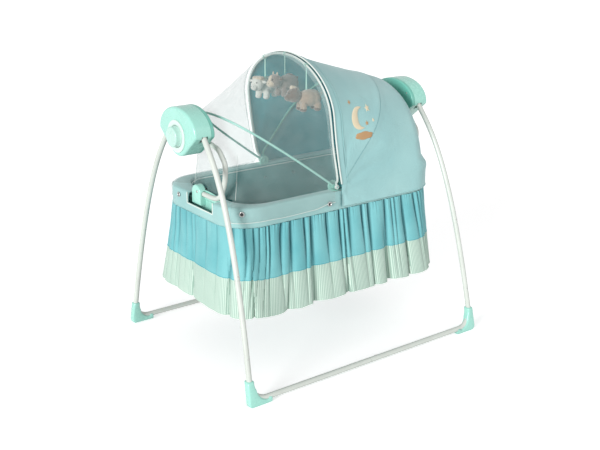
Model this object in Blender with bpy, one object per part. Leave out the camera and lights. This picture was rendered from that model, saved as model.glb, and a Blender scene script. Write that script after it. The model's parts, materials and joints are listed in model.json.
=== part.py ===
"""Swinging bassinet crib: a fabric basket with a folding hood and net, hung between two housings on bowed legs.

Metres, +Z up. The origin is on the floor, in the middle of the stand. +X is the head end with the hood,
-X the drive end with the dial, -Y the near side and +Y the far side.
"""
import math

import bmesh
import bpy
from mathutils import Matrix, Vector

# Driving sizes of the stand
HALF_SPREAD_FLOOR = 0.500
HALF_SPREAD_TOP = 0.466
HALF_STANCE = 0.407
RIM_HEIGHT = 0.602
PIVOT_LIFT = 0.212
PIVOT_HEIGHT = RIM_HEIGHT + PIVOT_LIFT
LEG_PIN_LIFT = 0.034
LEG_PIN_HEIGHT = PIVOT_HEIGHT + LEG_PIN_LIFT
LEG_PIN_SETBACK = 0.088
LEG_TUBE_D = 0.019
LEG_TUBE_WALL = 0.0012
SHOE_SOLE = 0.0090
CORNER_BEND = 0.060
TUBE_JOINT_HEIGHT = 0.405
FOLD_ANGLE = math.radians(18)

# Driving sizes of the cradle
BASKET_HALF_LENGTH = 0.446
BASKET_HALF_WIDTH = 0.246
BASKET_CORNER = 0.120
RIM_BAND_DROP = 0.067
LINER_DEPTH = 0.228
SKIRT_UPPER_DROP = 0.170
SKIRT_LOWER_DROP = 0.127
HANGER_D = 0.017
HANGER_WALL = 0.0015
HANGER_PLANE_X = 0.4190

# Driving sizes of the hood and the net
BOW_D = 0.0080
BOW_AXIS_X = -0.020
BOW_AXIS_LIFT = 0.010
BOW_AXIS_HEIGHT = RIM_HEIGHT + BOW_AXIS_LIFT
HOOD_RISE = 0.448
HOOD_TOP = RIM_HEIGHT + HOOD_RISE
HOOD_TOP_X = -0.070
HOOD_END_RISE = 0.306
HOOD_END_TOP = RIM_HEIGHT + HOOD_END_RISE
HOOD_END_X = 0.402
HOOD_HALF_WIDTH = 0.2515
HOOD_HEM_DROP = 0.057
HOOD_HEM_HEIGHT = RIM_HEIGHT - HOOD_HEM_DROP
REAR_BOW_ANGLE = math.radians(50)
NET_BOW_ANGLE = math.radians(36.4)
NET_BOW_SET_IN = 0.0112
NET_BOW_REACH = BASKET_HALF_LENGTH - NET_BOW_SET_IN

# Driving sizes of the rim band's fold
BAND_THICKNESS = 0.0030
BAND_TOP_DROP = 0.0060

# Clearances
FACE_GAP = 0.0003
RUNNING_GAP = 0.0006
CLOTH_GAP = 0.0006
OVERRUN = 0.010
CLOTH = 0.0024
PLASTIC_WALL = 0.0025

ENDS = {"drive": -1, "head": 1}
SIDES = {"near": -1, "far": 1}
ROUND = 2 * math.pi
QUARTER = math.pi / 2

FINISHES = {
    "mint": ((0.49, 0.85, 0.77), 0.22, 0.0),
    "white_tube": ((0.78, 0.80, 0.78), 0.35, 0.2),
    "steel": ((0.55, 0.55, 0.55), 0.30, 1.0),
    "copper": ((0.72, 0.38, 0.20), 0.35, 1.0),
    "board_green": ((0.05, 0.28, 0.14), 0.55, 0.0),
    "black": ((0.03, 0.03, 0.03), 0.45, 0.0),
    "nylon": ((0.85, 0.85, 0.82), 0.40, 0.0),
    "ivory": ((0.86, 0.86, 0.78), 0.30, 0.0),
    "aqua": ((0.38, 0.66, 0.68), 0.80, 0.0),
    "pale_aqua": ((0.52, 0.72, 0.72), 0.85, 0.0),
    "turquoise": ((0.20, 0.60, 0.66), 0.70, 0.0),
    "sage": ((0.55, 0.69, 0.60), 0.85, 0.0),
    "mesh": ((0.30, 0.45, 0.46), 0.90, 0.0),
    "net": ((0.85, 0.88, 0.86), 0.90, 0.0),
    "birch": ((0.72, 0.58, 0.40), 0.60, 0.0),
    "ticking": ((0.80, 0.86, 0.85), 0.90, 0.0),
    "plush_white": ((0.80, 0.78, 0.72), 0.95, 0.0),
    "plush_brown": ((0.42, 0.34, 0.29), 0.95, 0.0),
    "plush_taupe": ((0.50, 0.43, 0.37), 0.95, 0.0),
}


# Small tools for making and cutting solids


def clear_scene():
    for old in list(bpy.data.objects):
        bpy.data.objects.remove(old, do_unlink=True)


def add(name, data, finish, body=None):
    """Adds an object with its own material, under the empty of the body that carries it."""
    obj = bpy.data.objects.new(name, data)
    bpy.context.scene.collection.objects.link(obj)
    color, roughness, metallic = FINISHES[finish]
    material = bpy.data.materials.new(name + "_finish")
    material.use_nodes = True
    shader = material.node_tree.nodes["Principled BSDF"]
    shader.inputs["Base Color"].default_value = (*color, 1)
    shader.inputs["Roughness"].default_value = roughness
    shader.inputs["Metallic"].default_value = metallic
    data.materials.clear()
    data.materials.append(material)
    if body:
        obj.parent = body
        obj.matrix_parent_inverse = Matrix.Translation(body.location).inverted()
    return obj


def axis_empty(name, place, body=None):
    """An empty on a joint's axis. The pieces that turn about it hang under it."""
    empty = bpy.data.objects.new(name, None)
    bpy.context.scene.collection.objects.link(empty)
    empty.location = place
    if body:
        empty.parent = body
        empty.matrix_parent_inverse = Matrix.Translation(body_place(body)).inverted()
    bpy.context.view_layer.update()
    return empty


def body_place(body):
    return body.matrix_world.translation


def settle(obj):
    """Applies an object's modifiers, so that it is a plain mesh."""
    graph = bpy.context.evaluated_depsgraph_get()
    graph.update()
    made = bpy.data.meshes.new_from_object(obj.evaluated_get(graph))
    obj.modifiers.clear()
    return made


def raw(mesh):
    """An unnamed working solid, used up by a Boolean."""
    obj = bpy.data.objects.new("work", mesh)
    bpy.context.scene.collection.objects.link(obj)
    return obj


def boolean(mesh, tool_mesh, operation):
    """Cuts, joins or intersects two closed meshes and gives the result as a mesh."""
    body = raw(mesh)
    tool = raw(tool_mesh)
    modifier = body.modifiers.new("shape", "BOOLEAN")
    modifier.operation = operation
    modifier.solver = "EXACT"
    modifier.object = tool
    made = settle(body)
    bpy.data.objects.remove(body)
    bpy.data.objects.remove(tool)
    return made


def cut(mesh, *tools):
    for tool in tools:
        mesh = boolean(mesh, tool, "DIFFERENCE")
    return mesh


def fuse(mesh, *others):
    for other in others:
        mesh = boolean(mesh, other, "UNION")
    return mesh


def finished(bm, name):
    bmesh.ops.recalc_face_normals(bm, faces=bm.faces)
    mesh = bpy.data.meshes.new(name)
    bm.to_mesh(mesh)
    bm.free()
    return mesh


def loft(rings, loop=False):
    """Skins a row of rings. With loop, the last ring joins the first. Otherwise both ends are capped."""
    bm = bmesh.new()
    rows = [[bm.verts.new(point) for point in ring] for ring in rings]
    pairs = list(zip(rows, rows[1:]))
    if loop:
        pairs.append((rows[-1], rows[0]))
    for low, high in pairs:
        count = len(low)
        for i in range(count):
            j = (i + 1) % count
            bm.faces.new((low[i], low[j], high[j], high[i]))
    if not loop:
        bm.faces.new(rows[0])
        bm.faces.new(rows[-1])
    return finished(bm, "loft")


def cloth(rows, thickness):
    """A thin closed cloth from a grid of points, thickened to both sides of it."""
    bm = bmesh.new()
    grid = [[bm.verts.new(point) for point in row] for row in rows]
    for low, high in zip(grid, grid[1:]):
        for i in range(len(low) - 1):
            bm.faces.new((low[i], low[i + 1], high[i + 1], high[i]))
    return thickened(finished(bm, "cloth"), thickness)


def thickened(mesh, thickness):
    obj = raw(mesh)
    modifier = obj.modifiers.new("thickness", "SOLIDIFY")
    modifier.thickness = thickness
    modifier.offset = 0
    modifier.use_even_offset = True
    made = settle(obj)
    bpy.data.objects.remove(obj)
    return made


def prism(outline, low, high, axis="X"):
    """Extrudes an outline along an axis. The outline holds the two other coordinates, in X, Y, Z order."""
    places = {
        "X": lambda a, b, c: (c, a, b),
        "Y": lambda a, b, c: (a, c, b),
        "Z": lambda a, b, c: (a, b, c),
    }
    place = places[axis]
    bm = bmesh.new()
    face = bm.faces.new([bm.verts.new(place(a, b, low)) for a, b in outline])
    grown = bmesh.ops.extrude_face_region(bm, geom=[face])
    moved = [item for item in grown["geom"] if isinstance(item, bmesh.types.BMVert)]
    bmesh.ops.translate(bm, verts=moved, vec=place(0, 0, high - low))
    return finished(bm, "prism")


def block(low, high):
    """A box between two corners."""
    outline = [(low[0], low[1]), (high[0], low[1]), (high[0], high[1]), (low[0], high[1])]
    return prism(outline, low[2], high[2], "Z")


def circle(radius, count):
    return [(radius * math.cos(ROUND * i / count), radius * math.sin(ROUND * i / count)) for i in range(count)]


def rod(start, end, radius, sides=12):
    """A round bar between two points."""
    start = Vector(start)
    along = Vector(end) - start
    turn = along.to_track_quat("Z", "Y").to_matrix()
    around = [turn @ Vector((a, b, 0)) for a, b in circle(radius, sides)]
    return loft([[start + along * k + spoke for spoke in around] for k in (0, 1)])


def bore_r(radius, sides, gap=FACE_GAP):
    """The radius of a many-sided bore whose flats clear a round bar by a gap."""
    return (radius + gap) / math.cos(math.pi / sides)


def turned(profile, centre, sides):
    """A solid of revolution about an X axis through a centre. The profile holds (along, radius) pairs."""
    bm = bmesh.new()
    points = [bm.verts.new(Vector(centre) + Vector((along, 0, radius))) for along, radius in profile]
    edges = [bm.edges.new(pair) for pair in zip(points, points[1:])]
    bmesh.ops.spin(
        bm, geom=points + edges, cent=centre, axis=(1, 0, 0), angle=ROUND, steps=sides,
        use_merge=True, use_duplicate=False,
    )
    bmesh.ops.remove_doubles(bm, verts=bm.verts, dist=FACE_GAP / 10)
    return finished(bm, "turned")


def bent_bar(points, radius, detail=2, loop=False):
    """A solid bar along a row of points. With loop, its ends meet."""
    curve = bpy.data.curves.new("bar", "CURVE")
    curve.dimensions = "3D"
    curve.bevel_depth = radius
    curve.bevel_resolution = detail
    curve.use_fill_caps = not loop
    spline = curve.splines.new("POLY")
    spline.points.add(len(points) - 1)
    for target, point in zip(spline.points, points):
        target.co = (*point, 1)
    spline.use_cyclic_u = loop
    obj = raw(curve)
    mesh = settle(obj)
    bpy.data.objects.remove(obj)
    bm = bmesh.new()
    bm.from_mesh(mesh)
    bmesh.ops.remove_doubles(bm, verts=bm.verts, dist=FACE_GAP / 100)
    return finished(bm, "bar")


def frames_along(points):
    """A pair of cross directions for each point of a path, carried along it without twist."""
    frames = []
    side = None
    for i in range(len(points)):
        along = (points[min(i + 1, len(points) - 1)] - points[max(i - 1, 0)]).normalized()
        if side is None:
            side = along.orthogonal().normalized()
        side = (side - along * side.dot(along)).normalized()
        frames.append((side, along.cross(side)))
    return frames


def tube(points, outer, inner, sides):
    """An open tube along a path, with its own outer and inner radius at each point.

    A point given twice in a row, with other radii, makes a step.
    """
    places = [points[0]]
    for point in points[1:]:
        if (point - places[-1]).length > FACE_GAP:
            places.append(point)
    frames = frames_along(places)

    def ring(point, radius):
        side, up = frames[min(range(len(places)), key=lambda i: (places[i] - point).length)]
        return [point + side * a + up * b for a, b in circle(radius, sides)]

    rings = [ring(point, radius) for point, radius in zip(points, outer)]
    back = [(point, radius) for point, radius in zip(points, inner)]
    kept = [pair for i, pair in enumerate(back) if i == 0 or pair != back[i - 1]]
    rings += [ring(point, radius) for point, radius in reversed(kept)]
    return loft(rings, loop=True)


def smooth(mesh, angle=35):
    mesh.shade_smooth()
    mesh.set_sharp_from_angle(angle=math.radians(angle))
    return mesh


def rounded_loop(half_length, half_width, corner, height, count):
    """A level loop with round corners, with evenly spread points, counted from +X."""
    straight_x = half_length - corner
    straight_y = half_width - corner
    arc = corner * QUARTER
    total = 4 * (straight_x + straight_y + arc)

    def near_axis(s):
        return corner * math.cos(s / corner)

    def off_axis(s):
        return corner * math.sin(s / corner)

    stretches = [
        (straight_y, lambda s: (half_length, s)),
        (arc, lambda s: (straight_x + near_axis(s), straight_y + off_axis(s))),
        (2 * straight_x, lambda s: (straight_x - s, half_width)),
        (arc, lambda s: (-straight_x - off_axis(s), straight_y + near_axis(s))),
        (2 * straight_y, lambda s: (-half_length, straight_y - s)),
        (arc, lambda s: (-straight_x - near_axis(s), -straight_y - off_axis(s))),
        (2 * straight_x, lambda s: (s - straight_x, -half_width)),
        (arc, lambda s: (straight_x + off_axis(s), -straight_y - near_axis(s))),
        (straight_y, lambda s: (half_length, s - straight_y)),
    ]
    points = []
    for i in range(count):
        s = total * i / count
        for length, place in stretches:
            if s <= length:
                points.append(Vector((*place(s), height)))
                break
            s -= length
    return points


# Stand: bowed legs, base rails and shoes

LEG_FLOOR_ANGLE = math.radians(11.1)
LEG_TOP_ANGLE = math.radians(36)
LEG_FLOOR_HANDLE = 0.685
LEG_TOP_HANDLE = 0.120
LEG_STEPS = 7
BEND_STEPS = 4
TUBE_SIDES = 8
LEG_START_SHARE = 0.01
LEG_REST_SHARE = 0.93
NEAR_SHARE = 1e-7
LEG_TUBE_R = LEG_TUBE_D / 2
NECK_R = (LEG_TUBE_R - LEG_TUBE_WALL) * math.cos(math.pi / TUBE_SIDES) - FACE_GAP
NECK_LENGTH = 0.030
RAIL_HEIGHT = LEG_TUBE_R + SHOE_SOLE
LEG_PIN_R = 0.0030


def leg_plane_x(height):
    """Half spread of the leg planes at a height."""
    share = (height - RAIL_HEIGHT) / (LEG_PIN_HEIGHT - RAIL_HEIGHT)
    return HALF_SPREAD_FLOOR + (HALF_SPREAD_TOP - HALF_SPREAD_FLOOR) * share


def leg_curve(t, end, side):
    """The leg's centre line, from the corner at the floor at 0 to its hinge pin at 1."""
    start = Vector((HALF_STANCE, RAIL_HEIGHT))
    stop = Vector((LEG_PIN_SETBACK, LEG_PIN_HEIGHT))
    lower = start + LEG_FLOOR_HANDLE * Vector((-math.sin(LEG_FLOOR_ANGLE), math.cos(LEG_FLOOR_ANGLE)))
    upper = stop - LEG_TOP_HANDLE * Vector((-math.sin(LEG_TOP_ANGLE), math.cos(LEG_TOP_ANGLE)))
    u = 1 - t
    flat = start * u**3 + lower * 3 * u * u * t + upper * 3 * u * t * t + stop * t**3
    return Vector((end * leg_plane_x(flat.y), side * flat.x, flat.y))


def leg_share_at(height):
    """The curve's parameter at a height, by halving."""
    low, high = 0, 1
    while high - low > NEAR_SHARE:
        middle = (low + high) / 2
        if leg_curve(middle, 1, 1).z < height:
            low = middle
        else:
            high = middle
    return low


def corner_path(end, side, far_end):
    """The bend from the leg into the rail, then the rail up to a distance from the middle."""
    corner = leg_curve(0, end, side)
    up = (leg_curve(LEG_START_SHARE, end, side) - corner).normalized()
    along = Vector((-end, 0, 0))
    opening = up.angle(along)
    setback = CORNER_BEND / math.tan(opening / 2)
    centre = corner + (up + along).normalized() * CORNER_BEND / math.sin(opening / 2)
    first = corner + up * setback - centre
    last = corner + along * setback - centre
    sweep = first.angle(last)
    arc = []
    for i in range(BEND_STEPS + 1):
        k = i / BEND_STEPS
        spoke = first * math.sin((1 - k) * sweep) + last * math.sin(k * sweep)
        arc.append(centre + spoke / math.sin(sweep))
    return arc, corner + along * (abs(corner.x) - far_end)


def make_leg(name, end, side, body):
    """An upper leg tube: bowed, hung on its pin in the housing, and slipped over the corner tube's neck."""
    low = leg_share_at(TUBE_JOINT_HEIGHT + 3 * FACE_GAP)
    points = [leg_curve(low + (1 - low) * i / LEG_STEPS, end, side) for i in range(LEG_STEPS + 1)]
    points.append(points[-1] + (points[-1] - points[-2]).normalized() * LEG_TUBE_R)
    mesh = tube(points, [LEG_TUBE_R] * len(points), [LEG_TUBE_R - LEG_TUBE_WALL] * len(points), TUBE_SIDES)
    pin = leg_curve(1, end, side)
    reach = Vector((LEG_TUBE_D, 0, 0))
    mesh = cut(mesh, rod(pin - reach, pin + reach, bore_r(LEG_PIN_R, 8), 8))
    add(name, smooth(mesh), "white_tube", body)


def make_corner_tube(name, end, side, body):
    """A leg's lower half bent into half of the base rail, with a swaged neck in the upper leg.

    The drive end's rail half has a neck too, which enters the other half.
    """
    arc, rail_end = corner_path(end, side, FACE_GAP)
    share_top = leg_share_at(TUBE_JOINT_HEIGHT)
    share_tip = leg_share_at(TUBE_JOINT_HEIGHT + NECK_LENGTH)
    share_low = leg_share_at(arc[0].z)
    steps = LEG_STEPS // 2
    leg = [leg_curve(share_top + (share_low - share_top) * i / steps, end, side) for i in range(steps)]
    shoulder = leg[0] + (leg[1] - leg[0]).normalized() * 2 * LEG_TUBE_WALL
    neck_in, tube_in = NECK_R - LEG_TUBE_WALL, LEG_TUBE_R - LEG_TUBE_WALL
    stations = [(leg_curve(share_tip, end, side), NECK_R, neck_in), (leg[0], NECK_R, neck_in)]
    stations += [(leg[0], LEG_TUBE_R, neck_in), (shoulder, LEG_TUBE_R, tube_in)]
    stations += [(point, LEG_TUBE_R, tube_in) for point in leg[1:] + arc]
    if end == ENDS["drive"]:
        along = Vector((1, 0, 0))
        stations.append((rail_end - along * 2 * LEG_TUBE_WALL, LEG_TUBE_R, tube_in))
        stations += [(rail_end, LEG_TUBE_R, neck_in), (rail_end, NECK_R, neck_in)]
        stations.append((rail_end + along * NECK_LENGTH, NECK_R, neck_in))
    else:
        stations.append((rail_end, LEG_TUBE_R, tube_in))
    add(name, smooth(tube(*zip(*stations), TUBE_SIDES)), "white_tube", body)


SHOE_LENGTH = 0.088
SHOE_HEIGHT = 0.085
SHOE_WIDTH = 0.027
SHOE_WRAP = 0.0035
SHOE_CORNER = 0.012
SHOE_TOE_HEIGHT = 0.0225
SHOE_HEEL_STAND = 0.0035
SHOE_BORE_SHARES = (0.10, 0.05)


def make_shoe(name, end, side, body):
    """A moulded shoe that fills the outer corner of the bend and gives the flat sole."""
    arc, rail_end = corner_path(end, side, HALF_SPREAD_FLOOR / 2)
    corner = leg_curve(0, end, side)
    outer = HALF_SPREAD_FLOOR + LEG_TUBE_R + SHOE_HEEL_STAND
    top_x = leg_plane_x(SHOE_HEIGHT) + LEG_TUBE_R + SHOE_HEEL_STAND
    inner_x = outer - SHOE_LENGTH
    outline = [(outer - SHOE_CORNER, 0), (inner_x + SHOE_CORNER / 2, 0), (inner_x, SHOE_CORNER / 2)]
    outline.append((inner_x, SHOE_TOE_HEIGHT))
    wrapped = [(abs(point.x), point.z) for point in reversed(arc)]
    for x, z in wrapped[1:]:
        outline.append((x - SHOE_WRAP / 2, z + SHOE_WRAP / 2))
    outline.append((leg_plane_x(SHOE_HEIGHT) - SHOE_WRAP / 2, SHOE_HEIGHT))
    outline.append((top_x - SHOE_CORNER / 4, SHOE_HEIGHT))
    outline.append((outer, SHOE_HEIGHT / 2))
    outline.append((outer, SHOE_CORNER))
    outline.append((outer - SHOE_CORNER / 4, SHOE_CORNER / 4))
    mesh = prism([(end * x, z) for x, z in outline], -SHOE_WIDTH / 2, SHOE_WIDTH / 2, "Y")
    bm = bmesh.new()
    bm.from_mesh(mesh)
    lean = leg_curve(SHOE_BORE_SHARES[1], end, side) - corner
    slope = lean.y / lean.z
    for vert in bm.verts:
        vert.co.y += corner.y + slope * max(0, vert.co.z - RAIL_HEIGHT)
    mesh = finished(bm, name)
    share = leg_share_at(arc[0].z)
    above = [leg_curve(share + extra, end, side) for extra in SHOE_BORE_SHARES]
    mesh = cut(mesh, bent_bar(above + arc + [rail_end], bore_r(LEG_TUBE_R, 14), 5))
    add(name, smooth(mesh), "mint", body)


def make_frame(side_name):
    """One U-shaped leg frame, which hinges on its two pins in the housings."""
    side = SIDES[side_name]
    body = axis_empty(side_name + "_frame_axis", (0, side * LEG_PIN_SETBACK, LEG_PIN_HEIGHT))
    for end_name, end in ENDS.items():
        make_leg(f"{side_name}_{end_name}_leg", end, side, body)
        make_corner_tube(f"{side_name}_{end_name}_corner_tube", end, side, body)
        make_shoe(f"{side_name}_{end_name}_shoe", end, side, body)


# Housings: outer shell, inner plate, and what they hold

HOUSING_OUTER_X = 0.505
HOUSING_PARTING_X = 0.4425
HOUSING_INNER_X = 0.4300
DOME_LIFT = 0.015
DOME_BASE_HEIGHT = PIVOT_HEIGHT + DOME_LIFT
DOME_HALF_WIDTH = 0.117
DOME_RISE = 0.081
DOME_LIP_R = 0.012
LOBE_R = 0.067
FACE_BEVEL = 0.0045
BOSS_R = 0.0062
SLOT_REACH = 0.055
SLOT_MARGIN = 0.0012
SLOT_ROUND_STEPS = 5
DIAL_SPINDLE_R = 0.0030


def housing_outline(inset, dome_steps=12, lobe_steps=7):
    """The housing's face in (y, z): a wide dome over a round lobe about the pivot, drawn in by an inset."""
    lip = max(DOME_LIP_R - inset, FACE_GAP)
    lobe = LOBE_R - inset
    lip_y = DOME_HALF_WIDTH - DOME_LIP_R
    drop = DOME_BASE_HEIGHT - PIVOT_HEIGHT
    reach = math.hypot(lip_y, drop)
    tangent = math.atan2(drop, lip_y) - math.acos((lobe - lip) / reach)
    points = []
    for i in range(dome_steps + 1):
        a = math.pi * i / dome_steps
        y = (DOME_HALF_WIDTH - inset) * math.cos(a)
        points.append((y, DOME_BASE_HEIGHT + (DOME_RISE - inset) * math.sin(a)))
    left = []
    for i in range(1, 4):
        a = tangent * i / 3
        left.append((-lip_y - lip * math.cos(a), DOME_BASE_HEIGHT + lip * math.sin(a)))
    bowl = []
    for i in range(lobe_steps + 1):
        a = math.pi - tangent + (2 * tangent + math.pi) * i / lobe_steps
        bowl.append((lobe * math.cos(a), PIVOT_HEIGHT + lobe * math.sin(a)))
    right = [(-y, z) for y, z in reversed(left)]
    return points + left + bowl + right


def slot_outline():
    """The sector in (y, z) that a leg sweeps between its open and folded places, about its pin."""
    pin = Vector((LEG_PIN_SETBACK, LEG_PIN_HEIGHT))
    half = LEG_TUBE_R + SLOT_MARGIN
    rest = leg_curve(LEG_REST_SHARE, 1, 1) - leg_curve(1, 1, 1)
    out = math.atan2(rest.z, rest.y)
    inward = out - FOLD_ANGLE

    def ray(angle, along, across):
        return pin + Vector((math.cos(angle), math.sin(angle))) * along + Vector(
            (-math.sin(angle), math.cos(angle))) * across

    points = [ray(out, SLOT_REACH, half), ray(inward, SLOT_REACH, -half)]
    for i in range(SLOT_ROUND_STEPS + 1):
        first = inward - QUARTER
        a = first - (first + ROUND - out - QUARTER) * i / SLOT_ROUND_STEPS
        points.append(pin + half * Vector((math.cos(a), math.sin(a))))
    return [tuple(point) for point in points]


def leg_slots(end):
    """Cutters for the two leg slots of a housing."""
    low = HALF_SPREAD_TOP - LEG_TUBE_R - SLOT_MARGIN
    high = leg_plane_x(LEG_PIN_HEIGHT - SLOT_REACH) + LEG_TUBE_R + SLOT_MARGIN
    outline = slot_outline()
    span = sorted((end * low, end * high))
    return [prism([(side * y, z) for y, z in outline], *span) for side in SIDES.values()]


def pin_bosses(end, root_x, tip_x):
    """The round bosses that hold the leg pins, from a shell's wall to the side of the leg."""
    bosses = []
    for side in SIDES.values():
        y = side * LEG_PIN_SETBACK
        bosses.append(rod((end * root_x, y, LEG_PIN_HEIGHT), (end * tip_x, y, LEG_PIN_HEIGHT), BOSS_R, 10))
    return bosses


def pin_bores(end, deep_x, tip_x):
    bores = []
    for side in SIDES.values():
        y = side * LEG_PIN_SETBACK
        radius = bore_r(LEG_PIN_R, 8)
        bores.append(rod((end * deep_x, y, LEG_PIN_HEIGHT), (end * tip_x, y, LEG_PIN_HEIGHT), radius, 8))
    return bores


def make_outer_shell(name, end, has_dial):
    """The bowl-shaped outer shell, with its front edge rounded, leg slots, and pin bosses inside."""
    rings = []
    for depth, inset in ((0, FACE_BEVEL), (FACE_BEVEL / 3, FACE_BEVEL / 3), (FACE_BEVEL, 0)):
        rings.append([Vector((end * (HOUSING_OUTER_X - depth), y, z)) for y, z in housing_outline(inset)])
    rings.append([Vector((end * HOUSING_PARTING_X, y, z)) for y, z in housing_outline(0)])
    mesh = loft(rings)
    floor = HOUSING_OUTER_X - PLASTIC_WALL
    span = sorted((end * floor, end * (HOUSING_PARTING_X - OVERRUN)))
    mesh = cut(mesh, prism(housing_outline(PLASTIC_WALL), *span))
    tip = HALF_SPREAD_TOP + LEG_TUBE_R + RUNNING_GAP
    mesh = fuse(cut(mesh, *leg_slots(end)), *pin_bosses(end, floor + PLASTIC_WALL / 2, tip))
    mesh = cut(mesh, *pin_bores(end, floor, tip - OVERRUN))
    if has_dial:
        post_tip = BOARD_X + BOARD_THICKNESS / 2 + FACE_GAP
        posts = [rod((end * (floor + PLASTIC_WALL / 2), y, z), (end * post_tip, y, z),
                     POST_R, 6) for y, z in post_places()]
        mesh = fuse(mesh, *posts)
        axis = (0, PIVOT_HEIGHT)
        hole = rod((end * (floor - OVERRUN), *axis), (end * (HOUSING_OUTER_X + OVERRUN), *axis),
                   DIAL_SPINDLE_R + RUNNING_GAP, 10)
        inlet_low = (end * INLET_X - INLET_SIZE / 2 - FACE_GAP, -INLET_SIZE / 2 - FACE_GAP)
        inlet_high = (end * INLET_X + INLET_SIZE / 2 + FACE_GAP, INLET_SIZE / 2 + FACE_GAP)
        bottom = PIVOT_HEIGHT - LOBE_R
        mesh = cut(mesh, hole, block((*inlet_low, bottom - OVERRUN), (*inlet_high, bottom + OVERRUN)))
    add(name, smooth(mesh), "mint")


def make_inner_plate(name, end):
    """The inner plate, with a lip that enters the shell, the shaft's bearing boss and the pin bosses."""
    face = HOUSING_INNER_X
    seat = HOUSING_PARTING_X - FACE_GAP
    rings = []
    for depth, inset in ((0, PLATE_BEVEL), (PLATE_BEVEL, 0)):
        rings.append([Vector((end * (face + depth), y, z)) for y, z in housing_outline(inset)])
    rings.append([Vector((end * seat, y, z)) for y, z in housing_outline(0)])
    mesh = loft(rings)
    hollow = housing_outline(PLASTIC_WALL)
    span = sorted((end * (face + PLASTIC_WALL), end * (seat + OVERRUN)))
    mesh = cut(mesh, prism(hollow, *span))
    tip = HALF_SPREAD_TOP - LEG_TUBE_R - RUNNING_GAP
    mesh = fuse(mesh, *pin_bosses(end, face + PLASTIC_WALL / 2, tip))
    axis = (0, PIVOT_HEIGHT)
    bearing = rod((end * (face + PLASTIC_WALL / 2), *axis), (end * BEARING_TIP_X, *axis), BEARING_R, 16)
    mesh = fuse(mesh, bearing)
    hole_end = end * (BEARING_TIP_X + OVERRUN)
    bush_hole = rod((end * (face - OVERRUN), *axis), (hole_end, *axis), BUSH_R + FACE_GAP, 16)
    low = face + PLASTIC_WALL
    mesh = cut(mesh, bush_hole, *pin_bores(end, low, tip + OVERRUN))
    add(name, smooth(mesh), "mint")


PLATE_BEVEL = 0.0030
BEARING_R = 0.0125
BEARING_TIP_X = 0.4560
BUSH_R = 0.0090
SHAFT_R = 0.0060
POST_R = 0.0030
INLET_X = 0.4800
INLET_SIZE = 0.0110
INLET_HEIGHT = 0.0090
INLET_DEPTH_SHARE = 0.7
INLET_BORE_SHARE = 0.3


def post_places():
    """The four posts of the outer shell that carry the control board, in (y, z)."""
    y = BOARD_HALF_WIDTH - 2 * POST_R
    z = BOARD_HALF_HEIGHT - 2 * POST_R
    return [(side * y, PIVOT_HEIGHT + lift * z) for side in (-1, 1) for lift in (-1, 1)]


def make_leg_pin(name, end, side):
    """A steel pin, from the outer shell's boss through the leg into the inner plate's boss."""
    y = side * LEG_PIN_SETBACK
    low = HOUSING_INNER_X + PLASTIC_WALL + FACE_GAP
    high = HOUSING_OUTER_X - PLASTIC_WALL - FACE_GAP
    mesh = rod((end * low, y, LEG_PIN_HEIGHT), (end * high, y, LEG_PIN_HEIGHT), LEG_PIN_R, 8)
    add(name, smooth(mesh), "steel")


def ring(x_low, x_high, inner, outer, sides=20, y=0, z=PIVOT_HEIGHT):
    """A flat-faced ring about an X axis."""
    profile = [(x_low, inner), (x_low, outer), (x_high, outer), (x_high, inner), (x_low, inner)]
    return turned(profile, (0, y, z), sides)


def make_bush(name, end):
    """The nylon bush that a hub's shaft turns in."""
    span = sorted((end * (HOUSING_INNER_X + FACE_GAP), end * (BEARING_TIP_X - FACE_GAP)))
    add(name, smooth(ring(*span, SHAFT_R + BUSH_RUNNING, BUSH_R, 16)), "nylon")


BUSH_RUNNING = 0.00035
COLLAR_OUTER_R = 0.0545
COLLAR_INNER_R = 0.0375
COLLAR_DEPTH = 0.0050
COLLAR_BEVEL = 0.0015
DIAL_R = 0.0340
DIAL_STAND = 0.0230
DIAL_SKIRT_R = 0.0360
DIAL_SKIRT_DEPTH = 0.0040
DIAL_BEVEL = 0.0035
BOARD_THICKNESS = 0.0016
BOARD_X = 0.4940
BOARD_HALF_WIDTH = 0.0260
BOARD_HALF_HEIGHT = 0.0560
POT_SIZE = 0.0110
POT_DEPTH = 0.0045
CHIP_SIZE = 0.0090
CHIP_DEPTH = 0.0020
COIL_OUTER_R = 0.0170
COIL_INNER_R = 0.0060
COIL_LENGTH = 0.0100
MAGNET_R = 0.0100
MAGNET_REACH = 0.0045
ARM_LENGTH = 0.0400
ARM_THICKNESS = 0.0030
ARM_HALF_WIDTH = 0.0080


def make_collar():
    """The pale collar round the dial, on the drive housing's face."""
    seat = -HOUSING_OUTER_X - FACE_GAP
    front = seat - COLLAR_DEPTH
    profile = [(seat, COLLAR_INNER_R), (seat, COLLAR_OUTER_R), (front + COLLAR_BEVEL, COLLAR_OUTER_R)]
    profile += [(front, COLLAR_OUTER_R - COLLAR_BEVEL), (front, COLLAR_INNER_R), (seat, COLLAR_INNER_R)]
    add("dial_collar", smooth(turned(profile, (0, 0, PIVOT_HEIGHT), 28)), "ivory")


def make_dial(body):
    """The speed dial: a knob on a skirt, with the spindle that turns the control board's potentiometer."""
    seat = -HOUSING_OUTER_X - RUNNING_GAP
    front = -HOUSING_OUTER_X - DIAL_STAND
    tip = -BOARD_X - BOARD_THICKNESS / 2 - POT_DEPTH - FACE_GAP
    profile = [(tip, 0), (tip, DIAL_SPINDLE_R), (seat, DIAL_SPINDLE_R), (seat, DIAL_SKIRT_R)]
    profile += [(seat - DIAL_SKIRT_DEPTH, DIAL_SKIRT_R), (seat - DIAL_SKIRT_DEPTH, DIAL_R)]
    profile += [(front + DIAL_BEVEL, DIAL_R), (front, DIAL_R - DIAL_BEVEL), (front, 0)]
    add("speed_dial", smooth(turned(profile, (0, 0, PIVOT_HEIGHT), 28)), "mint", body)


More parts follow.
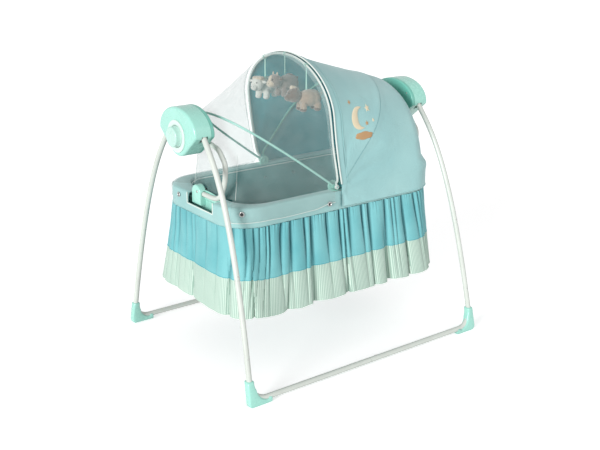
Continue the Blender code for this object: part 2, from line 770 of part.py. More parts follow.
def make_board():
    """The control board behind the dial, with the potentiometer's block and two chips."""
    high = -BOARD_X + BOARD_THICKNESS / 2
    low = -BOARD_X - BOARD_THICKNESS / 2
    z = PIVOT_HEIGHT
    near_corner = (low, -BOARD_HALF_WIDTH, z - BOARD_HALF_HEIGHT)
    mesh = block(near_corner, (high, BOARD_HALF_WIDTH, z + BOARD_HALF_HEIGHT))
    half = POT_SIZE / 2
    pot = block((low - POT_DEPTH, -half, z - half), (low + BOARD_THICKNESS / 2, half, z + half))
    chips = []
    for side in SIDES.values():
        half = CHIP_SIZE / 2
        chip_z = z + side * BOARD_HALF_HEIGHT / 2
        near_corner = (low - CHIP_DEPTH, -half, chip_z - half)
        chips.append(block(near_corner, (low + BOARD_THICKNESS / 2, half, chip_z + half)))
    add("control_board", fuse(mesh, pot, *chips), "board_green")


def make_coil():
    """The swing coil on the back of the board, facing the magnet."""
    axis_z = PIVOT_HEIGHT - ARM_LENGTH
    front = -BOARD_X + BOARD_THICKNESS / 2 + FACE_GAP
    mesh = ring(front, front + COIL_LENGTH, COIL_INNER_R, COIL_OUTER_R, 20, 0, axis_z)
    add("swing_coil", smooth(mesh), "copper")


def make_inlet():
    """The DC inlet in the bottom of the drive housing. No lead is plugged in."""
    half = INLET_SIZE / 2
    low = PIVOT_HEIGHT - LOBE_R - FACE_GAP
    mesh = block((-INLET_X - half, -half, low), (-INLET_X + half, half, low + INLET_HEIGHT))
    bore_top = low + INLET_HEIGHT * INLET_DEPTH_SHARE
    bore = rod((-INLET_X, 0, low - OVERRUN), (-INLET_X, 0, bore_top), INLET_SIZE * INLET_BORE_SHARE, 10)
    add("dc_inlet", cut(mesh, bore), "black")


# Hangers: hubs on shafts, C-shaped arms and the sockets at the rim

HUB_R = 0.042
HUB_OUTER_X = 0.4292
HUB_INNER_X = 0.4075
HUB_BEVEL = 0.0020
HUB_SLEEVE_R = 0.0102
HUB_SLEEVE_LENGTH = 0.028
SHAFT_DEPTH = 0.048
HANGER_START_Y = 0.030
HANGER_START_DROP = 0.019
HANGER_SLOPE = 1 / 6
HANGER_BULGE = 0.155
HANGER_TIP_LIFT = 0.0028
HANGER_DROP = PIVOT_HEIGHT - RIM_HEIGHT - HANGER_TIP_LIFT
HANGER_TIP_Y = 0.012
HANGER_STEPS = 2
HANGER_SHARES = (
    (0.555, 0.138), (0.748, 0.170), (0.897, 0.271), (0.994, 0.367), (1.000, 0.524),
    (0.948, 0.695), (0.819, 0.881), (0.652, 0.976), (0.420, 1.000), (0.200, 1.000),
)


def curve_through(points, steps):
    """A smooth row of points through the given ones."""
    row = [points[0] * 2 - points[1]] + list(points) + [points[-1] * 2 - points[-2]]
    made = []
    for a, b, c, d in zip(row, row[1:], row[2:], row[3:]):
        for i in range(steps):
            t = i / steps
            square = (2 * a - 5 * b + 4 * c - d) * t**2
            cube = (3 * b - a - 3 * c + d) * t**3
            made.append((2 * b + (c - a) * t + square + cube) / 2)
    return made + [points[-1]]


def hanger_path(end):
    """The arm's centre line: straight out of the hub's sleeve, round the near side, and into the socket."""
    x = end * HANGER_PLANE_X
    start = Vector((x, -HANGER_START_Y, PIVOT_HEIGHT - HANGER_START_DROP))
    sleeve_end = start + hanger_direction() * HUB_SLEEVE_LENGTH
    bends = [Vector((x, -HANGER_BULGE * y, PIVOT_HEIGHT - HANGER_DROP * z)) for y, z in HANGER_SHARES]
    tip = Vector((x, HANGER_TIP_Y, PIVOT_HEIGHT - HANGER_DROP))
    return [start] + curve_through([sleeve_end] + bends, HANGER_STEPS) + [tip]


def hanger_direction():
    return Vector((0, -1, -HANGER_SLOPE)).normalized()


def make_hub(name, end, body):
    """The hub disc on its shaft, with the sleeve that holds the arm."""
    profile = [(HUB_INNER_X, 0), (HUB_INNER_X, HUB_R - HUB_BEVEL), (HUB_INNER_X + HUB_BEVEL, HUB_R)]
    profile += [(HUB_OUTER_X, HUB_R), (HUB_OUTER_X, SHAFT_R), (HUB_OUTER_X + SHAFT_DEPTH, SHAFT_R)]
    profile += [(HUB_OUTER_X + SHAFT_DEPTH, 0)]
    mesh = turned([(end * x, r) for x, r in profile], (0, 0, PIVOT_HEIGHT), 24)
    start = hanger_path(end)[0]
    out = hanger_direction()
    sleeve = rod(start, start + out * HUB_SLEEVE_LENGTH, HUB_SLEEVE_R, 14)
    hole_end = start + out * (HUB_SLEEVE_LENGTH + OVERRUN)
    hole = rod(start - out * FACE_GAP, hole_end, bore_r(HANGER_D / 2, 14), 14)
    add(name, smooth(cut(fuse(mesh, sleeve), hole)), "mint", body)


def make_hanger(name, end, body):
    path = hanger_path(end)
    mesh = tube(path, [HANGER_D / 2] * len(path), [HANGER_D / 2 - HANGER_WALL] * len(path), TUBE_SIDES)
    add(name, smooth(mesh), "white_tube", body)


RIM_TUBE_D = 0.016
RIM_TUBE_X = 0.4050
RIM_TUBE_HEIGHT = RIM_HEIGHT - BAND_THICKNESS - FACE_GAP - RIM_TUBE_D / 2
SOCKET_OUTER_X = 0.4345
SOCKET_RISE = 0.0530
SOCKET_DROP = 0.0355
SOCKET_TOP = RIM_HEIGHT + SOCKET_RISE
SOCKET_FOOT = RIM_HEIGHT - SOCKET_DROP
SOCKET_NECK_Y = 0.0150
CLAMP_R = 0.0108
SOCKET_NEAR_Y = 0.0900
SOCKET_FAR_Y = 0.0410


def make_socket(name, end, body):
    """The mint bracket that clamps on the rim tube and takes the arm's end, with an arched top."""
    low_x = RIM_TUBE_X + RIM_TUBE_D / 4
    centre_y = (SOCKET_FAR_Y - SOCKET_NECK_Y) / 2
    half = (SOCKET_FAR_Y + SOCKET_NECK_Y) / 2
    outline = [(-SOCKET_NECK_Y, SOCKET_FOOT), (SOCKET_FAR_Y, SOCKET_FOOT)]
    for i in range(7):
        a = math.pi * i / 6
        outline.append((centre_y + half * math.cos(a), SOCKET_TOP - half + half * math.sin(a)))
    upright = prism(outline, *sorted((end * low_x, end * SOCKET_OUTER_X)))
    clamp = rod((end * RIM_TUBE_X, -SOCKET_NEAR_Y, RIM_TUBE_HEIGHT), (end * RIM_TUBE_X, SOCKET_FAR_Y, RIM_TUBE_HEIGHT),
                CLAMP_R, 12)
    mesh = fuse(upright, clamp)
    tube_hole = rod((end * RIM_TUBE_X, -SOCKET_NEAR_Y - OVERRUN, RIM_TUBE_HEIGHT),
                    (end * RIM_TUBE_X, SOCKET_FAR_Y + OVERRUN, RIM_TUBE_HEIGHT), bore_r(RIM_TUBE_D / 2, 16), 16)
    arm_height = PIVOT_HEIGHT - HANGER_DROP
    arm_hole = rod((end * HANGER_PLANE_X, -SOCKET_NECK_Y - OVERRUN, arm_height),
                   (end * HANGER_PLANE_X, HANGER_TIP_Y + FACE_GAP, arm_height), bore_r(HANGER_D / 2, 16), 16)
    add(name, smooth(cut(mesh, tube_hole, arm_hole)), "mint", body)


def make_magnet_arm(body):
    """The lever pressed on the tip of the drive shaft. Its magnet swings in front of the coil."""
    outer = -HUB_OUTER_X - SHAFT_DEPTH + FACE_GAP
    inner = outer + ARM_THICKNESS
    z = PIVOT_HEIGHT
    low = z - ARM_LENGTH
    lever = block((outer, -ARM_HALF_WIDTH, low), (inner, ARM_HALF_WIDTH, z + ARM_HALF_WIDTH + ARM_THICKNESS))
    magnet = rod((outer - MAGNET_REACH, 0, low), (inner + ARM_THICKNESS / 4, 0, low), MAGNET_R, 14)
    bore = rod((outer - OVERRUN, 0, z), (inner + OVERRUN, 0, z), bore_r(SHAFT_R, 14), 14)
    add("magnet_arm", cut(fuse(lever, magnet), bore), "steel", body)


# Basket: rim tube, liner, board, mattress, rim band and the two skirts

LINER_WALL = 0.0030
LINER_TOP_HALF_LENGTH = 0.3830
LINER_TOP_HALF_WIDTH = 0.2120
LINER_FOOT_HALF_LENGTH = 0.3550
LINER_FOOT_HALF_WIDTH = 0.1860
LINER_CORNER = 0.100
BOARD_GAP = 0.0040
FLOOR_BOARD_THICKNESS = 0.0080
MATTRESS_THICKNESS = 0.048
MATTRESS_CROWN = 0.010
MATTRESS_EDGE_DRAW = 0.006
TUFT_DEPTH = 0.0060
TUFT_STEP = 4
TUFT_RING_SHARE = 0.60
MATTRESS_EDGE_SHARE = 0.955
MATTRESS_TOP_SHARES = (0.80, TUFT_RING_SHARE, 0.40, 0.20)
LOOP_POINTS = 36
NOTCH_NEAR_Y = 0.112
NOTCH_FAR_Y = 0.052
NOTCH_DROP = 0.0380
NOTCH_FOOT = RIM_HEIGHT - NOTCH_DROP
NOTCH_INNER_X = 0.3890


def rim_notch(end, near_y, low, high):
    """A cutter for the opening that an arm and its socket pass through."""
    span = sorted((end * NOTCH_INNER_X, end * (BASKET_HALF_LENGTH + OVERRUN)))
    return block((span[0], -near_y, low), (span[1], NOTCH_FAR_Y, high))


def rim_tube_half_width():
    return BASKET_HALF_WIDTH - BAND_THICKNESS - BAND_TOP_DROP / 4 - RIM_TUBE_D / 2 - CLOTH_GAP


def make_rim_tube(body):
    points = rounded_loop(RIM_TUBE_X, rim_tube_half_width(), LINER_CORNER, RIM_TUBE_HEIGHT, LOOP_POINTS)
    add("rim_tube", smooth(bent_bar(points, RIM_TUBE_D / 2, 2, True)), "white_tube", body)


def make_liner(body):
    """The mesh tub of the basket, with its floor."""
    top = RIM_HEIGHT - BAND_TOP_DROP - FACE_GAP
    foot = RIM_HEIGHT - LINER_DEPTH
    outside = [
        rounded_loop(LINER_FOOT_HALF_LENGTH, LINER_FOOT_HALF_WIDTH, LINER_CORNER, foot, LOOP_POINTS),
        rounded_loop(LINER_TOP_HALF_LENGTH, LINER_TOP_HALF_WIDTH, LINER_CORNER, top, LOOP_POINTS),
    ]
    wall = LINER_WALL
    inside = [
        rounded_loop(LINER_TOP_HALF_LENGTH - wall, LINER_TOP_HALF_WIDTH - wall, LINER_CORNER - wall, top, LOOP_POINTS),
        rounded_loop(LINER_FOOT_HALF_LENGTH - wall, LINER_FOOT_HALF_WIDTH - wall, LINER_CORNER - wall, foot + wall,
                     LOOP_POINTS),
    ]
    add("basket_liner", smooth(loft(outside + inside)), "mesh", body)


def make_floor_board(body):
    low = RIM_HEIGHT - LINER_DEPTH + LINER_WALL + FACE_GAP
    size = (LINER_FOOT_HALF_LENGTH - BOARD_GAP, LINER_FOOT_HALF_WIDTH - BOARD_GAP, LINER_CORNER - BOARD_GAP)
    rings = [rounded_loop(*size, low + k * FLOOR_BOARD_THICKNESS, LOOP_POINTS) for k in (0, 1)]
    add("floor_board", loft(rings), "birch", body)


def mattress_foot():
    return RIM_HEIGHT - LINER_DEPTH + LINER_WALL + FLOOR_BOARD_THICKNESS + 2 * FACE_GAP


def make_mattress(body):
    """A thin pad with a crowned top, sides that draw in between the corners, and a row of sewn tufts."""
    low = mattress_foot()
    half_length = LINER_FOOT_HALF_LENGTH - BOARD_GAP
    half_width = LINER_FOOT_HALF_WIDTH - BOARD_GAP
    corner = LINER_CORNER - BOARD_GAP
    side_top = low + MATTRESS_THICKNESS - MATTRESS_CROWN
    edge = MATTRESS_EDGE_SHARE
    shapes = [(edge, low), (1, low + MATTRESS_CROWN), (1, side_top), (edge, side_top + MATTRESS_CROWN * edge / 2)]
    rings = []
    for share, height in shapes:
        ring_points = rounded_loop(half_length * share, half_width * share, corner * share, height, LOOP_POINTS)
        for point in ring_points:
            along = abs(point.x) / half_length
            across = abs(point.y) / half_width
            point.y *= 1 - MATTRESS_EDGE_DRAW / half_width * math.cos(QUARTER * min(1, along)) ** 2 * across
        rings.append(ring_points)
    for share in MATTRESS_TOP_SHARES:
        ring_points = rounded_loop(half_length * share, half_width * share, corner * share, side_top, LOOP_POINTS)
        for i, point in enumerate(ring_points):
            crown = MATTRESS_CROWN * (1 - share**4 / 3)
            tuft = TUFT_DEPTH if share == TUFT_RING_SHARE and i % TUFT_STEP == 0 else 0
            point.z += crown - tuft
        rings.append(ring_points)
    add("mattress", smooth(loft(rings), 60), "ticking", body)


def make_rim_band(body):
    """The pale band: it rolls over the rim tube and covers the outside of the rim down to the skirt."""
    top = RIM_HEIGHT
    foot = RIM_HEIGHT - RIM_BAND_DROP
    thick = BAND_THICKNESS
    inner_length = LINER_TOP_HALF_LENGTH - LINER_WALL
    inner_width = LINER_TOP_HALF_WIDTH - LINER_WALL
    roll = BAND_TOP_DROP
    set_in = roll * 3 / 2
    shapes = [
        (inner_length, inner_width, top - roll),
        (inner_length + roll, inner_width + roll, top),
        (BASKET_HALF_LENGTH - set_in, BASKET_HALF_WIDTH - set_in, top),
        (BASKET_HALF_LENGTH - roll / 4, BASKET_HALF_WIDTH - roll / 4, top - roll),
        (BASKET_HALF_LENGTH, BASKET_HALF_WIDTH, foot),
        (BASKET_HALF_LENGTH - thick, BASKET_HALF_WIDTH - thick, foot),
        (BASKET_HALF_LENGTH - thick - roll / 4, BASKET_HALF_WIDTH - thick - roll / 4, top - set_in),
        (BASKET_HALF_LENGTH - set_in, BASKET_HALF_WIDTH - set_in, top - thick),
        (inner_length + roll, inner_width + roll, top - thick),
    ]
    rings = [
        rounded_loop(length, width, BASKET_CORNER - (BASKET_HALF_LENGTH - length) / 3, z, LOOP_POINTS)
        for length, width, z in shapes
    ]
    mesh = loft(rings, loop=True)
    cutters = [rim_notch(end, NOTCH_NEAR_Y, NOTCH_FOOT, top + OVERRUN) for end in ENDS.values()]
    cutters += [hinge_slot(side) for side in SIDES.values()]
    add("rim_band", smooth(cut(mesh, *cutters), 50), "pale_aqua", body)


SKIRT_FOLDS = 26
SKIRT_FOLD_POINTS = 4
SKIRT_THICKNESS = 0.0024
SKIRT_FLARE_X = 0.016
SKIRT_FLARE_Y = 0.050
FOLD_DEPTH_TOP = 0.0030
FOLD_DEPTH_SEAM = 0.0120
FOLD_DEPTH_HEM = 0.0160
SKIRT_DRIFTS = 7
DRIFT_SHARE = 0.35
END_CALM_SHARE = 0.45


def skirt_loop(drop, fold_depth):
    """A wavy loop of the skirt at a drop below the band's foot. The folds deepen and the skirt flares."""
    share = drop / (SKIRT_UPPER_DROP + SKIRT_LOWER_DROP)
    height = RIM_HEIGHT - RIM_BAND_DROP - CLOTH_GAP - drop
    half_length = BASKET_HALF_LENGTH - BAND_THICKNESS / 2 + SKIRT_FLARE_X * share - fold_depth / 2
    half_width = BASKET_HALF_WIDTH - BAND_THICKNESS / 2 + SKIRT_FLARE_Y * share
    count = SKIRT_FOLDS * SKIRT_FOLD_POINTS
    points = rounded_loop(half_length, half_width, BASKET_CORNER, height, count)
    for i, point in enumerate(points):
        before, after = points[i - 1], points[(i + 1) % count]
        along = (after - before).normalized()
        out = Vector((along.y, -along.x, 0))
        wave = math.cos(ROUND * i / SKIRT_FOLD_POINTS) + DRIFT_SHARE * math.sin(ROUND * SKIRT_DRIFTS * i / count)
        point.xy += out.xy * wave * fold_depth / 2 * (1 - END_CALM_SHARE * abs(out.x))
    return points


def make_skirt(name, drops, depths, finish, body):
    """A gathered tier of the skirt: a thin ring of cloth with its main folds."""
    rows = [skirt_loop(drop, depth) for drop, depth in zip(drops, depths)]
    bm = bmesh.new()
    grid = [[bm.verts.new(point) for point in row] for row in rows]
    for low, high in zip(grid, grid[1:]):
        for i in range(len(low)):
            j = (i + 1) % len(low)
            bm.faces.new((low[i], low[j], high[j], high[i]))
    mesh = thickened(finished(bm, name), SKIRT_THICKNESS)
    add(name, smooth(mesh, 70), finish, body)


# Hood, net and their bows

EYE_R = 0.0080
EYE_WIDTH = 0.0070
STUD_R = 0.0030
HINGE_HEAD_R = 0.0200
HINGE_HEAD_DEPTH = 0.0050
HINGE_HEAD_Y = 0.2060
HINGE_FOOT_HALF_LENGTH = 0.0200
STACK_START_Y = 0.2120
STACK_STEP = 0.0086
HOOD_FRONT_SPRING_RISE = 0.258
HOOD_END_SPRING_RISE = 0.003
HOOD_FRONT_SPRING = RIM_HEIGHT + HOOD_FRONT_SPRING_RISE
HOOD_END_SPRING = RIM_HEIGHT + HOOD_END_SPRING_RISE
HOOD_CORNER_X = 0.330
HOOD_RIM_FLARE_START = 0.250
HOOD_RIM_X = 0.4490
FLARE_HIGH_RISE = 0.066
FLARE_HIGH_HEIGHT = RIM_HEIGHT + FLARE_HIGH_RISE
ARCH_SIDE_STEPS = 3
ARCH_TOP_STEPS = 12
ARCH_STEPS = 2 * ARCH_SIDE_STEPS + ARCH_TOP_STEPS
HOOD_FIRST_SHARE = 0.018
HOOD_SIDE_SHARE = 0.80
END_BOW_SHARE = 0.90
RIDGE_ROUND_SHARE = 0.60
RIDGE_DROP_SHARE = 0.75
HOOD_NOTCH_NEAR_Y = 0.160
HOOD_NOTCH_RISE = 0.060
HOOD_NOTCH_TOP = RIM_HEIGHT + HOOD_NOTCH_RISE
BOW_SET_IN = 0.0057


def hinge_slot(side):
    """A cutter for the slot in the band that a bow hinge's foot stands in."""
    y_low = HINGE_HEAD_Y - FACE_GAP * 3
    y_high = BASKET_HALF_WIDTH - BAND_THICKNESS - CLOTH_GAP
    span = sorted((side * y_low, side * y_high))
    half = HINGE_FOOT_HALF_LENGTH + FACE_GAP * 3
    low = RIM_TUBE_HEIGHT + RIM_TUBE_D / 2
    return block((BOW_AXIS_X - half, span[0], low), (BOW_AXIS_X + half, span[1], RIM_HEIGHT + OVERRUN))


def front_edge_x(height):
    """The front bow leans forward as it rises, in a gentle curve."""
    share = min(1, max(0, (HOOD_TOP - height) / (HOOD_TOP - BOW_AXIS_HEIGHT)))
    return HOOD_TOP_X + (BOW_AXIS_X - HOOD_TOP_X) * share * share


def ridge_height(x):
    share = (x - HOOD_TOP_X) / (HOOD_END_X - HOOD_TOP_X)
    return HOOD_TOP + (HOOD_END_TOP - HOOD_TOP) * share


def arch(t, half_width, base, top, spring):
    """An arch in (y, z), from the near foot at 0 to the far foot at 1: straight sides and an elliptic top."""
    place = t * ARCH_STEPS
    if place <= ARCH_SIDE_STEPS:
        return -half_width, base + (spring - base) * place / ARCH_SIDE_STEPS
    if place >= ARCH_STEPS - ARCH_SIDE_STEPS:
        return half_width, base + (spring - base) * (ARCH_STEPS - place) / ARCH_SIDE_STEPS
    a = math.pi * (place - ARCH_SIDE_STEPS) / ARCH_TOP_STEPS
    return -half_width * math.cos(a), spring + (top - spring) * math.sin(a)


def hood_point(q, t, inset=0):
    """The hood's skin: q runs from the front edge at 0, along the side, round the corner to the end panel at 1."""
    corner = HOOD_END_X - HOOD_CORNER_X
    half_width = HOOD_HALF_WIDTH - inset
    if q <= HOOD_SIDE_SHARE:
        x = HOOD_TOP_X + (HOOD_CORNER_X - HOOD_TOP_X) * q / HOOD_SIDE_SHARE
    else:
        a = QUARTER * (q - HOOD_SIDE_SHARE) / (1 - HOOD_SIDE_SHARE)
        x = HOOD_CORNER_X + (corner - inset) * math.sin(a)
        half_width -= corner * (1 - math.cos(a))
    sunk = HOOD_HALF_WIDTH - inset - half_width
    top = ridge_height(min(x, HOOD_CORNER_X + corner * RIDGE_ROUND_SHARE)) - sunk * RIDGE_DROP_SHARE - inset
    share = min(1, max(0, (x - HOOD_TOP_X) / (HOOD_END_X - HOOD_TOP_X)))
    spring = HOOD_FRONT_SPRING + (HOOD_END_SPRING - HOOD_FRONT_SPRING) * share
    y, z = arch(t, half_width, HOOD_HEM_HEIGHT, top, spring)
    low = min(1, max(0, (FLARE_HIGH_HEIGHT - z) / (FLARE_HIGH_HEIGHT - HOOD_END_SPRING)))
    if x > HOOD_RIM_FLARE_START:
        stretch = (HOOD_RIM_X - HOOD_RIM_FLARE_START) / (HOOD_END_X - HOOD_RIM_FLARE_START)
        x = HOOD_RIM_FLARE_START + (x - HOOD_RIM_FLARE_START) * (1 + (stretch - 1) * low)
    front = front_edge_x(z) - HOOD_TOP_X
    x += front * max(0, 1 - q / HOOD_SIDE_SHARE)
    return Vector((x, y, z))


def on_rear_side(point):
    """How far a point lies behind the rear bow's plane, along its normal."""
    normal = Vector((math.sin(REAR_BOW_ANGLE), 0, -math.cos(REAR_BOW_ANGLE)))
    return normal.dot(point - Vector((BOW_AXIS_X, 0, BOW_AXIS_HEIGHT)))


def bow_on_hood(locate, foot_y):
    """A bow that follows the inside of the hood along a locus, with its feet at the hinge."""
    points = []
    for i in range(ARCH_STEPS + 1):
        point = locate(i / ARCH_STEPS, BOW_SET_IN)
        if point.z > BOW_AXIS_HEIGHT + 3 * EYE_R:
            points.append(point)
    feet = [Vector((BOW_AXIS_X, side * foot_y, BOW_AXIS_HEIGHT)) for side in SIDES.values()]
    knees = []
    for foot, neighbour in zip(feet, (points[0], points[-1])):
        rise = (neighbour - foot).normalized() * 2 * EYE_R
        knees.append(Vector((foot.x + rise.x, foot.y, foot.z + rise.z)))
    return [feet[0], knees[0]] + points + [knees[1], feet[1]]


def make_bow(name, points, body, finish="mint"):
    """A bent rod with a flat eye at each foot, bored for the hinge stud."""
    mesh = bent_bar(points, BOW_D / 2, 1)
    for foot in (points[0], points[-1]):
        across = Vector((0, EYE_WIDTH / 2, 0))
        eye = rod(foot - across, foot + across, EYE_R, 12)
        bore = rod(foot - 2 * across, foot + 2 * across, bore_r(STUD_R, 10), 10)
        mesh = cut(fuse(mesh, eye), bore)
    add(name, smooth(mesh), finish, body)


def rear_bow_point(t, inset):
    """The hood's skin where the rear bow's plane crosses it, found by halving along the hood."""
    low, high = 0, END_BOW_SHARE
    while high - low > NEAR_SHARE:
        middle = (low + high) / 2
        if on_rear_side(hood_point(middle, t, inset)) < 0:
            low = middle
        else:
            high = middle
    return hood_point(low, t, inset)


def front_bow_point(t, inset):
    return hood_point(0, t, inset)


def net_bow_point(t, outset=0):
    """The net bow's arch in its leaning plane: a wide flat-topped arc about the hinge axis."""
    half_width = STACK_START_Y + STACK_STEP / 2 + outset
    a = math.pi * t
    across = -half_width * math.copysign(abs(math.cos(a)) ** NET_ROUNDING, math.cos(a))
    along = (NET_BOW_REACH + outset) * abs(math.sin(a)) ** NET_ROUNDING
    return Vector((
        BOW_AXIS_X - along * math.cos(NET_BOW_ANGLE),
        across,
        BOW_AXIS_HEIGHT + along * math.sin(NET_BOW_ANGLE),
    ))


def make_hinge_base(name, side, body):
    """The round hinge head at the rim, with its foot on the rim tube and the stud that the bows turn on."""
    inner = side * HINGE_HEAD_Y
    outer = side * (HINGE_HEAD_Y + HINGE_HEAD_DEPTH)
    head = rod((BOW_AXIS_X, inner, BOW_AXIS_HEIGHT), (BOW_AXIS_X, outer, BOW_AXIS_HEIGHT), HINGE_HEAD_R, 16)
    foot_low = RIM_TUBE_HEIGHT + RIM_TUBE_D / 2 + FACE_GAP
    span = sorted((inner, side * (rim_tube_half_width() + RIM_TUBE_D / 4)))
    foot = block((BOW_AXIS_X - HINGE_FOOT_HALF_LENGTH, span[0], foot_low),
                 (BOW_AXIS_X + HINGE_FOOT_HALF_LENGTH, span[1], RIM_HEIGHT + CLOTH_GAP))
    stud_tip = side * (STACK_START_Y + 3 * STACK_STEP)
    stud = rod((BOW_AXIS_X, inner, BOW_AXIS_HEIGHT), (BOW_AXIS_X, stud_tip, BOW_AXIS_HEIGHT), STUD_R, 10)
    below = block((BOW_AXIS_X - 2 * HINGE_HEAD_R, span[0] - OVERRUN, 0),
                  (BOW_AXIS_X + 2 * HINGE_HEAD_R, span[1] + OVERRUN, foot_low))
    add(name, smooth(fuse(cut(head, below), foot, stud)), "mint", body)


def make_end_bow(body):
    """The fixed bow at the head end, from the rim up to the hood's ridge."""
    points = []
    for i in range(ARCH_STEPS + 1):
        point = hood_point(END_BOW_SHARE, i / ARCH_STEPS, BOW_SET_IN)
        if point.z > FLARE_HIGH_HEIGHT + OVERRUN:
            points.append(point)
    feet = []
    for side in SIDES.values():
        foot = Vector((END_BOW_FOOT_X, side * END_BOW_FOOT_Y, RIM_HEIGHT + FACE_GAP))
        feet.append([foot, foot + Vector((0, 0, OVERRUN))])
    points = feet[0] + points + feet[1][::-1]
    add("hood_end_bow", smooth(bent_bar(points, BOW_D / 2, 1)), "white_tube", body)


END_BOW_FOOT_X = 0.3740
END_BOW_FOOT_Y = 0.2060
HOOD_SIDE_ROWS = 7
HOOD_CORNER_ROWS = 4
NET_ROWS = 3
NET_COLUMNS = 18
NET_CLOTH = 0.0012
NET_RIM_HALF_LENGTH = 0.4000
NET_RIM_HALF_WIDTH = 0.2250
NET_START_SHARE = 0.06
NET_ROUNDING = 0.80
NET_RIM_ROUNDING = 0.70


def make_hood_panel(name, front, finish, body):
    """One of the hood's two fabric panels: the hood's skin on one side of the rear bow's plane."""
    rows = []
    stretches = (
        (HOOD_FIRST_SHARE, HOOD_SIDE_SHARE, HOOD_SIDE_ROWS),
        (HOOD_SIDE_SHARE, 1, HOOD_CORNER_ROWS),
    )
    for first, last, count in stretches:
        for i in range(0 if first == HOOD_FIRST_SHARE else 1, count + 1):
            q = first + (last - first) * i / count
            rows.append([hood_point(q, j / ARCH_STEPS) for j in range(ARCH_STEPS + 1)])
    bm = bmesh.new()
    grid = [[bm.verts.new(point) for point in row] for row in rows]
    for low, high in zip(grid, grid[1:]):
        for j in range(len(low) - 1):
            bm.faces.new((low[j], low[j + 1], high[j + 1], high[j]))
    last = grid[-1]
    for j in range(ARCH_STEPS // 2):
        corners = [last[j], last[j + 1], last[ARCH_STEPS - j - 1], last[ARCH_STEPS - j]]
        bm.faces.new(corners if corners[1] != corners[2] else corners[:2] + corners[3:])
    normal = Vector((math.sin(REAR_BOW_ANGLE), 0, -math.cos(REAR_BOW_ANGLE)))
    place = Vector((BOW_AXIS_X, 0, BOW_AXIS_HEIGHT)) + normal * (-CLOTH if front else CLOTH)
    geom = bm.verts[:] + bm.edges[:] + bm.faces[:]
    bmesh.ops.bisect_plane(
        bm, geom=geom, plane_co=place, plane_no=normal, clear_outer=front, clear_inner=not front
    )
    bmesh.ops.remove_doubles(bm, verts=bm.verts, dist=CLOTH / 2)
    mesh = thickened(finished(bm, name), CLOTH)
    if not front:
        mesh = cut(mesh, rim_notch(1, HOOD_NOTCH_NEAR_Y, HOOD_HEM_HEIGHT - OVERRUN, HOOD_NOTCH_TOP))
    add(name, smooth(mesh, 60), finish, body)


def net_rows():
    """Rows of the net: from the hood's front edge, over the net bow, down to the rim at the drive end."""
    rows = []
    span = 1 - 2 * NET_START_SHARE
    lift = Vector((-math.sin(NET_BOW_ANGLE), 0, math.cos(NET_BOW_ANGLE))) * (BOW_D / 2 + NET_CLOTH)
    for i in range(2 * NET_ROWS + 1):
        row = []
        for j in range(NET_COLUMNS + 1):
            t = NET_START_SHARE + span * j / NET_COLUMNS
            y, z = arch(t, HOOD_HALF_WIDTH, BOW_AXIS_HEIGHT + 2 * EYE_R, HOOD_TOP, HOOD_FRONT_SPRING)
            top = Vector((front_edge_x(z) - RIBBON_LOOP_R - RIBBON_THICKNESS - NET_CLOTH, y, z))
            bow = net_bow_point(t, BOW_D / 2 + NET_CLOTH + CLOTH_GAP) + lift
            a = math.pi * t
            low = Vector((
                BOW_AXIS_X - (NET_RIM_HALF_LENGTH + BOW_AXIS_X) * math.sin(a) ** NET_RIM_ROUNDING,
                -NET_RIM_HALF_WIDTH * math.copysign(abs(math.cos(a)) ** NET_RIM_ROUNDING, math.cos(a)),
                RIM_HEIGHT + CLOTH_GAP,
            ))
            if i <= NET_ROWS:
                row.append(top.lerp(bow, i / NET_ROWS))
            else:
                row.append(bow.lerp(low, (i - NET_ROWS) / NET_ROWS))
        rows.append(row)
    return rows


def make_net(body):
    add("mosquito_net", smooth(cloth(net_rows(), NET_CLOTH), 60), "net", body)


# Toys: three small plush animals on ribbons

TOY_BODY_LENGTH = 0.058
TOY_BODY_R = 0.0200
TOY_HEAD_R = 0.0175
TOY_LEG_R = 0.0085
TOY_LEG_LENGTH = 0.020
TOY_BALANCE = 0.0105
RIBBON_WIDTH = 0.0060
RIBBON_THICKNESS = 0.0016
RIBBON_LOOP_R = 0.0070
FLAT_LOOP_R = 0.0056
LOOP_SIDES = 8
TOY_SEGMENTS = 8
TOY_RINGS = 5
EGG_SHARES = ((0, 0.45), (0.15, 0.88), (0.5, 1.0), (0.85, 0.88), (1, 0.45))
SNOUT_SHARE = 0.60
EAR_SHARE = 0.38
EAR_PLACE_SHARE = 0.75
LEG_PLACE_SHARE = 0.60


def ball(centre, radii, segments=TOY_SEGMENTS, rings=TOY_RINGS):
    """A stuffed ball: an ellipsoid with flat poles along Z."""
    bm = bmesh.new()
    bmesh.ops.create_uvsphere(bm, u_segments=segments, v_segments=rings, radius=1)
    matrix = Matrix.Translation(centre) @ Matrix.Diagonal((*radii, 1))
    bmesh.ops.transform(bm, matrix=matrix, verts=bm.verts)
    return finished(bm, "ball")


def egg(start, end, start_r, end_r, segments=TOY_SEGMENTS):
    """A stuffed limb or trunk that swells from one end to the other."""
    start, end = Vector(start), Vector(end)
    turn = (end - start).to_track_quat("Z", "Y").to_matrix()
    rings = []
    for share, swell in EGG_SHARES:
        radius = (start_r + (end_r - start_r) * share) * swell
        centre = start.lerp(end, share)
        rings.append([centre + turn @ Vector((a, b, 0)) for a, b in circle(radius, segments)])
    return loft(rings)


def grown(mesh, centre):
    """A copy of a solid, grown a little about its middle, to cut its neighbour with a gap."""
    bm = bmesh.new()
    bm.from_mesh(mesh)
    scale = 1 + FACE_GAP / TOY_BODY_R
    for vert in bm.verts:
        vert.co = centre + (vert.co - centre) * scale
    return finished(bm, "grown")


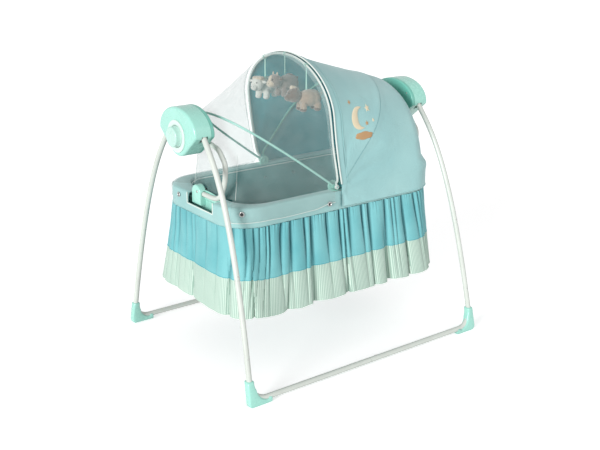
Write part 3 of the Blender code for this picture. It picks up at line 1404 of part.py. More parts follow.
def make_toy(name, bow_share, drop, loop_r, facing, finish, front_body):
    """One animal: a trunk with four legs, a head with ears, and the ribbon that loops round the front bow."""
    hang = front_bow_point(bow_share, BOW_SET_IN)
    body = axis_empty(name + "_axis", hang, front_body)
    turn = Matrix.Rotation(facing, 3, "Z")
    centre = hang + turn @ Vector((TOY_BALANCE, 0, -drop))
    half = TOY_BODY_LENGTH / 2
    tail_r = TOY_BODY_R * EGG_SHARES[1][1]
    back = turn @ Vector((half, 0, 0))
    trunk = egg(centre - back, centre + back, tail_r, TOY_BODY_R)
    space = grown(trunk, centre)
    head_place = centre + turn @ Vector((-half - TOY_HEAD_R / 2, 0, TOY_HEAD_R / 2))
    head = ball(head_place, (TOY_HEAD_R, TOY_HEAD_R, TOY_HEAD_R))
    snout_r = TOY_HEAD_R * SNOUT_SHARE
    snout_place = head_place + turn @ Vector((-TOY_HEAD_R * EAR_PLACE_SHARE, 0, -snout_r / 2))
    snout = ball(snout_place, (snout_r,) * 3, 6, 4)
    head = fuse(head, snout)
    for side in SIDES.values():
        place = TOY_HEAD_R * EAR_PLACE_SHARE
        ear_r = TOY_HEAD_R * EAR_SHARE
        ear = ball(head_place + turn @ Vector((0, side * place, place)), (ear_r,) * 3, 6, 4)
        head = fuse(head, ear)
    head = cut(head, space)
    whole = trunk
    for along in (-LEG_PLACE_SHARE, LEG_PLACE_SHARE):
        for side in SIDES.values():
            across = side * TOY_BODY_R * LEG_PLACE_SHARE
            top = centre + turn @ Vector((along * half, across, -TOY_BODY_R / 3))
            foot = top - Vector((0, 0, TOY_LEG_LENGTH))
            whole = fuse(whole, egg(top, foot, TOY_LEG_R, TOY_LEG_R, 6))
    loop_points = [hang + Vector((a, 0, b)) for a, b in circle(loop_r, LOOP_SIDES)]
    loop = bent_bar(loop_points, RIBBON_THICKNESS / 2, 0, True)
    cross = Vector((RIBBON_THICKNESS / 2, RIBBON_WIDTH / 2, 0))
    foot = Vector((hang.x, hang.y, centre.z))
    ribbon = block(foot - cross, hang + cross - Vector((0, 0, loop_r)))
    below = block(centre - Vector((half, half, half)), centre + Vector((half, half, 0)))
    ribbon = cut(fuse(ribbon, loop), space, below)
    add(name + "_trunk", smooth(whole, 60), finish, body)
    add(name + "_head", smooth(head, 60), finish, body)
    add(name + "_ribbon", ribbon, "mint", body)


# The whole crib

# Each toy's name, its place on the front bow's arch, how far it hangs down, its ribbon's loop, the way it
# faces, and its finish. The outer two loops are wider, because the bow bends there.
TOYS = (
    ("lamb", 8, 0.090, RIBBON_LOOP_R, 20, "plush_white"),
    ("calf", 6, 0.085, FLAT_LOOP_R, 5, "plush_brown"),
    ("pony", 4, 0.085, RIBBON_LOOP_R, -15, "plush_taupe"),
)


def main():
    clear_scene()
    for side_name in SIDES:
        make_frame(side_name)
    for end_name, end in ENDS.items():
        housing = "drive_housing" if end < 0 else "idler_housing"
        make_outer_shell(housing + "_shell", end, end < 0)
        make_inner_plate(housing + "_plate", end)
        make_bush(end_name + "_bush", end)
        for side_name, side in SIDES.items():
            make_leg_pin(f"{side_name}_{end_name}_leg_pin", end, side)
    make_collar()
    make_board()
    make_coil()
    make_inlet()
    make_dial(axis_empty("dial_axis", (-HOUSING_OUTER_X, 0, PIVOT_HEIGHT)))

    cradle = axis_empty("swing_axis", (0, 0, PIVOT_HEIGHT))
    for end_name, end in ENDS.items():
        make_hub(end_name + "_hub", end, cradle)
        make_hanger(end_name + "_hanger", end, cradle)
        make_socket(end_name + "_socket", end, cradle)
    make_magnet_arm(cradle)
    make_rim_tube(cradle)
    make_liner(cradle)
    make_floor_board(cradle)
    make_mattress(cradle)
    make_rim_band(cradle)
    seam = SKIRT_UPPER_DROP
    hem = SKIRT_UPPER_DROP + SKIRT_LOWER_DROP
    make_skirt("skirt_upper", (0, seam - CLOTH_GAP), (FOLD_DEPTH_TOP, FOLD_DEPTH_SEAM), "turquoise", cradle)
    make_skirt("skirt_lower", (seam, hem), (FOLD_DEPTH_SEAM, FOLD_DEPTH_HEM), "sage", cradle)
    for side_name, side in SIDES.items():
        make_hinge_base(side_name + "_hinge_base", side, cradle)
    make_end_bow(cradle)

    hinge = (BOW_AXIS_X, 0, BOW_AXIS_HEIGHT)
    rear = axis_empty("rear_bow_axis", hinge, cradle)
    front = axis_empty("front_bow_axis", hinge, rear)
    net = axis_empty("net_bow_axis", hinge, front)
    first = STACK_START_Y + STACK_STEP / 2
    make_bow("rear_bow", bow_on_hood(rear_bow_point, first + STACK_STEP), rear)
    make_bow("front_bow", bow_on_hood(front_bow_point, first + 2 * STACK_STEP), front)
    make_bow("net_bow", [net_bow_point(i / NET_COLUMNS) for i in range(NET_COLUMNS + 1)], net)
    make_hood_panel("hood_rear_panel", False, "aqua", rear)
    make_hood_panel("hood_front_panel", True, "aqua", front)
    make_net(net)
    for name, place, drop, loop_r, facing, finish in TOYS:
        bow_share = (ARCH_SIDE_STEPS + place) / ARCH_STEPS
        make_toy(name, bow_share, drop, loop_r, math.radians(facing), finish, front)


main()
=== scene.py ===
# %% [markdown]
# # A swinging bassinet crib
# A fabric basket hangs by two curved steel arms between two plastic housings, and each housing stands on
# bowed legs that fold. The basket has a gathered skirt, a folding hood with three plush toys, and a net.
# The imported CAD model gives the frame: every piece below is built in its place, in metres, and most ride on
# one of the CAD's bodies, so that they swing and fold as the model does. The hood's cloths and the sheets
# just inside them, the patches on the hood and the net with its hem cords are baked in place on no body.

# %% Load the frame
import json
import math
import random

import bmesh
import bpy
from mathutils import Matrix, Vector, noise
from mathutils.bvhtree import BVHTree

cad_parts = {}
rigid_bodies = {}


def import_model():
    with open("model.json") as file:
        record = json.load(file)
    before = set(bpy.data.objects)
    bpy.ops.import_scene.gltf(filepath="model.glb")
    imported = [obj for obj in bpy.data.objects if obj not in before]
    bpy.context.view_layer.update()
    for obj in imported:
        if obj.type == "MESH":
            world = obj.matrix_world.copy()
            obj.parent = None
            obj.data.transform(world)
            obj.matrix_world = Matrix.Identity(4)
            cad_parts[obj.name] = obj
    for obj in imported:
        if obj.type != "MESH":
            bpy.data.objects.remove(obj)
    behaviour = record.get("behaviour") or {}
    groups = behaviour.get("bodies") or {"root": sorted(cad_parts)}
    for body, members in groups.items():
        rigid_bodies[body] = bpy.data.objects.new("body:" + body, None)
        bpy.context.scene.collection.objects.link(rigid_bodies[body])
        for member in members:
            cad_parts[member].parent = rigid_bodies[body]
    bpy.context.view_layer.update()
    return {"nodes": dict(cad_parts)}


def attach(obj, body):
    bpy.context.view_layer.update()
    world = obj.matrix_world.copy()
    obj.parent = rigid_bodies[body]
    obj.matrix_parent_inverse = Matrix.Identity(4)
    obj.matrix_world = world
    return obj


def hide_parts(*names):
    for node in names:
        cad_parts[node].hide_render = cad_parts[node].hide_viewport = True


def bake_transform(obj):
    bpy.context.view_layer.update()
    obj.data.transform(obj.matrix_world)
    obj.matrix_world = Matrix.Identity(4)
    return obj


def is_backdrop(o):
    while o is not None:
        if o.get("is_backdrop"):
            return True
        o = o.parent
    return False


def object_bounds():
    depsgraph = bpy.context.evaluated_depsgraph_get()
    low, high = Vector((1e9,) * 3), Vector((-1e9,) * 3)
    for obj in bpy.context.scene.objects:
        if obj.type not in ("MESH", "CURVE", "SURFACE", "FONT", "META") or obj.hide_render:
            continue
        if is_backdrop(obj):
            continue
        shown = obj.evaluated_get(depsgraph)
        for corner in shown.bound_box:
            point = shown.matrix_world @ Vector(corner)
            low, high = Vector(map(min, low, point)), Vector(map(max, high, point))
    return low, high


for leftover in list(bpy.data.objects):
    bpy.data.objects.remove(leftover, do_unlink=True)
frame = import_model()
nodes = frame["nodes"]
scene = bpy.context.scene

# %% [markdown]
# ## Camera
# The photograph was taken from the near left corner, a little above the rim, with a long lens. Blender's
# camera looks down its own -Z axis, so its tilt is 90 degrees less the height angle, and its turn about
# the world's Z is the azimuth. The place and the lens come from fitting known points of the stand.

# %% The camera
CAMERA_PLACE = Vector((-1.956, -2.643, 1.515))
CAMERA_AZIMUTH = math.radians(-36.434)
CAMERA_HEIGHT_ANGLE = math.radians(18.62)
CAMERA_LENS = 56.16

camera = bpy.data.objects.new("camera", bpy.data.cameras.new("camera"))
scene.collection.objects.link(camera)
camera.location = CAMERA_PLACE
camera.rotation_euler = (math.pi / 2 - CAMERA_HEIGHT_ANGLE, 0, CAMERA_AZIMUTH)
camera.data.lens = CAMERA_LENS
scene.camera = camera
print("camera", tuple(camera.location), "lens", CAMERA_LENS)

# %% [markdown]
# ## Studio light
# The photograph has a broad light from the left, a softer one from the front, and a white surround. Sun
# lamps with a wide angle give soft shadows and light the whole floor evenly. The world adds the rest. A
# ray that goes straight to the camera, a mirror or through glass sees white, but the object is lit by a
# dimmer grey, so its colours render about as they are written.

# %% Lamps and world
LAMPS = {
    "key": (Vector((-0.92, -0.36, 0.24)), 2.9, 20),
    "front": (Vector((0.30, -0.92, 0.25)), 0.65, 60),
}
WORLD_LEVEL = 0.54


def sun(name, towards, strength, spread):
    """A sun lamp that shines from a direction."""
    lamp = bpy.data.lights.new(name, "SUN")
    lamp.energy = strength
    lamp.angle = math.radians(spread)
    item = bpy.data.objects.new(name, lamp)
    item.rotation_euler = towards.to_track_quat("Z", "Y").to_euler()
    scene.collection.objects.link(item)


for lamp_name, (towards, strength, spread) in LAMPS.items():
    sun(lamp_name, towards, strength, spread)


def seen_directly(tree):
    """A node output that is 1 for camera, glossy and transmission rays."""
    path = tree.nodes.new("ShaderNodeLightPath")
    first = tree.nodes.new("ShaderNodeMath")
    first.operation = "MAXIMUM"
    tree.links.new(path.outputs["Is Camera Ray"], first.inputs[0])
    tree.links.new(path.outputs["Is Glossy Ray"], first.inputs[1])
    second = tree.nodes.new("ShaderNodeMath")
    second.operation = "MAXIMUM"
    tree.links.new(first.outputs[0], second.inputs[0])
    tree.links.new(path.outputs["Is Transmission Ray"], second.inputs[1])
    return second.outputs[0]


world = bpy.data.worlds.new("studio")
scene.world = world
world.use_nodes = True
tree = world.node_tree
dim = tree.nodes["Background"]
dim.inputs["Color"].default_value = (1, 1, 1, 1)
dim.inputs["Strength"].default_value = WORLD_LEVEL
white = tree.nodes.new("ShaderNodeBackground")
white.inputs["Strength"].default_value = 1
blend_node = tree.nodes.new("ShaderNodeMixShader")
tree.links.new(seen_directly(tree), blend_node.inputs[0])
tree.links.new(dim.outputs[0], blend_node.inputs[1])
tree.links.new(white.outputs[0], blend_node.inputs[2])
tree.links.new(blend_node.outputs[0], tree.nodes["World Output"].inputs["Surface"])
scene.view_settings.view_transform = "Standard"
print("world level", WORLD_LEVEL)

# %% [markdown]
# ## Floor
# The floor is a plain pale sheet that keeps the crib's shadow. A little glow, which only the camera sees,
# lifts it to the white of the photograph without putting more light on the crib.

# %% The floor
FLOOR_HALF = 30
FLOOR_GLOW = 0.47

floor_mesh = bpy.data.meshes.new("floor")
floor_corners = [(-FLOOR_HALF, -FLOOR_HALF, 0), (FLOOR_HALF, -FLOOR_HALF, 0)]
floor_corners += [(FLOOR_HALF, FLOOR_HALF, 0), (-FLOOR_HALF, FLOOR_HALF, 0)]
floor_mesh.from_pydata(floor_corners, [], [(0, 1, 2, 3)])
floor = bpy.data.objects.new("floor", floor_mesh)
scene.collection.objects.link(floor)
floor_paint = bpy.data.materials.new("floor_paint")
floor_paint.use_nodes = True
tree = floor_paint.node_tree
tree.nodes["Principled BSDF"].inputs["Base Color"].default_value = (0.86, 0.86, 0.86, 1)
tree.nodes["Principled BSDF"].inputs["Roughness"].default_value = 0.9
glow = tree.nodes.new("ShaderNodeEmission")
glow.inputs["Strength"].default_value = FLOOR_GLOW
clear = tree.nodes.new("ShaderNodeEmission")
clear.inputs["Strength"].default_value = 0
choose = tree.nodes.new("ShaderNodeMixShader")
total = tree.nodes.new("ShaderNodeAddShader")
tree.links.new(seen_directly(tree), choose.inputs[0])
tree.links.new(clear.outputs[0], choose.inputs[1])
tree.links.new(glow.outputs[0], choose.inputs[2])
tree.links.new(tree.nodes["Principled BSDF"].outputs[0], total.inputs[0])
tree.links.new(choose.outputs[0], total.inputs[1])
tree.links.new(total.outputs[0], tree.nodes["Material Output"].inputs["Surface"])
floor_mesh.materials.append(floor_paint)
floor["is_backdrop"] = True
print("floor", 2 * FLOOR_HALF, "m wide")

# %% [markdown]
# ## Finishes for hard parts
# Moulded plastic isn't one flat colour: it varies a little where it flowed and cooled, and its gloss breaks
# up on a skin that is never quite flat. Each finish starts from the Principled shader. A slow noise mixes
# two close colours, and a fine one drives a shallow bump. Numbers that are the same all over go straight
# on the shader's sockets.

# %% A helper for finishes
def linear(red, green, blue):
    """An sRGB colour, as read off a picture from 0 to 255, as the linear colour that Blender wants."""
    made = []
    for value in (red, green, blue):
        share = value / 255
        made.append(share / 12.92 if share <= 0.04045 else ((share + 0.055) / 1.055) ** 2.4)
    return (*made, 1)


def finish(name, **sockets):
    """A new material, with plain values set on its Principled sockets."""
    material = bpy.data.materials.new(name)
    material.use_nodes = True
    shader = material.node_tree.nodes["Principled BSDF"]
    for socket, value in sockets.items():
        shader.inputs[socket.replace("_", " ")].default_value = value
    return material


def coordinates(material, attribute=None):
    """Where a texture reads its place: the object's own space, or an attribute of the mesh."""
    tree = material.node_tree
    if attribute:
        source = tree.nodes.new("ShaderNodeAttribute")
        source.attribute_name = attribute
        return source.outputs["Vector"]
    return tree.nodes.new("ShaderNodeTexCoord").outputs["Object"]


def noise_value(material, place, scale, detail=3):
    tree = material.node_tree
    texture = tree.nodes.new("ShaderNodeTexNoise")
    texture.inputs["Scale"].default_value = scale
    texture.inputs["Detail"].default_value = detail
    tree.links.new(place, texture.inputs["Vector"])
    return texture.outputs["Fac"]


def mix_colours(material, amount, first, second):
    """Mixes two colours by a node's value. Each colour is a value or a node's output."""
    tree = material.node_tree
    node = tree.nodes.new("ShaderNodeMix")
    node.data_type = "RGBA"
    tree.links.new(amount, node.inputs["Factor"])
    for socket, colour in zip((node.inputs[6], node.inputs[7]), (first, second)):
        if hasattr(colour, "links"):
            tree.links.new(colour, socket)
        else:
            socket.default_value = colour
    return node.outputs[2]


def to_shader(material, output, socket):
    material.node_tree.links.new(output, material.node_tree.nodes["Principled BSDF"].inputs[socket])


def stretch(material, value, low, high, new_low=0, new_high=1):
    """Maps a value from one range to another, held inside it."""
    node = material.node_tree.nodes.new("ShaderNodeMapRange")
    material.node_tree.links.new(value, node.inputs["Value"])
    for socket, number in zip(("From Min", "From Max", "To Min", "To Max"), (low, high, new_low, new_high)):
        node.inputs[socket].default_value = number
    return node.outputs["Result"]


def bump(material, heights):
    """Adds bumps. Each has a height output and the depth in metres of a height of 1."""
    tree = material.node_tree
    last = None
    for height, depth in heights:
        node = tree.nodes.new("ShaderNodeBump")
        node.inputs["Distance"].default_value = depth
        tree.links.new(height, node.inputs["Height"])
        if last:
            tree.links.new(last, node.inputs["Normal"])
        last = node.outputs["Normal"]
    to_shader(material, last, "Normal")


print("finish helpers ready")

# %% [markdown]
# ## Mint plastic, ivory plastic and white paint
# The housings, shoes, hubs and sockets are one glossy mint plastic. The inner plates, their bearings and the
# rear bow take a darker copy of it, which paints the shade that falls on them. The dial is a paler mint, and
# the ring round it paler still. The tubes are steel with an off-white powder coat, which has a faint orange
# peel and a soft gloss.

# %% Plastic and paint
def plastic(name, colour, roughness, coat=0.25):
    material = finish(name, Roughness=roughness, Coat_Weight=coat, Coat_Roughness=0.12,
                      Specular_IOR_Level=0.5)
    place = coordinates(material)
    darker = tuple(value * 0.90 for value in colour[:3]) + (1,)
    flow = stretch(material, noise_value(material, place, 9), 0.3, 0.7)
    to_shader(material, mix_colours(material, flow, colour, darker), "Base Color")
    gloss = noise_value(material, place, 55, 4)
    to_shader(material, stretch(material, gloss, 0.3, 0.7, roughness * 0.85, roughness * 1.2), "Roughness")
    flow_marks = (noise_value(material, place, 22, 1), 0.00012)
    grain = (noise_value(material, place, 900, 2), 0.00002)
    bump(material, [flow_marks, grain])
    return material


def powder_coat(name, colour):
    material = finish(name, Roughness=0.38, Coat_Weight=0.15, Coat_Roughness=0.2, Specular_IOR_Level=0.5)
    place = coordinates(material)
    darker = tuple(value * 0.93 for value in colour[:3]) + (1,)
    tone = stretch(material, noise_value(material, place, 14), 0.35, 0.65)
    to_shader(material, mix_colours(material, tone, colour, darker), "Base Color")
    bump(material, [(noise_value(material, place, 650, 2), 0.00006)])
    return material


MINT = plastic("mint_plastic", linear(158, 216, 202), 0.26)
# A darker copy of the mint, which paints shade on the parts that face into the crib.
SHADED_MINT = plastic("mint_plastic_painted_shade", linear(112, 186, 170), 0.33)
DIAL_MINT = plastic("dial_mint_plastic", linear(184, 222, 211), 0.26)
IVORY = plastic("ivory_plastic", linear(212, 232, 223), 0.30)
NYLON = plastic("nylon", linear(224, 224, 214), 0.45, coat=0)
BLACK = plastic("black_plastic", linear(34, 34, 36), 0.40, coat=0)
WHITE_TUBE = powder_coat("white_tube", linear(202, 208, 201))
print("finishes", [item.name for item in (MINT, SHADED_MINT, DIAL_MINT, IVORY, NYLON, BLACK, WHITE_TUBE)])

# %% [markdown]
# ## Metal and board
# Screws, pins and snap caps are bright steel. Turned metal has fine rings, which a noise squeezed along one
# axis gives. The coil is copper wire, and the control board a green laminate with pale tracks.

# %% Metals and the board
def metal(name, colour, roughness, grain_scale=(40, 900, 900)):
    material = finish(name, Metallic=1, Roughness=roughness)
    tree = material.node_tree
    mapping = tree.nodes.new("ShaderNodeMapping")
    mapping.inputs["Scale"].default_value = grain_scale
    tree.links.new(coordinates(material), mapping.inputs["Vector"])
    grain = noise_value(material, mapping.outputs["Vector"], 1, 2)
    darker = tuple(value * 0.8 for value in colour[:3]) + (1,)
    to_shader(material, mix_colours(material, grain, colour, darker), "Base Color")
    to_shader(material, stretch(material, grain, 0.3, 0.7, roughness * 0.8, roughness * 1.3), "Roughness")
    bump(material, [(grain, 0.00002)])
    return material


STEEL = metal("turned_steel", linear(196, 196, 194), 0.25)
COPPER = metal("copper_wire", linear(204, 128, 84), 0.30, (1500, 20, 20))
BOARD = finish("circuit_board", Roughness=0.45)
board_tracks = stretch(BOARD, noise_value(BOARD, coordinates(BOARD), 260, 0), 0.50, 0.52)
board_colours = mix_colours(BOARD, board_tracks, linear(30, 98, 62), linear(66, 140, 96))
to_shader(BOARD, board_colours, "Base Color")
BIRCH = finish("birch_board", Roughness=0.6)
birch_map = BIRCH.node_tree.nodes.new("ShaderNodeMapping")
birch_map.inputs["Scale"].default_value = (6, 90, 90)
BIRCH.node_tree.links.new(coordinates(BIRCH), birch_map.inputs["Vector"])
birch_grain = noise_value(BIRCH, birch_map.outputs["Vector"], 1, 5)
to_shader(BIRCH, mix_colours(BIRCH, birch_grain, linear(226, 200, 158), linear(188, 152, 104)), "Base Color")
bump(BIRCH, [(birch_grain, 0.0002)])
print("metals, board and birch ready")

# %% [markdown]
# ## Mesh helpers
# Most hard parts here are one of three forms: a loft through rings, a sweep of a circle along a path, or a
# lathe turning. Each helper returns a bmesh, and one function turns it into a smooth-shaded object that
# rides on a CAD body and stands in for the plainer CAD node.

# %% Loft, sweep, lathe
ROUND = 2 * math.pi
QUARTER = math.pi / 2
ENDS = {"drive": -1, "head": 1}
SIDES = {"near": -1, "far": 1}


def wobble(x, y, z):
    """A smooth noise, from about -1 to 1, at a place."""
    return noise.noise(Vector((x, y, z)))


def skin(bm, grid, closed):
    """Joins rows of vertices by faces. With closed, each row is a loop."""
    for low, high in zip(grid, grid[1:]):
        count = len(low)
        for i in range(count if closed else count - 1):
            j = (i + 1) % count
            bm.faces.new((low[i], low[j], high[j], high[i]))


def loft(rings, into=None):
    """A solid through a row of rings that have the same number of points."""
    bm = into or bmesh.new()
    grid = [[bm.verts.new(point) for point in ring] for ring in rings]
    skin(bm, grid, True)
    bm.faces.new(grid[0][::-1])
    bm.faces.new(grid[-1])
    return bm


def smooth_path(points, steps):
    """A Catmull-Rom curve through the given points."""
    points = [Vector(point) for point in points]
    row = [2 * points[0] - points[1]] + points + [2 * points[-1] - points[-2]]
    made = []
    for a, b, c, d in zip(row, row[1:], row[2:], row[3:]):
        for i in range(steps):
            t = i / steps
            square = (2 * a - 5 * b + 4 * c - d) * t**2
            cube = (3 * b - a - 3 * c + d) * t**3
            made.append((2 * b + (c - a) * t + square + cube) / 2)
    return made + [points[-1]]


def directions(points):
    """The direction of a path at each point, and two cross directions carried along it without twist."""
    found = []
    side = None
    for before, after in zip(points[:1] + points, points[1:] + points[-1:]):
        along = (after - before).normalized()
        if side is None:
            side = along.orthogonal().normalized()
        side = (side - along * side.dot(along)).normalized()
        found.append((along, side, along.cross(side)))
    return found


def sweep(points, radius, sides=20, dome=1.0, into=None):
    """A round bar along a path. radius is a number, or one for each point. dome rounds the two ends off."""
    radii = radius if hasattr(radius, "__len__") else [radius] * len(points)
    stations = list(zip(points, radii))
    along = directions(points)
    crosses = [(side, up) for _, side, up in along]
    if dome:
        caps = []
        for index, sign in ((0, -1), (-1, 1)):
            centre, size = stations[index]
            rows = []
            for k in (1, 2, 3):
                a = QUARTER * k / 3.2
                rows.append((centre + along[index][0] * sign * size * dome * math.sin(a), size * math.cos(a)))
            caps.append(rows)
        stations = caps[0][::-1] + stations + caps[1]
        crosses = [crosses[0]] * 3 + crosses + [crosses[-1]] * 3
    rings = []
    for (centre, size), (side, up) in zip(stations, crosses):
        rings.append([centre + (side * math.cos(ROUND * k / sides) + up * math.sin(ROUND * k / sides)) * size
                      for k in range(sides)])
    return loft(rings, into=into)


def lathe(profile, origin, axis, steps=48, into=None):
    """Turns a profile of (along, radius) pairs about an axis through an origin."""
    origin, axis = Vector(origin), Vector(axis).normalized()
    side = axis.orthogonal().normalized()
    up = axis.cross(side)
    rings = []
    for along, radius in profile:
        ring = []
        for k in range(steps):
            a = ROUND * k / steps
            ring.append(origin + axis * along + (side * math.cos(a) + up * math.sin(a)) * max(radius, 1e-5))
        rings.append(ring)
    return loft(rings, into=into)


def corner_arc(along, radius, size, start, stop, steps=5):
    """Points of a fillet in a lathe profile: a quarter circle about (along, radius), by angle in quarters."""
    points = []
    for k in range(steps + 1):
        a = QUARTER * (start + (stop - start) * k / steps)
        points.append((along + size * math.cos(a), radius + size * math.sin(a)))
    return points


def piece(name, bm, material, body, replaces=(), sharp=40):
    """Makes an object of a bmesh, which rides on a body and may stand for CAD nodes."""
    bmesh.ops.recalc_face_normals(bm, faces=bm.faces)
    mesh = bpy.data.meshes.new(name)
    bm.to_mesh(mesh)
    bm.free()
    item = bpy.data.objects.new(name, mesh)
    scene.collection.objects.link(item)
    mesh.shade_smooth()
    mesh.set_sharp_from_angle(angle=math.radians(sharp))
    mesh.materials.append(material)
    if body:
        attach(item, body)
    if replaces:
        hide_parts(*replaces)
    return item


def settled(item):
    """Applies the object's modifiers to its mesh."""
    graph = bpy.context.evaluated_depsgraph_get()
    made = bpy.data.meshes.new_from_object(item.evaluated_get(graph))
    item.modifiers.clear()
    item.data = made
    return item


def carve(item, cutters):
    """Cuts objects out of an object, and removes them."""
    for cutter in cutters:
        step = item.modifiers.new("cut", "BOOLEAN")
        step.operation = "DIFFERENCE"
        step.solver = "EXACT"
        step.object = cutter
    settled(item)
    for cutter in cutters:
        bpy.data.objects.remove(cutter, do_unlink=True)
    item.data.shade_smooth()
    item.data.set_sharp_from_angle(angle=math.radians(35))
    return item


print("mesh helpers ready")

# %% [markdown]
# ## Legs and rails
# Each side of the stand is one U of 19 mm steel tube: two bowed legs that turn into a rail on the floor.
# Each leg is two tubes, joined at 0.40 m, and the rail halves join in the middle, so a joint shows as a fine
# dark line. A Bezier curve gives the bow of the leg, and a round bend ties it to the rail.

# %% The leg's curve
TUBE_R = 0.0095
STANCE = 0.407
SPREAD_FLOOR = 0.500
SPREAD_TOP = 0.466
PIN_HEIGHT = 0.848
PIN_SETBACK = 0.088
RAIL_HEIGHT = 0.0185
FLOOR_HANDLE = 0.685
TOP_HANDLE = 0.120
FLOOR_ANGLE = math.radians(11.1)
TOP_ANGLE = math.radians(36)
BEND_R = 0.060
JOINT_HEIGHT = 0.405


def leg_plane(height):
    """How far the plane of a pair of legs stands from the middle, at a height."""
    return SPREAD_FLOOR + (SPREAD_TOP - SPREAD_FLOOR) * (height - RAIL_HEIGHT) / (PIN_HEIGHT - RAIL_HEIGHT)


def leg_point(t, end, side):
    """The leg's centre line, from the floor corner at 0 to its hinge pin at 1."""
    start, stop = Vector((STANCE, RAIL_HEIGHT)), Vector((PIN_SETBACK, PIN_HEIGHT))
    lower = start + FLOOR_HANDLE * Vector((-math.sin(FLOOR_ANGLE), math.cos(FLOOR_ANGLE)))
    upper = stop - TOP_HANDLE * Vector((-math.sin(TOP_ANGLE), math.cos(TOP_ANGLE)))
    u = 1 - t
    flat = start * u**3 + lower * 3 * u * u * t + upper * 3 * u * t * t + stop * t**3
    return Vector((end * leg_plane(flat.y), side * flat.x, flat.y))


def bend_points(end, side, steps=14):
    """The bend from the leg into the rail, from the leg down."""
    corner = leg_point(0, end, side)
    up = (leg_point(0.01, end, side) - corner).normalized()
    along = Vector((-end, 0, 0))
    setback = BEND_R / math.tan(up.angle(along) / 2)
    centre = corner + (up + along).normalized() * BEND_R / math.sin(up.angle(along) / 2)
    first, last = corner + up * setback - centre, corner + along * setback - centre
    turn = first.angle(last)
    points = []
    for i in range(steps + 1):
        k = i / steps
        reach = first * math.sin((1 - k) * turn) + last * math.sin(k * turn)
        points.append(centre + reach / math.sin(turn))
    return points


def leg_run(low, high, end, side, steps=26):
    """Points of the leg between two heights, from the top down."""
    points = [leg_point(i / 400, end, side) for i in range(401)]
    chosen = [point for point in points if low <= point.z <= high][::-1]
    return chosen[::max(1, len(chosen) // steps)] + [chosen[-1]]


print("leg top at", [round(c, 3) for c in leg_point(1, 1, 1)])

# %% [markdown]
# ## Building the tubes
# A tube that is cut off square has a small chamfer at its end. The sweep gets a few extra stations there,
# where the radius shrinks by a fraction of a millimetre, and the eye reads the two tubes and their joint.
# The snap button that locks the rail halves and the rivets of the legs are tiny lathed domes.

# %% Tubes of the stand
CHAMFER = 0.0006


def with_edges(points, radius):
    """A path with a chamfered station at each end, and the radii to go with it."""
    first = points[0] + (points[1] - points[0]).normalized() * CHAMFER
    last = points[-1] + (points[-2] - points[-1]).normalized() * CHAMFER
    path = [points[0], first] + points[1:-1] + [last, points[-1]]
    return path, [radius - CHAMFER] + [radius] * (len(path) - 2) + [radius - CHAMFER]


for side_name, side in SIDES.items():
    for end_name, end in ENDS.items():
        body = side_name + "_frame"
        upper = leg_run(JOINT_HEIGHT + CHAMFER, PIN_HEIGHT, end, side)
        path, radii = with_edges(upper, TUBE_R)
        leg_node = f"{side_name}_{end_name}_leg"
        piece(leg_node + "_tube", sweep(path, radii, 28, dome=0), WHITE_TUBE, body, [leg_node])
        bend = bend_points(end, side)
        lower = leg_run(bend[0].z + TUBE_R, JOINT_HEIGHT - CHAMFER, end, side) + bend
        lower.append(Vector((end * CHAMFER, bend[-1].y, bend[-1].z)))
        path, radii = with_edges(lower, TUBE_R)
        tube_node = f"{side_name}_{end_name}_corner_tube"
        tube_bm = sweep(path, radii, 28, dome=0)
        neck = leg_run(JOINT_HEIGHT - 0.004, JOINT_HEIGHT + 0.004, end, side)
        sweep(neck, TUBE_R - 0.0012, 20, into=tube_bm)
        piece(tube_node + "_tube", tube_bm, WHITE_TUBE, body, [tube_node])

BUTTON_R = 0.0034
BUTTON_X = 0.024
RIVET = (0.0030, 0.0014, 0.0004)
LOW_RIVET = 0.075


def dome_profile(radius, height, skirt=0.0):
    """A button's profile: a short skirt and a rounded cap."""
    points = [(-0.001, radius), (skirt, radius)]
    for k in range(1, 7):
        a = QUARTER * k / 6
        points.append((skirt + height * math.sin(a), radius * math.cos(a)))
    return points


for side_name, side in SIDES.items():
    rail_y = bend_points(1, side)[-1].y
    button_place = (BUTTON_X, rail_y, RAIL_HEIGHT + TUBE_R)
    bm = lathe(dome_profile(BUTTON_R, 0.0022, 0.0006), button_place, (0, 0, 1), 24)
    out = Vector((0, side, 0))
    for end in ENDS.values():
        low = leg_point(LOW_RIVET, end, side)
        high = leg_run(JOINT_HEIGHT + 0.012, JOINT_HEIGHT + 0.016, end, side)[0]
        for place in (low, high):
            lathe(dome_profile(*RIVET), place + out * TUBE_R, out, 20, into=bm)
    piece(side_name + "_rail_buttons", bm, STEEL, side_name + "_frame")

# %% [markdown]
# ## Shoes
# A moulded shoe wraps the outside of each floor corner: tall at the leg, low at the toe, with a flat sole. It
# is lofted from the toe, along the bend of the tube and up the leg, through rounded rectangles. The inner
# edge of each follows the tube, and the outer edge follows the floor and the corner. The toe and the top
# close with a few smaller rectangles, which round them off.

# %% The shoes
SHOE_LENGTH = 0.088
SHOE_TOP = 0.085
SHOE_HALF_WIDTH = 0.0135
SHOE_FILLET = 0.0065
SHOE_WALL = 0.0035
SHOE_COVER = 0.0030
HEEL_R = 0.012
TOE_CAP = 0.006
TOE_SHARE = 0.45
TOP_CAP = 0.0020
TOP_SHARE = 0.86


def inset(outline, amount):
    """Moves each point of a closed outline inwards along its mean normal."""
    made = []
    count = len(outline)
    area = sum(a[0] * b[1] - b[0] * a[1] for a, b in zip(outline, outline[1:] + outline[:1]))
    turn = 1 if area > 0 else -1
    for i, point in enumerate(outline):
        before, after = outline[i - 1], outline[(i + 1) % count]
        along = (Vector(after) - Vector(before)).normalized()
        made.append((point[0] - turn * along.y * amount, point[1] + turn * along.x * amount))
    return made


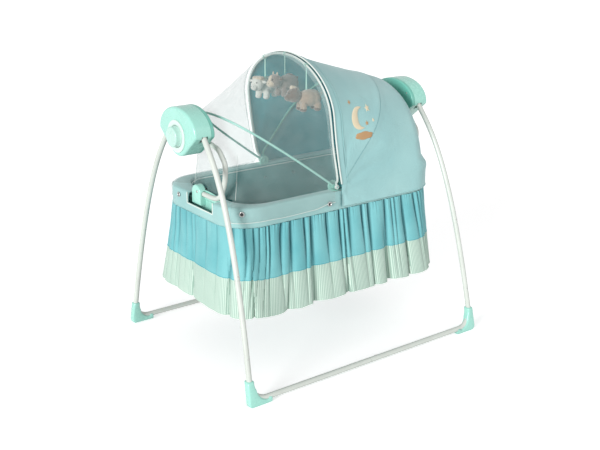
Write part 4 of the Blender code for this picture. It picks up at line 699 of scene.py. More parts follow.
def pillow_rings(outline, half_width, fillet, steps=6):
    """(offset, outline) rings across a part's width, with a round fillet at both faces."""
    low = []
    for k in reversed(range(steps + 1)):
        a = QUARTER * k / steps
        low.append((-half_width + fillet * (1 - math.sin(a)), inset(outline, fillet * (1 - math.cos(a)))))
    return low + [(-offset, shape) for offset, shape in reversed(low)]


def rounded(points, radius, steps=5):
    """Rounds the corners of an outline with small quadratic curves."""
    made = []
    count = len(points)
    for i in range(count):
        before, here, after = (Vector(points[k % count]) for k in (i - 1, i, i + 1))
        reach_in = min(radius, (before - here).length / 2.2)
        reach_out = min(radius, (after - here).length / 2.2)
        start = here + (before - here).normalized() * reach_in
        stop = here + (after - here).normalized() * reach_out
        for k in range(steps + 1):
            t = k / steps
            made.append(tuple(start * (1 - t) ** 2 + here * 2 * t * (1 - t) + stop * t * t))
    return made


def shoe_stations():
    """(inner, outer) pairs of points in (x, z) along the shoe, from its toe up to the leg, for the +X end."""
    outer_x = SPREAD_FLOOR + TUBE_R + SHOE_WALL
    toe_x = outer_x - SHOE_LENGTH
    inner = [(toe_x, 0.0205), (toe_x + 0.010, 0.0225)]
    bend = [Vector((abs(point.x), point.z)) for point in reversed(bend_points(1, 1, 12))]
    for k, (before, point, after) in enumerate(zip([bend[0]] + bend, bend, bend[1:] + [bend[-1]])):
        along = (after - before).normalized()
        cover = -SHOE_COVER + (TUBE_R + 2 * SHOE_COVER) * min(1, k / 8) ** 1.5
        inner.append(tuple(point + Vector((-along.y, along.x)) * cover))
    inner.append((leg_plane(SHOE_TOP) - TUBE_R - SHOE_COVER, SHOE_TOP))
    run = [(toe_x, 0.0), (outer_x - HEEL_R, 0.0)]
    run += [(outer_x - HEEL_R + HEEL_R * math.sin(a), HEEL_R - HEEL_R * math.cos(a))
            for a in (QUARTER * k / 8 for k in range(1, 9))]
    run.append((leg_plane(SHOE_TOP) + TUBE_R + SHOE_WALL, SHOE_TOP))
    lengths = [0]
    for a, b in zip(run, run[1:]):
        lengths.append(lengths[-1] + math.dist(a, b))
    pairs = []
    for k, point in enumerate(inner):
        want = lengths[-1] * k / (len(inner) - 1)
        i = max(j for j in range(len(run) - 1) if lengths[j] <= want)
        share = (want - lengths[i]) / (lengths[i + 1] - lengths[i])
        outer = tuple(a + (b - a) * share for a, b in zip(run[i], run[i + 1]))
        pairs.append((Vector(point), Vector(outer)))
    return pairs


def shoe_section(inner, outer, half_width, fillet, steps=4):
    """A rounded rectangle across the shoe, as (across, point in x and z)."""
    middle = (inner + outer) / 2
    reach = (inner - outer) / 2
    size = reach.length
    fillet = min(fillet, size * 0.8, half_width * 0.8)
    ring = []
    for corner, (sign_y, sign_r) in enumerate(((1, 1), (-1, 1), (-1, -1), (1, -1))):
        for k in range(steps + 1):
            a = QUARTER * (corner + k / steps)
            across = sign_y * (half_width - fillet) + fillet * math.cos(a)
            up = sign_r * (size - fillet) + fillet * math.sin(a)
            ring.append((across, middle + reach.normalized() * up))
    return ring


def shrunk(pair, share, offset):
    """A station's pair drawn towards its middle and moved, with its half width."""
    middle = (pair[0] + pair[1]) / 2
    return [middle + (point - middle) * share + offset for point in pair], SHOE_HALF_WIDTH * share


stations = shoe_stations()
shapes = []
for k in (1, 2, 3):
    rounding = math.sin(QUARTER * k / 4)
    share = 1 - TOE_SHARE + TOE_SHARE * rounding
    shapes.append(shrunk(stations[0], share, Vector((TOE_CAP * (1 - rounding), 0))))
shapes += [(pair, SHOE_HALF_WIDTH) for pair in stations[1:]]
shapes.append(shrunk(stations[-1], TOP_SHARE, Vector((0, TOP_CAP))))
for side_name, side in SIDES.items():
    corner = leg_point(0, 1, side)
    lean = leg_point(0.05, 1, side) - corner
    for end_name, end in ENDS.items():
        rings = []
        for (inner, outer), half_width in shapes:
            ring = []
            for across, point in shoe_section(inner, outer, half_width, SHOE_FILLET):
                drift = lean.y / lean.z * max(0, point.y - RAIL_HEIGHT)
                ring.append(Vector((end * point.x, corner.y + across + drift, max(point.y, 0))))
            rings.append(ring)
        node = f"{side_name}_{end_name}_shoe"
        piece(node + "_moulding", loft(rings), MINT, side_name + "_frame", [node], sharp=70)
print("shoes", SHOE_LENGTH, "x", SHOE_TOP)

# %% [markdown]
# ## Housing shells
# The housing's face is a wide dome over a round lobe about the pivot, like a mushroom's outline. The outer
# shell is a bowl: its skin runs from the parting line to the face with a wide soft fillet, and a second skin
# 3 mm inside makes the wall. The slots that the legs swing in are cut last, so that the dark inside shows.

# %% The housing's outline and shells
PIVOT_HEIGHT = 0.814
HOUSING_OUTER = 0.505
HOUSING_PARTING = 0.4425
HOUSING_INNER = 0.4300
PARTING_GAP = 0.0005
DOME_BASE = 0.829
DOME_HALF_WIDTH = 0.117
DOME_RISE = 0.081
DOME_LIP_R = 0.012
LOBE_R = 0.067
WALL = 0.003
FACE_FILLET = 0.0080
FOLD_ANGLE = math.radians(18)
SLOT_REACH = 0.055
SLOT_MARGIN = 0.0012


def housing_outline(draw_in, dome_steps=44, lobe_steps=36):
    """The housing's face in (y, z), drawn in by a distance."""
    lip = max(DOME_LIP_R - draw_in, 0.0004)
    lobe = LOBE_R - draw_in
    lip_y = DOME_HALF_WIDTH - DOME_LIP_R
    drop = DOME_BASE - PIVOT_HEIGHT
    tangent = math.atan2(drop, lip_y) - math.acos((lobe - lip) / math.hypot(lip_y, drop))
    points = []
    for i in range(dome_steps + 1):
        a = math.pi * i / dome_steps
        across = (DOME_HALF_WIDTH - draw_in) * math.cos(a)
        points.append((across, DOME_BASE + (DOME_RISE - draw_in) * math.sin(a)))
    left = []
    for i in range(1, 6):
        a = tangent * i / 5
        left.append((-lip_y - lip * math.cos(a), DOME_BASE + lip * math.sin(a)))
    bowl = []
    for i in range(lobe_steps + 1):
        a = math.pi - tangent + (2 * tangent + math.pi) * i / lobe_steps
        bowl.append((lobe * math.cos(a), PIVOT_HEIGHT + lobe * math.sin(a)))
    return points + left + bowl + [(-y, z) for y, z in reversed(left)]


def face_ring(x, draw_in):
    return [Vector((x, y, z)) for y, z in housing_outline(draw_in)]


def cup(end, rim_x, face_x, fillet, steps=7):
    """A bowl with a filleted face at face_x and an open rim at rim_x, both as distances from the middle."""
    away = 1 if face_x > rim_x else -1
    stations = [(face_x - away * WALL, WALL + fillet / 3), (face_x - away * (WALL + fillet / 3), WALL),
                (rim_x, WALL), (rim_x, 0.0004), (rim_x + away * 0.0005, 0)]
    for k in range(steps + 1):
        a = QUARTER * k / steps
        stations.append((face_x - away * fillet * (1 - math.sin(a)), fillet * (1 - math.cos(a))))
    return loft([face_ring(end * x, draw_in) for x, draw_in in stations])


def slot_cutter(end, side):
    """The sector that a leg sweeps about its pin between its open and folded places."""
    pin = Vector((PIN_SETBACK, PIN_HEIGHT))
    half = TUBE_R + SLOT_MARGIN
    top, below = leg_point(1, 1, 1), leg_point(0.93, 1, 1)
    out = math.atan2(below.z - top.z, below.y - top.y)
    inward = out - FOLD_ANGLE

    def ray(angle, along, across):
        return pin + Vector((math.cos(angle), math.sin(angle))) * along + Vector(
            (-math.sin(angle), math.cos(angle))) * across

    outline = [ray(out, SLOT_REACH, half), ray(inward, SLOT_REACH, -half)]
    first = inward - QUARTER
    for i in range(13):
        a = first - (first + ROUND - out - QUARTER) * i / 12
        outline.append(pin + half * Vector((math.cos(a), math.sin(a))))
    rings = []
    for x in (SPREAD_TOP - TUBE_R - SLOT_MARGIN, leg_plane(PIN_HEIGHT - SLOT_REACH) + TUBE_R + SLOT_MARGIN):
        rings.append([Vector((end * x, side * point.x, point.y)) for point in outline])
    return piece("cutter", loft(rings), MINT, None)


def bore_cutter(low, high, radius, origin, axis, steps):
    """A round bar that carve takes out, from low to high along an axis."""
    profile = [(low, 0), (low, radius), (high, radius), (high, 0)]
    return piece("cutter", lathe(profile, origin, axis, steps), MINT, None)


def boss(bm, end, y, z, low, high, outer, inner):
    """A hollow round post along X, added to a bmesh."""
    profile = [(low, inner), (low, outer), (high, outer), (high, inner), (low, inner)]
    lathe(profile, (0, y, z), (end, 0, 0), 24, into=bm)


PIN_BOSS_R = 0.0062
PIN_BORE_R = 0.0032
PIN_GAP = 0.0008
SPINDLE_HOLE_R = 0.0033
INLET_PLACE = 0.480
INLET_WIDTH = 0.0116
for end_name, end in ENDS.items():
    housing = "drive_housing" if end < 0 else "idler_housing"
    shell = piece(housing + "_outer", cup(end, HOUSING_PARTING + PARTING_GAP, HOUSING_OUTER, FACE_FILLET),
                  MINT, "stand", [housing + "_shell"])
    cutters = [slot_cutter(end, side) for side in SIDES.values()]
    if end < 0:
        cutters.append(bore_cutter(0.49, 0.51, SPINDLE_HOLE_R, (0, 0, PIVOT_HEIGHT), (end, 0, 0), 24))
        port = bmesh.new()
        bmesh.ops.create_cube(port, size=INLET_WIDTH)
        bmesh.ops.translate(port, verts=port.verts, vec=(end * INLET_PLACE, 0, PIVOT_HEIGHT - LOBE_R + 0.001))
        cutters.append(piece("cutter", port, MINT, None))
    carve(shell, cutters)
    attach(shell, "stand")
    posts = bmesh.new()
    for side in SIDES.values():
        boss(posts, end, side * PIN_SETBACK, PIN_HEIGHT, SPREAD_TOP + TUBE_R + PIN_GAP,
             HOUSING_OUTER - WALL / 2, PIN_BOSS_R, PIN_BORE_R)
    piece(housing + "_pin_posts", posts, MINT, "stand")
print("shell outline points", len(housing_outline(0)))

# %% [markdown]
# ## Inner plates and their screws
# The plate closes the housing towards the crib. Four screws hold it, each deep in a round hole, so they read
# as dark dots with a glint of steel. A bearing boss in the middle carries the nylon bush of the swing shaft.

# %% Plates
PLATE_FILLET = 0.004
BEARING_R = 0.0125
BEARING_TIP = 0.456
BUSH_R = 0.0090
BUSH_BORE_R = BUSH_R + 0.0002
SCREW_HOLE_R = 0.0042
SCREW_SEAT = HOUSING_INNER + 0.0022
SCREW_PLACES = ((0.0400, 0.7775), (0.0800, 0.8640), (-0.0400, 0.7775), (-0.0800, 0.8640))


def screw_head(bm, place, axis, radius=0.0034, height=0.0018):
    """A pan head: a lathed dome with a steep edge."""
    profile = [(-0.001, radius * 0.8), (0, radius)]
    for k in range(1, 6):
        a = QUARTER * k / 5
        profile.append((height * math.sin(a) ** 0.8, radius * math.cos(a)))
    lathe(profile, place, axis, 20, into=bm)


for end_name, end in ENDS.items():
    housing = "drive_housing" if end < 0 else "idler_housing"
    # The plate and its bearing are in the darker mint, which paints the shade on the housing's inner side.
    plate = piece(housing + "_inner", cup(end, HOUSING_PARTING - PARTING_GAP, HOUSING_INNER, PLATE_FILLET),
                  SHADED_MINT, "stand", [housing + "_plate"])
    cutters = [bore_cutter(0.42, 0.44, BUSH_BORE_R, (0, 0, PIVOT_HEIGHT), (end, 0, 0), 40)]
    screws = bmesh.new()
    for y, z in SCREW_PLACES:
        cutters.append(bore_cutter(0.42, SCREW_SEAT, SCREW_HOLE_R, (0, y, z), (end, 0, 0), 24))
        screw_head(screws, (end * SCREW_SEAT, y, z), (-end, 0, 0))
    carve(plate, cutters)
    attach(plate, "stand")
    bearing = bmesh.new()
    foot = HOUSING_INNER + WALL / 2
    boss(bearing, end, 0, PIVOT_HEIGHT, foot, BEARING_TIP, BEARING_R, BUSH_BORE_R)
    for side in SIDES.values():
        boss(bearing, end, side * PIN_SETBACK, PIN_HEIGHT, foot, SPREAD_TOP - TUBE_R - PIN_GAP,
             PIN_BOSS_R, PIN_BORE_R)
    piece(housing + "_bearing", bearing, SHADED_MINT, "stand")
    piece(housing + "_screws", screws, STEEL, "stand", sharp=60)
print("plates with", len(SCREW_PLACES), "screws each")

# %% [markdown]
# ## Dial and collar
# The dial is a knob on a skirt, inside a pale ring. Its rim has a soft radius, its face is dished a little,
# and one raised bar on the face points at the chosen speed. Fine ribs round the rim give the fingers a grip.

# %% The dial
COLLAR_OUTER_R = 0.0545
COLLAR_INNER_R = 0.0375
COLLAR_DEPTH = 0.005
DIAL_R = 0.034
DIAL_SKIRT_R = 0.036
DIAL_STAND = 0.023
DIAL_EDGE = 0.0045
DIAL_RIBS = 40
RIB_DEPTH = 0.0006
POINTER_LOW, POINTER_HIGH = 0.010, 0.0275
SPINDLE_TIP, SPINDLE_R = 0.4994, 0.003
dial_origin = (0, 0, PIVOT_HEIGHT)
dial_axis = (-1, 0, 0)

seat = HOUSING_OUTER + 0.0003
front = seat + COLLAR_DEPTH
profile = [(seat, COLLAR_INNER_R), (seat, COLLAR_OUTER_R)]
profile += corner_arc(front - 0.0024, COLLAR_OUTER_R - 0.0024, 0.0024, 1, 0, 6)
profile += [(front - 0.0006, COLLAR_INNER_R + 0.0012), (front - 0.0016, COLLAR_INNER_R)]
profile.append((seat, COLLAR_INNER_R))
piece("dial_ring", lathe(profile, dial_origin, dial_axis, 96), IVORY, "stand", ["dial_collar"])

seat = HOUSING_OUTER + 0.0008
front = HOUSING_OUTER + DIAL_STAND
profile = [(seat, 0), (seat, DIAL_SKIRT_R - 0.0006), (seat + 0.0006, DIAL_SKIRT_R)]
profile += corner_arc(seat + 0.0028, DIAL_SKIRT_R - 0.0012, 0.0012, 1, 0, 4)
profile += [(seat + 0.0040, DIAL_R + 0.0004), (seat + 0.0052, DIAL_R)]
profile += corner_arc(front - DIAL_EDGE, DIAL_R - DIAL_EDGE, DIAL_EDGE, 1, 0, 8)
profile += [(front - 0.0008, DIAL_R - DIAL_EDGE - 0.003), (front - 0.0014, 0.012), (front - 0.0016, 0)]
dial_bm = lathe(profile, dial_origin, dial_axis, DIAL_RIBS * 6)
for vert in dial_bm.verts:
    reach = math.hypot(vert.co.y, vert.co.z - PIVOT_HEIGHT)
    depth = -vert.co.x - seat
    if 0.0045 < depth < DIAL_STAND - DIAL_EDGE and reach > DIAL_R * 0.98:
        turn = math.atan2(vert.co.z - PIVOT_HEIGHT, vert.co.y)
        groove = max(0, math.cos(turn * DIAL_RIBS)) ** 3 * RIB_DEPTH
        vert.co.y *= 1 - groove / reach
        vert.co.z = PIVOT_HEIGHT + (vert.co.z - PIVOT_HEIGHT) * (1 - groove / reach)
pointer = []
for height, wide in ((-0.003, 0.0030), (-0.0004, 0.0030), (0.0004, 0.0024), (0.0006, 0.0014)):
    shape = rounded([(-wide, POINTER_LOW), (wide, POINTER_LOW), (wide, POINTER_HIGH), (-wide, POINTER_HIGH)],
                    wide * 0.8)
    pointer.append([Vector((-front - height, y, PIVOT_HEIGHT + z)) for y, z in shape])
loft(pointer, into=dial_bm)
spindle = [(SPINDLE_TIP, 0), (SPINDLE_TIP, SPINDLE_R), (seat, SPINDLE_R), (seat, 0)]
lathe(spindle, dial_origin, dial_axis, 20, into=dial_bm)
piece("dial_knob", dial_bm, DIAL_MINT, "dial", ["speed_dial"], sharp=50)
print("dial stands", DIAL_STAND, "m proud")

# %% [markdown]
# ## Hubs and hanger arms
# Each hub disc turns on the housing's shaft and has a slanted sleeve on its inner side. The C-shaped arm is
# pushed into the sleeve, sweeps round the near side, and ends in the socket on the rim.

# %% Hubs and arms
HUB_R = 0.042
HUB_OUTER = 0.4292
HUB_INNER = 0.4075
HUB_EDGE = 0.0045
SHAFT_R = 0.006
SHAFT_TIP = 0.4772
SLEEVE_R = 0.0102
SLEEVE_LENGTH = 0.028
SLEEVE_FLOOR = 0.002
SMALL_EDGE = 0.0008
ARM_R = 0.0085
ARM_PLANE = 0.4190
ARM_START = Vector((0, -0.030, 0.795))
ARM_DIRECTION = Vector((0, -1, -1 / 6)).normalized()
ARM_BULGE = 0.155
ARM_DROP = 0.2092
ARM_TIP_Y = 0.012
ARM_SHARES = (
    (0.555, 0.138), (0.748, 0.170), (0.897, 0.271), (0.994, 0.367), (1.000, 0.524),
    (0.948, 0.695), (0.819, 0.881), (0.652, 0.976), (0.420, 1.000), (0.200, 1.000),
)


def arm_path(end):
    start = Vector((end * ARM_PLANE, ARM_START.y, ARM_START.z))
    points = [start + ARM_DIRECTION * SLEEVE_LENGTH]
    points += [Vector((end * ARM_PLANE, -ARM_BULGE * y, PIVOT_HEIGHT - ARM_DROP * z)) for y, z in ARM_SHARES]
    points.append(Vector((end * ARM_PLANE, ARM_TIP_Y, PIVOT_HEIGHT - ARM_DROP)))
    return [start + ARM_DIRECTION * SLEEVE_FLOOR] + smooth_path(points, 7)


for end_name, end in ENDS.items():
    profile = [(HUB_INNER + 0.0008, 0), (HUB_INNER + 0.0008, 0.010), (HUB_INNER, 0.0125)]
    profile += corner_arc(HUB_INNER + HUB_EDGE, HUB_R - HUB_EDGE, HUB_EDGE, 2, 1, 7)
    profile += corner_arc(HUB_OUTER - 0.002, HUB_R - 0.002, 0.002, 1, 0, 4)
    profile += [(HUB_OUTER, SHAFT_R), (SHAFT_TIP - SMALL_EDGE, SHAFT_R), (SHAFT_TIP, SHAFT_R - SMALL_EDGE),
                (SHAFT_TIP, 0)]
    hub = lathe(profile, (0, 0, PIVOT_HEIGHT), (end, 0, 0), 72)
    arm = arm_path(end)
    tube = [(0.0, 0), (0.0, SLEEVE_R - 0.001), (0.001, SLEEVE_R), (SLEEVE_LENGTH - 0.0012, SLEEVE_R),
            (SLEEVE_LENGTH, SLEEVE_R - SMALL_EDGE), (SLEEVE_LENGTH, ARM_R + 0.0002),
            (SLEEVE_FLOOR, ARM_R + 0.0002), (SLEEVE_FLOOR, 0)]
    lathe(tube, arm[0] - ARM_DIRECTION * SLEEVE_FLOOR, ARM_DIRECTION, 32, into=hub)
    piece(end_name + "_hub_disc", hub, MINT, "cradle", [end_name + "_hub"])
    piece(end_name + "_arm", sweep(arm, ARM_R, 32, dome=0.2), WHITE_TUBE, "cradle", [end_name + "_hanger"])
print("arm length", round(sum((b - a).length for a, b in zip(arm, arm[1:])), 3))

# %% [markdown]
# ## Rim sockets
# The socket is an upright plate with a round-arched top and soft edges. It clamps on the rim tube, and its
# bore takes the end of the arm with a dark gap round it. One screw near the top locks the arm. A low arched
# flange behind it fills the opening of the rim band.

# %% Sockets
RIM_HEIGHT = 0.602
RIM_TUBE_X = 0.405
RIM_TUBE_Z = 0.5907
SOCKET_LOW_X = 0.409
SOCKET_HIGH_X = 0.4345
SOCKET_NECK_Y = 0.015
SOCKET_FAR_Y = 0.041
SOCKET_NEAR_Y = 0.090
SOCKET_TOP = 0.634
SOCKET_FOOT = 0.5665
SOCKET_SCREW = (0.004, 0.6120)
CLAMP_R = 0.0108
RIM_TUBE_BORE = 0.0084
ARM_BORE_DEPTH = 0.0275
PLATE_LOW_X, PLATE_HIGH_X = 0.4085, 0.4122
PLATE_NEAR_Y, PLATE_FAR_Y, PLATE_SHOULDER, PLATE_TOP = 0.106, 0.048, 0.596, 0.617
PLATE_FOOT, WING_Y, WING_TOP = 0.5440, 0.095, 0.5780


def round_top(low_y, high_y, shoulder, rise):
    """Points of a round arch in (y, z), from its high y to its low y."""
    middle, half = (low_y + high_y) / 2, (high_y - low_y) / 2
    return [(middle + half * math.cos(a), shoulder + rise * math.sin(a))
            for a in (math.pi * i / 24 for i in range(25))]


def socket_outline():
    half = (SOCKET_FAR_Y + SOCKET_NECK_Y) / 2
    foot = [(-SOCKET_NECK_Y, SOCKET_FOOT), (SOCKET_FAR_Y, SOCKET_FOOT)]
    return foot + round_top(-SOCKET_NECK_Y, SOCKET_FAR_Y, SOCKET_TOP - half, half)


def plate_outline():
    """The flange: a wing under the band and a low arch."""
    wing = [(-PLATE_NEAR_Y, PLATE_FOOT), (WING_Y, PLATE_FOOT), (WING_Y, WING_TOP), (PLATE_FAR_Y, WING_TOP)]
    return wing + round_top(-PLATE_NEAR_Y, PLATE_FAR_Y, PLATE_SHOULDER, PLATE_TOP - PLATE_SHOULDER)


def pillow(outline, end, low_x, high_x, fillet, steps):
    """A plate with round edges between two distances from the middle."""
    middle, half = (low_x + high_x) / 2, (high_x - low_x) / 2
    return loft([[Vector((end * (middle + offset), y, z)) for y, z in shape]
                 for offset, shape in pillow_rings(outline, half, fillet, steps)])


for end_name, end in ENDS.items():
    flange = pillow(plate_outline(), end, PLATE_LOW_X, PLATE_HIGH_X, 0.0012, 3)
    piece(end_name + "_socket_plate", flange, MINT, "cradle")
    upright = pillow(socket_outline(), end, SOCKET_LOW_X, SOCKET_HIGH_X, 0.0040, 5)
    socket = piece(end_name + "_socket_bracket", upright, MINT, "cradle", [end_name + "_socket"])
    arm_end = (end * ARM_PLANE, -SOCKET_NECK_Y - 0.0002, PIVOT_HEIGHT - ARM_DROP)
    rim_end = (end * RIM_TUBE_X, -SOCKET_NECK_Y - 0.001, RIM_TUBE_Z)
    carve(socket, [bore_cutter(0, ARM_BORE_DEPTH, ARM_R + 0.0012, arm_end, (0, 1, 0), 32),
                   bore_cutter(0, 0.06, CLAMP_R - 0.001, rim_end, (0, 1, 0), 32)])
    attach(socket, "cradle")
    clamp = bmesh.new()
    length = SOCKET_NEAR_Y + SOCKET_FAR_Y
    profile = [(0, RIM_TUBE_BORE), (0, CLAMP_R - 0.001), (0.001, CLAMP_R), (length - 0.001, CLAMP_R),
               (length, CLAMP_R - 0.001), (length, RIM_TUBE_BORE), (0, RIM_TUBE_BORE)]
    lathe(profile, (end * RIM_TUBE_X, -SOCKET_NEAR_Y, RIM_TUBE_Z), (0, 1, 0), 32, into=clamp)
    piece(end_name + "_socket_clamp", clamp, MINT, "cradle")
    screw = bmesh.new()
    screw_head(screw, (end * SOCKET_HIGH_X, *SOCKET_SCREW), (end, 0, 0), 0.0048, 0.0018)
    piece(end_name + "_socket_screw", screw, STEEL, "cradle", sharp=60)
print("socket height", round(SOCKET_TOP - SOCKET_FOOT, 4))

# %% [markdown]
# ## What sits inside
# The coil, the board, the inlet, the bushes, the pins and the magnet arm keep the CAD model's shapes, because
# they are turned and stamped parts that it already draws in full. They only need their own finishes.

# %% Finishes of the parts inside
INSIDE = {
    "swing_coil": COPPER, "control_board": BOARD, "dc_inlet": BLACK, "drive_bush": NYLON, "head_bush": NYLON,
    "magnet_arm": STEEL, "rim_tube": WHITE_TUBE, "floor_board": BIRCH, "hood_end_bow": WHITE_TUBE,
}
INSIDE.update({f"{side_name}_{end_name}_leg_pin": STEEL for side_name in SIDES for end_name in ENDS})


def dress(name, material):
    """Gives a CAD node its finish."""
    node = nodes[name]
    node.data.materials.clear()
    node.data.materials.append(material)


for node_name, material in INSIDE.items():
    dress(node_name, material)
print("dressed", len(INSIDE), "CAD parts")

# %% [markdown]
# ## Cloth finishes
# Woven cloth shows its threads, a soft sheen at grazing angles, and a slow unevenness of the dye. The weave
# needs coordinates that run along the cloth, so each sheet stores its own places in metres, across and down,
# in a point attribute. Two fine waves across and along it give the threads, and a noise varies them.

# %% A cloth finish
THREAD = 0.00055


def wave_value(material, place, scale, direction="X"):
    tree = material.node_tree
    texture = tree.nodes.new("ShaderNodeTexWave")
    texture.bands_direction = direction
    texture.wave_profile = "SIN"
    texture.inputs["Scale"].default_value = scale
    texture.inputs["Distortion"].default_value = 0
    tree.links.new(place, texture.inputs["Vector"])
    return texture.outputs["Fac"]


def arithmetic(material, operation, first, second):
    node = material.node_tree.nodes.new("ShaderNodeMath")
    node.operation = operation
    for socket, value in zip(node.inputs, (first, second)):
        if hasattr(value, "links"):
            material.node_tree.links.new(value, socket)
        else:
            socket.default_value = value
    return node.outputs[0]


WAVES_PER_METRE = 1 / (THREAD * 3.2)


def cloth(name, light, dark, roughness=0.72, sheen=0.35, dye_scale=7, weave_depth=0.00012, extra=None):
    """A woven cloth in two close colours. extra is a function that changes the colour and may add bumps."""
    material = finish(name, Roughness=roughness, Sheen_Weight=sheen, Sheen_Roughness=0.4,
                      Specular_IOR_Level=0.3)
    weave = coordinates(material, "weave")
    space = coordinates(material)
    dye = stretch(material, noise_value(material, space, dye_scale, 4), 0.3, 0.7)
    colour = mix_colours(material, dye, light, dark)
    slub = stretch(material, noise_value(material, weave, 420, 2), 0.35, 0.65, 0, 0.35)
    colour = mix_colours(material, slub, colour, tuple(value * 0.86 for value in dark[:3]) + (1,))
    heights = []
    if extra:
        colour, heights = extra(material, weave, colour)
    to_shader(material, colour, "Base Color")
    warp = wave_value(material, weave, WAVES_PER_METRE, "X")
    weft = wave_value(material, weave, WAVES_PER_METRE, "Y")
    threads = arithmetic(material, "MULTIPLY", warp, weft)
    heights += [(threads, weave_depth), (noise_value(material, space, 60, 3), 0.0006)]
    to_shader(material, stretch(material, dye, 0, 1, roughness * 0.92, min(1, roughness * 1.1)), "Roughness")
    bump(material, heights)
    return material


def paint_crease_shade(material, weave, colour, shade=linear(20, 92, 102)):
    """Darkens the cloth where it lies deep between two folds, since little light gets in there."""
    depth = coordinates(material, "crease_shade")
    split = material.node_tree.nodes.new("ShaderNodeSeparateXYZ")
    material.node_tree.links.new(depth, split.inputs["Vector"])
    share = stretch(material, split.outputs["X"], 0.02, 0.75, 0, 0.85)
    return mix_colours(material, share, colour, shade), []


def pin_stripes_and_crease_shade(material, weave, colour):
    """Fine pale stripes that run down the cloth, with a slight rib under each, and painted shade in the
    creases.
    """
    stripe = wave_value(material, weave, 44, "X")
    line = stretch(material, stripe, 0.55, 0.85)
    colour = mix_colours(material, line, colour, linear(206, 224, 212))
    return paint_crease_shade(material, weave, colour, linear(98, 138, 122))[0], [(line, 0.0001)]


def mesh_holes(material, weave, colour):
    """A warp-knit mesh: a diamond grid of small dark holes."""
    first = wave_value(material, weave, 95, "DIAGONAL")
    tree = material.node_tree
    flip = tree.nodes.new("ShaderNodeMapping")
    flip.inputs["Scale"].default_value = (-1, 1, 1)
    tree.links.new(weave, flip.inputs["Vector"])
    second = wave_value(material, flip.outputs["Vector"], 95, "DIAGONAL")
    holes = stretch(material, arithmetic(material, "MULTIPLY", first, second), 0.35, 0.6)
    return mix_colours(material, holes, colour, linear(58, 92, 92)), [(holes, -0.0003)]


# The turquoise and sage cloths paint shade into the creases of the skirt's folds.
TURQUOISE_CLOTH = cloth("turquoise_cloth", linear(130, 196, 199), linear(100, 174, 180), 0.55, 0.30,
                        extra=paint_crease_shade)
SAGE_CLOTH = cloth("sage_cloth", linear(172, 198, 184), linear(154, 184, 170), 0.75, 0.3, extra=pin_stripes_and_crease_shade)
PALE_AQUA = cloth("pale_aqua_cloth", linear(162, 202, 200), linear(146, 188, 187), 0.60, 0.35)
MESH_CLOTH = cloth("mesh_cloth", linear(84, 164, 164), linear(68, 144, 146), 0.8, 0.1, extra=mesh_holes)
TICKING = cloth("ticking", linear(206, 220, 214), linear(192, 208, 204), 0.85, 0.4)
BINDING = cloth("white_binding", linear(222, 230, 224), linear(206, 217, 212), 0.65, 0.3)
DARK_CORD = cloth("dark_cord", linear(62, 92, 92), linear(50, 78, 80), 0.8, 0.2)
print("cloths", THREAD * 1000, "mm threads")

# %% [markdown]
# ## Sheets from rows of points
# A cloth piece is drawn as rows of points. The helper skins them, stores the weave's coordinates from the
# real distances along the rows and columns, and can close the sheet round on itself. It also measures the
# sheet, which gives the size that it was cut to. On a gathered sheet it stores how deep each point lies
# between two folds, and the finish paints shade there.

# %% The sheet helper
CREASE_REACH = 11
CREASE_DEPTH = 0.0065


def crease_of(row):
    """How deep each point of a closed row lies behind the points beside it, from 0 to 1."""
    away = [math.hypot(point.x, point.y) for point in row]
    count = len(row)
    span = range(-CREASE_REACH, CREASE_REACH + 1)
    values = []
    for i in range(count):
        mean = sum(away[(i + k) % count] for k in span) / len(span)
        values.append(min(1, max(0, (mean - away[i]) / CREASE_DEPTH + 0.10)))
    return values


def sheet_piece(name, rows, material, body, replaces=(), closed=False, crease_shading=None):
    """An object of a sheet of cloth, one skin thick. Returns it, with its mean width and length.

    The last argument sets how strong the painted shade in the creases is, in the first row and in the last.
    """
    columns = len(rows[0])
    bm = bmesh.new()
    weave = bm.verts.layers.float_vector.new("weave")
    crease_shade = bm.verts.layers.float_vector.new("crease_shade")
    grid = [[bm.verts.new(point) for point in row] for row in rows]
    sampled = range(0, columns, 5)
    down = width = 0
    for r, row in enumerate(grid):
        if r:
            down += sum((row[i].co - grid[r - 1][i].co).length for i in sampled) / len(sampled)
        across = 0
        shade = crease_shading[0] + (crease_shading[1] - crease_shading[0]) * r / (len(grid) - 1) if crease_shading else 0
        depths = crease_of(rows[r]) if crease_shading else [0] * columns
        for i, vert in enumerate(row):
            if i:
                across += (vert.co - row[i - 1].co).length
            vert[weave] = (across, down, 0)
            vert[crease_shade] = (depths[i] * shade, 0, 0)
        if closed:
            across += (row[0].co - row[-1].co).length
        width += across / len(grid)
    if crease_shading:
        for row in grid:
            for i, vert in enumerate(row):
                vert[weave] = (width * i / columns, vert[weave].y, 0)
    skin(bm, grid, closed)
    item = piece(name, bm, material, body, replaces, sharp=180)
    return item, width, down


def ring_point(share, half_length, half_width, corner):
    """A point of a level loop with round corners, and its outward normal, by its share of the way round."""
    straight_x, straight_y = half_length - corner, half_width - corner
    arc = corner * QUARTER
    s = (share % 1) * 4 * (straight_x + straight_y + arc)
    legs = ((straight_y, 0), (arc, 1), (2 * straight_x, 0), (arc, 1), (2 * straight_y, 0), (arc, 1),
            (2 * straight_x, 0), (arc, 1), (straight_y, 0))
    heading, place = 0.0, Vector((half_length, 0))
    for length, turning in legs:
        step = min(s, length)
        if turning:
            centre = place + corner * Vector((-math.cos(heading), -math.sin(heading)))
            heading += step / corner
            place = centre + corner * Vector((math.cos(heading), math.sin(heading)))
        else:
            place = place + step * Vector((-math.sin(heading), math.cos(heading)))
        s -= step
        if s <= 1e-9:
            break
    return place, Vector((math.cos(heading), math.sin(heading)))


def ring_length(half_length, half_width, corner):
    return 4 * (half_length + half_width - 2 * corner + corner * QUARTER)


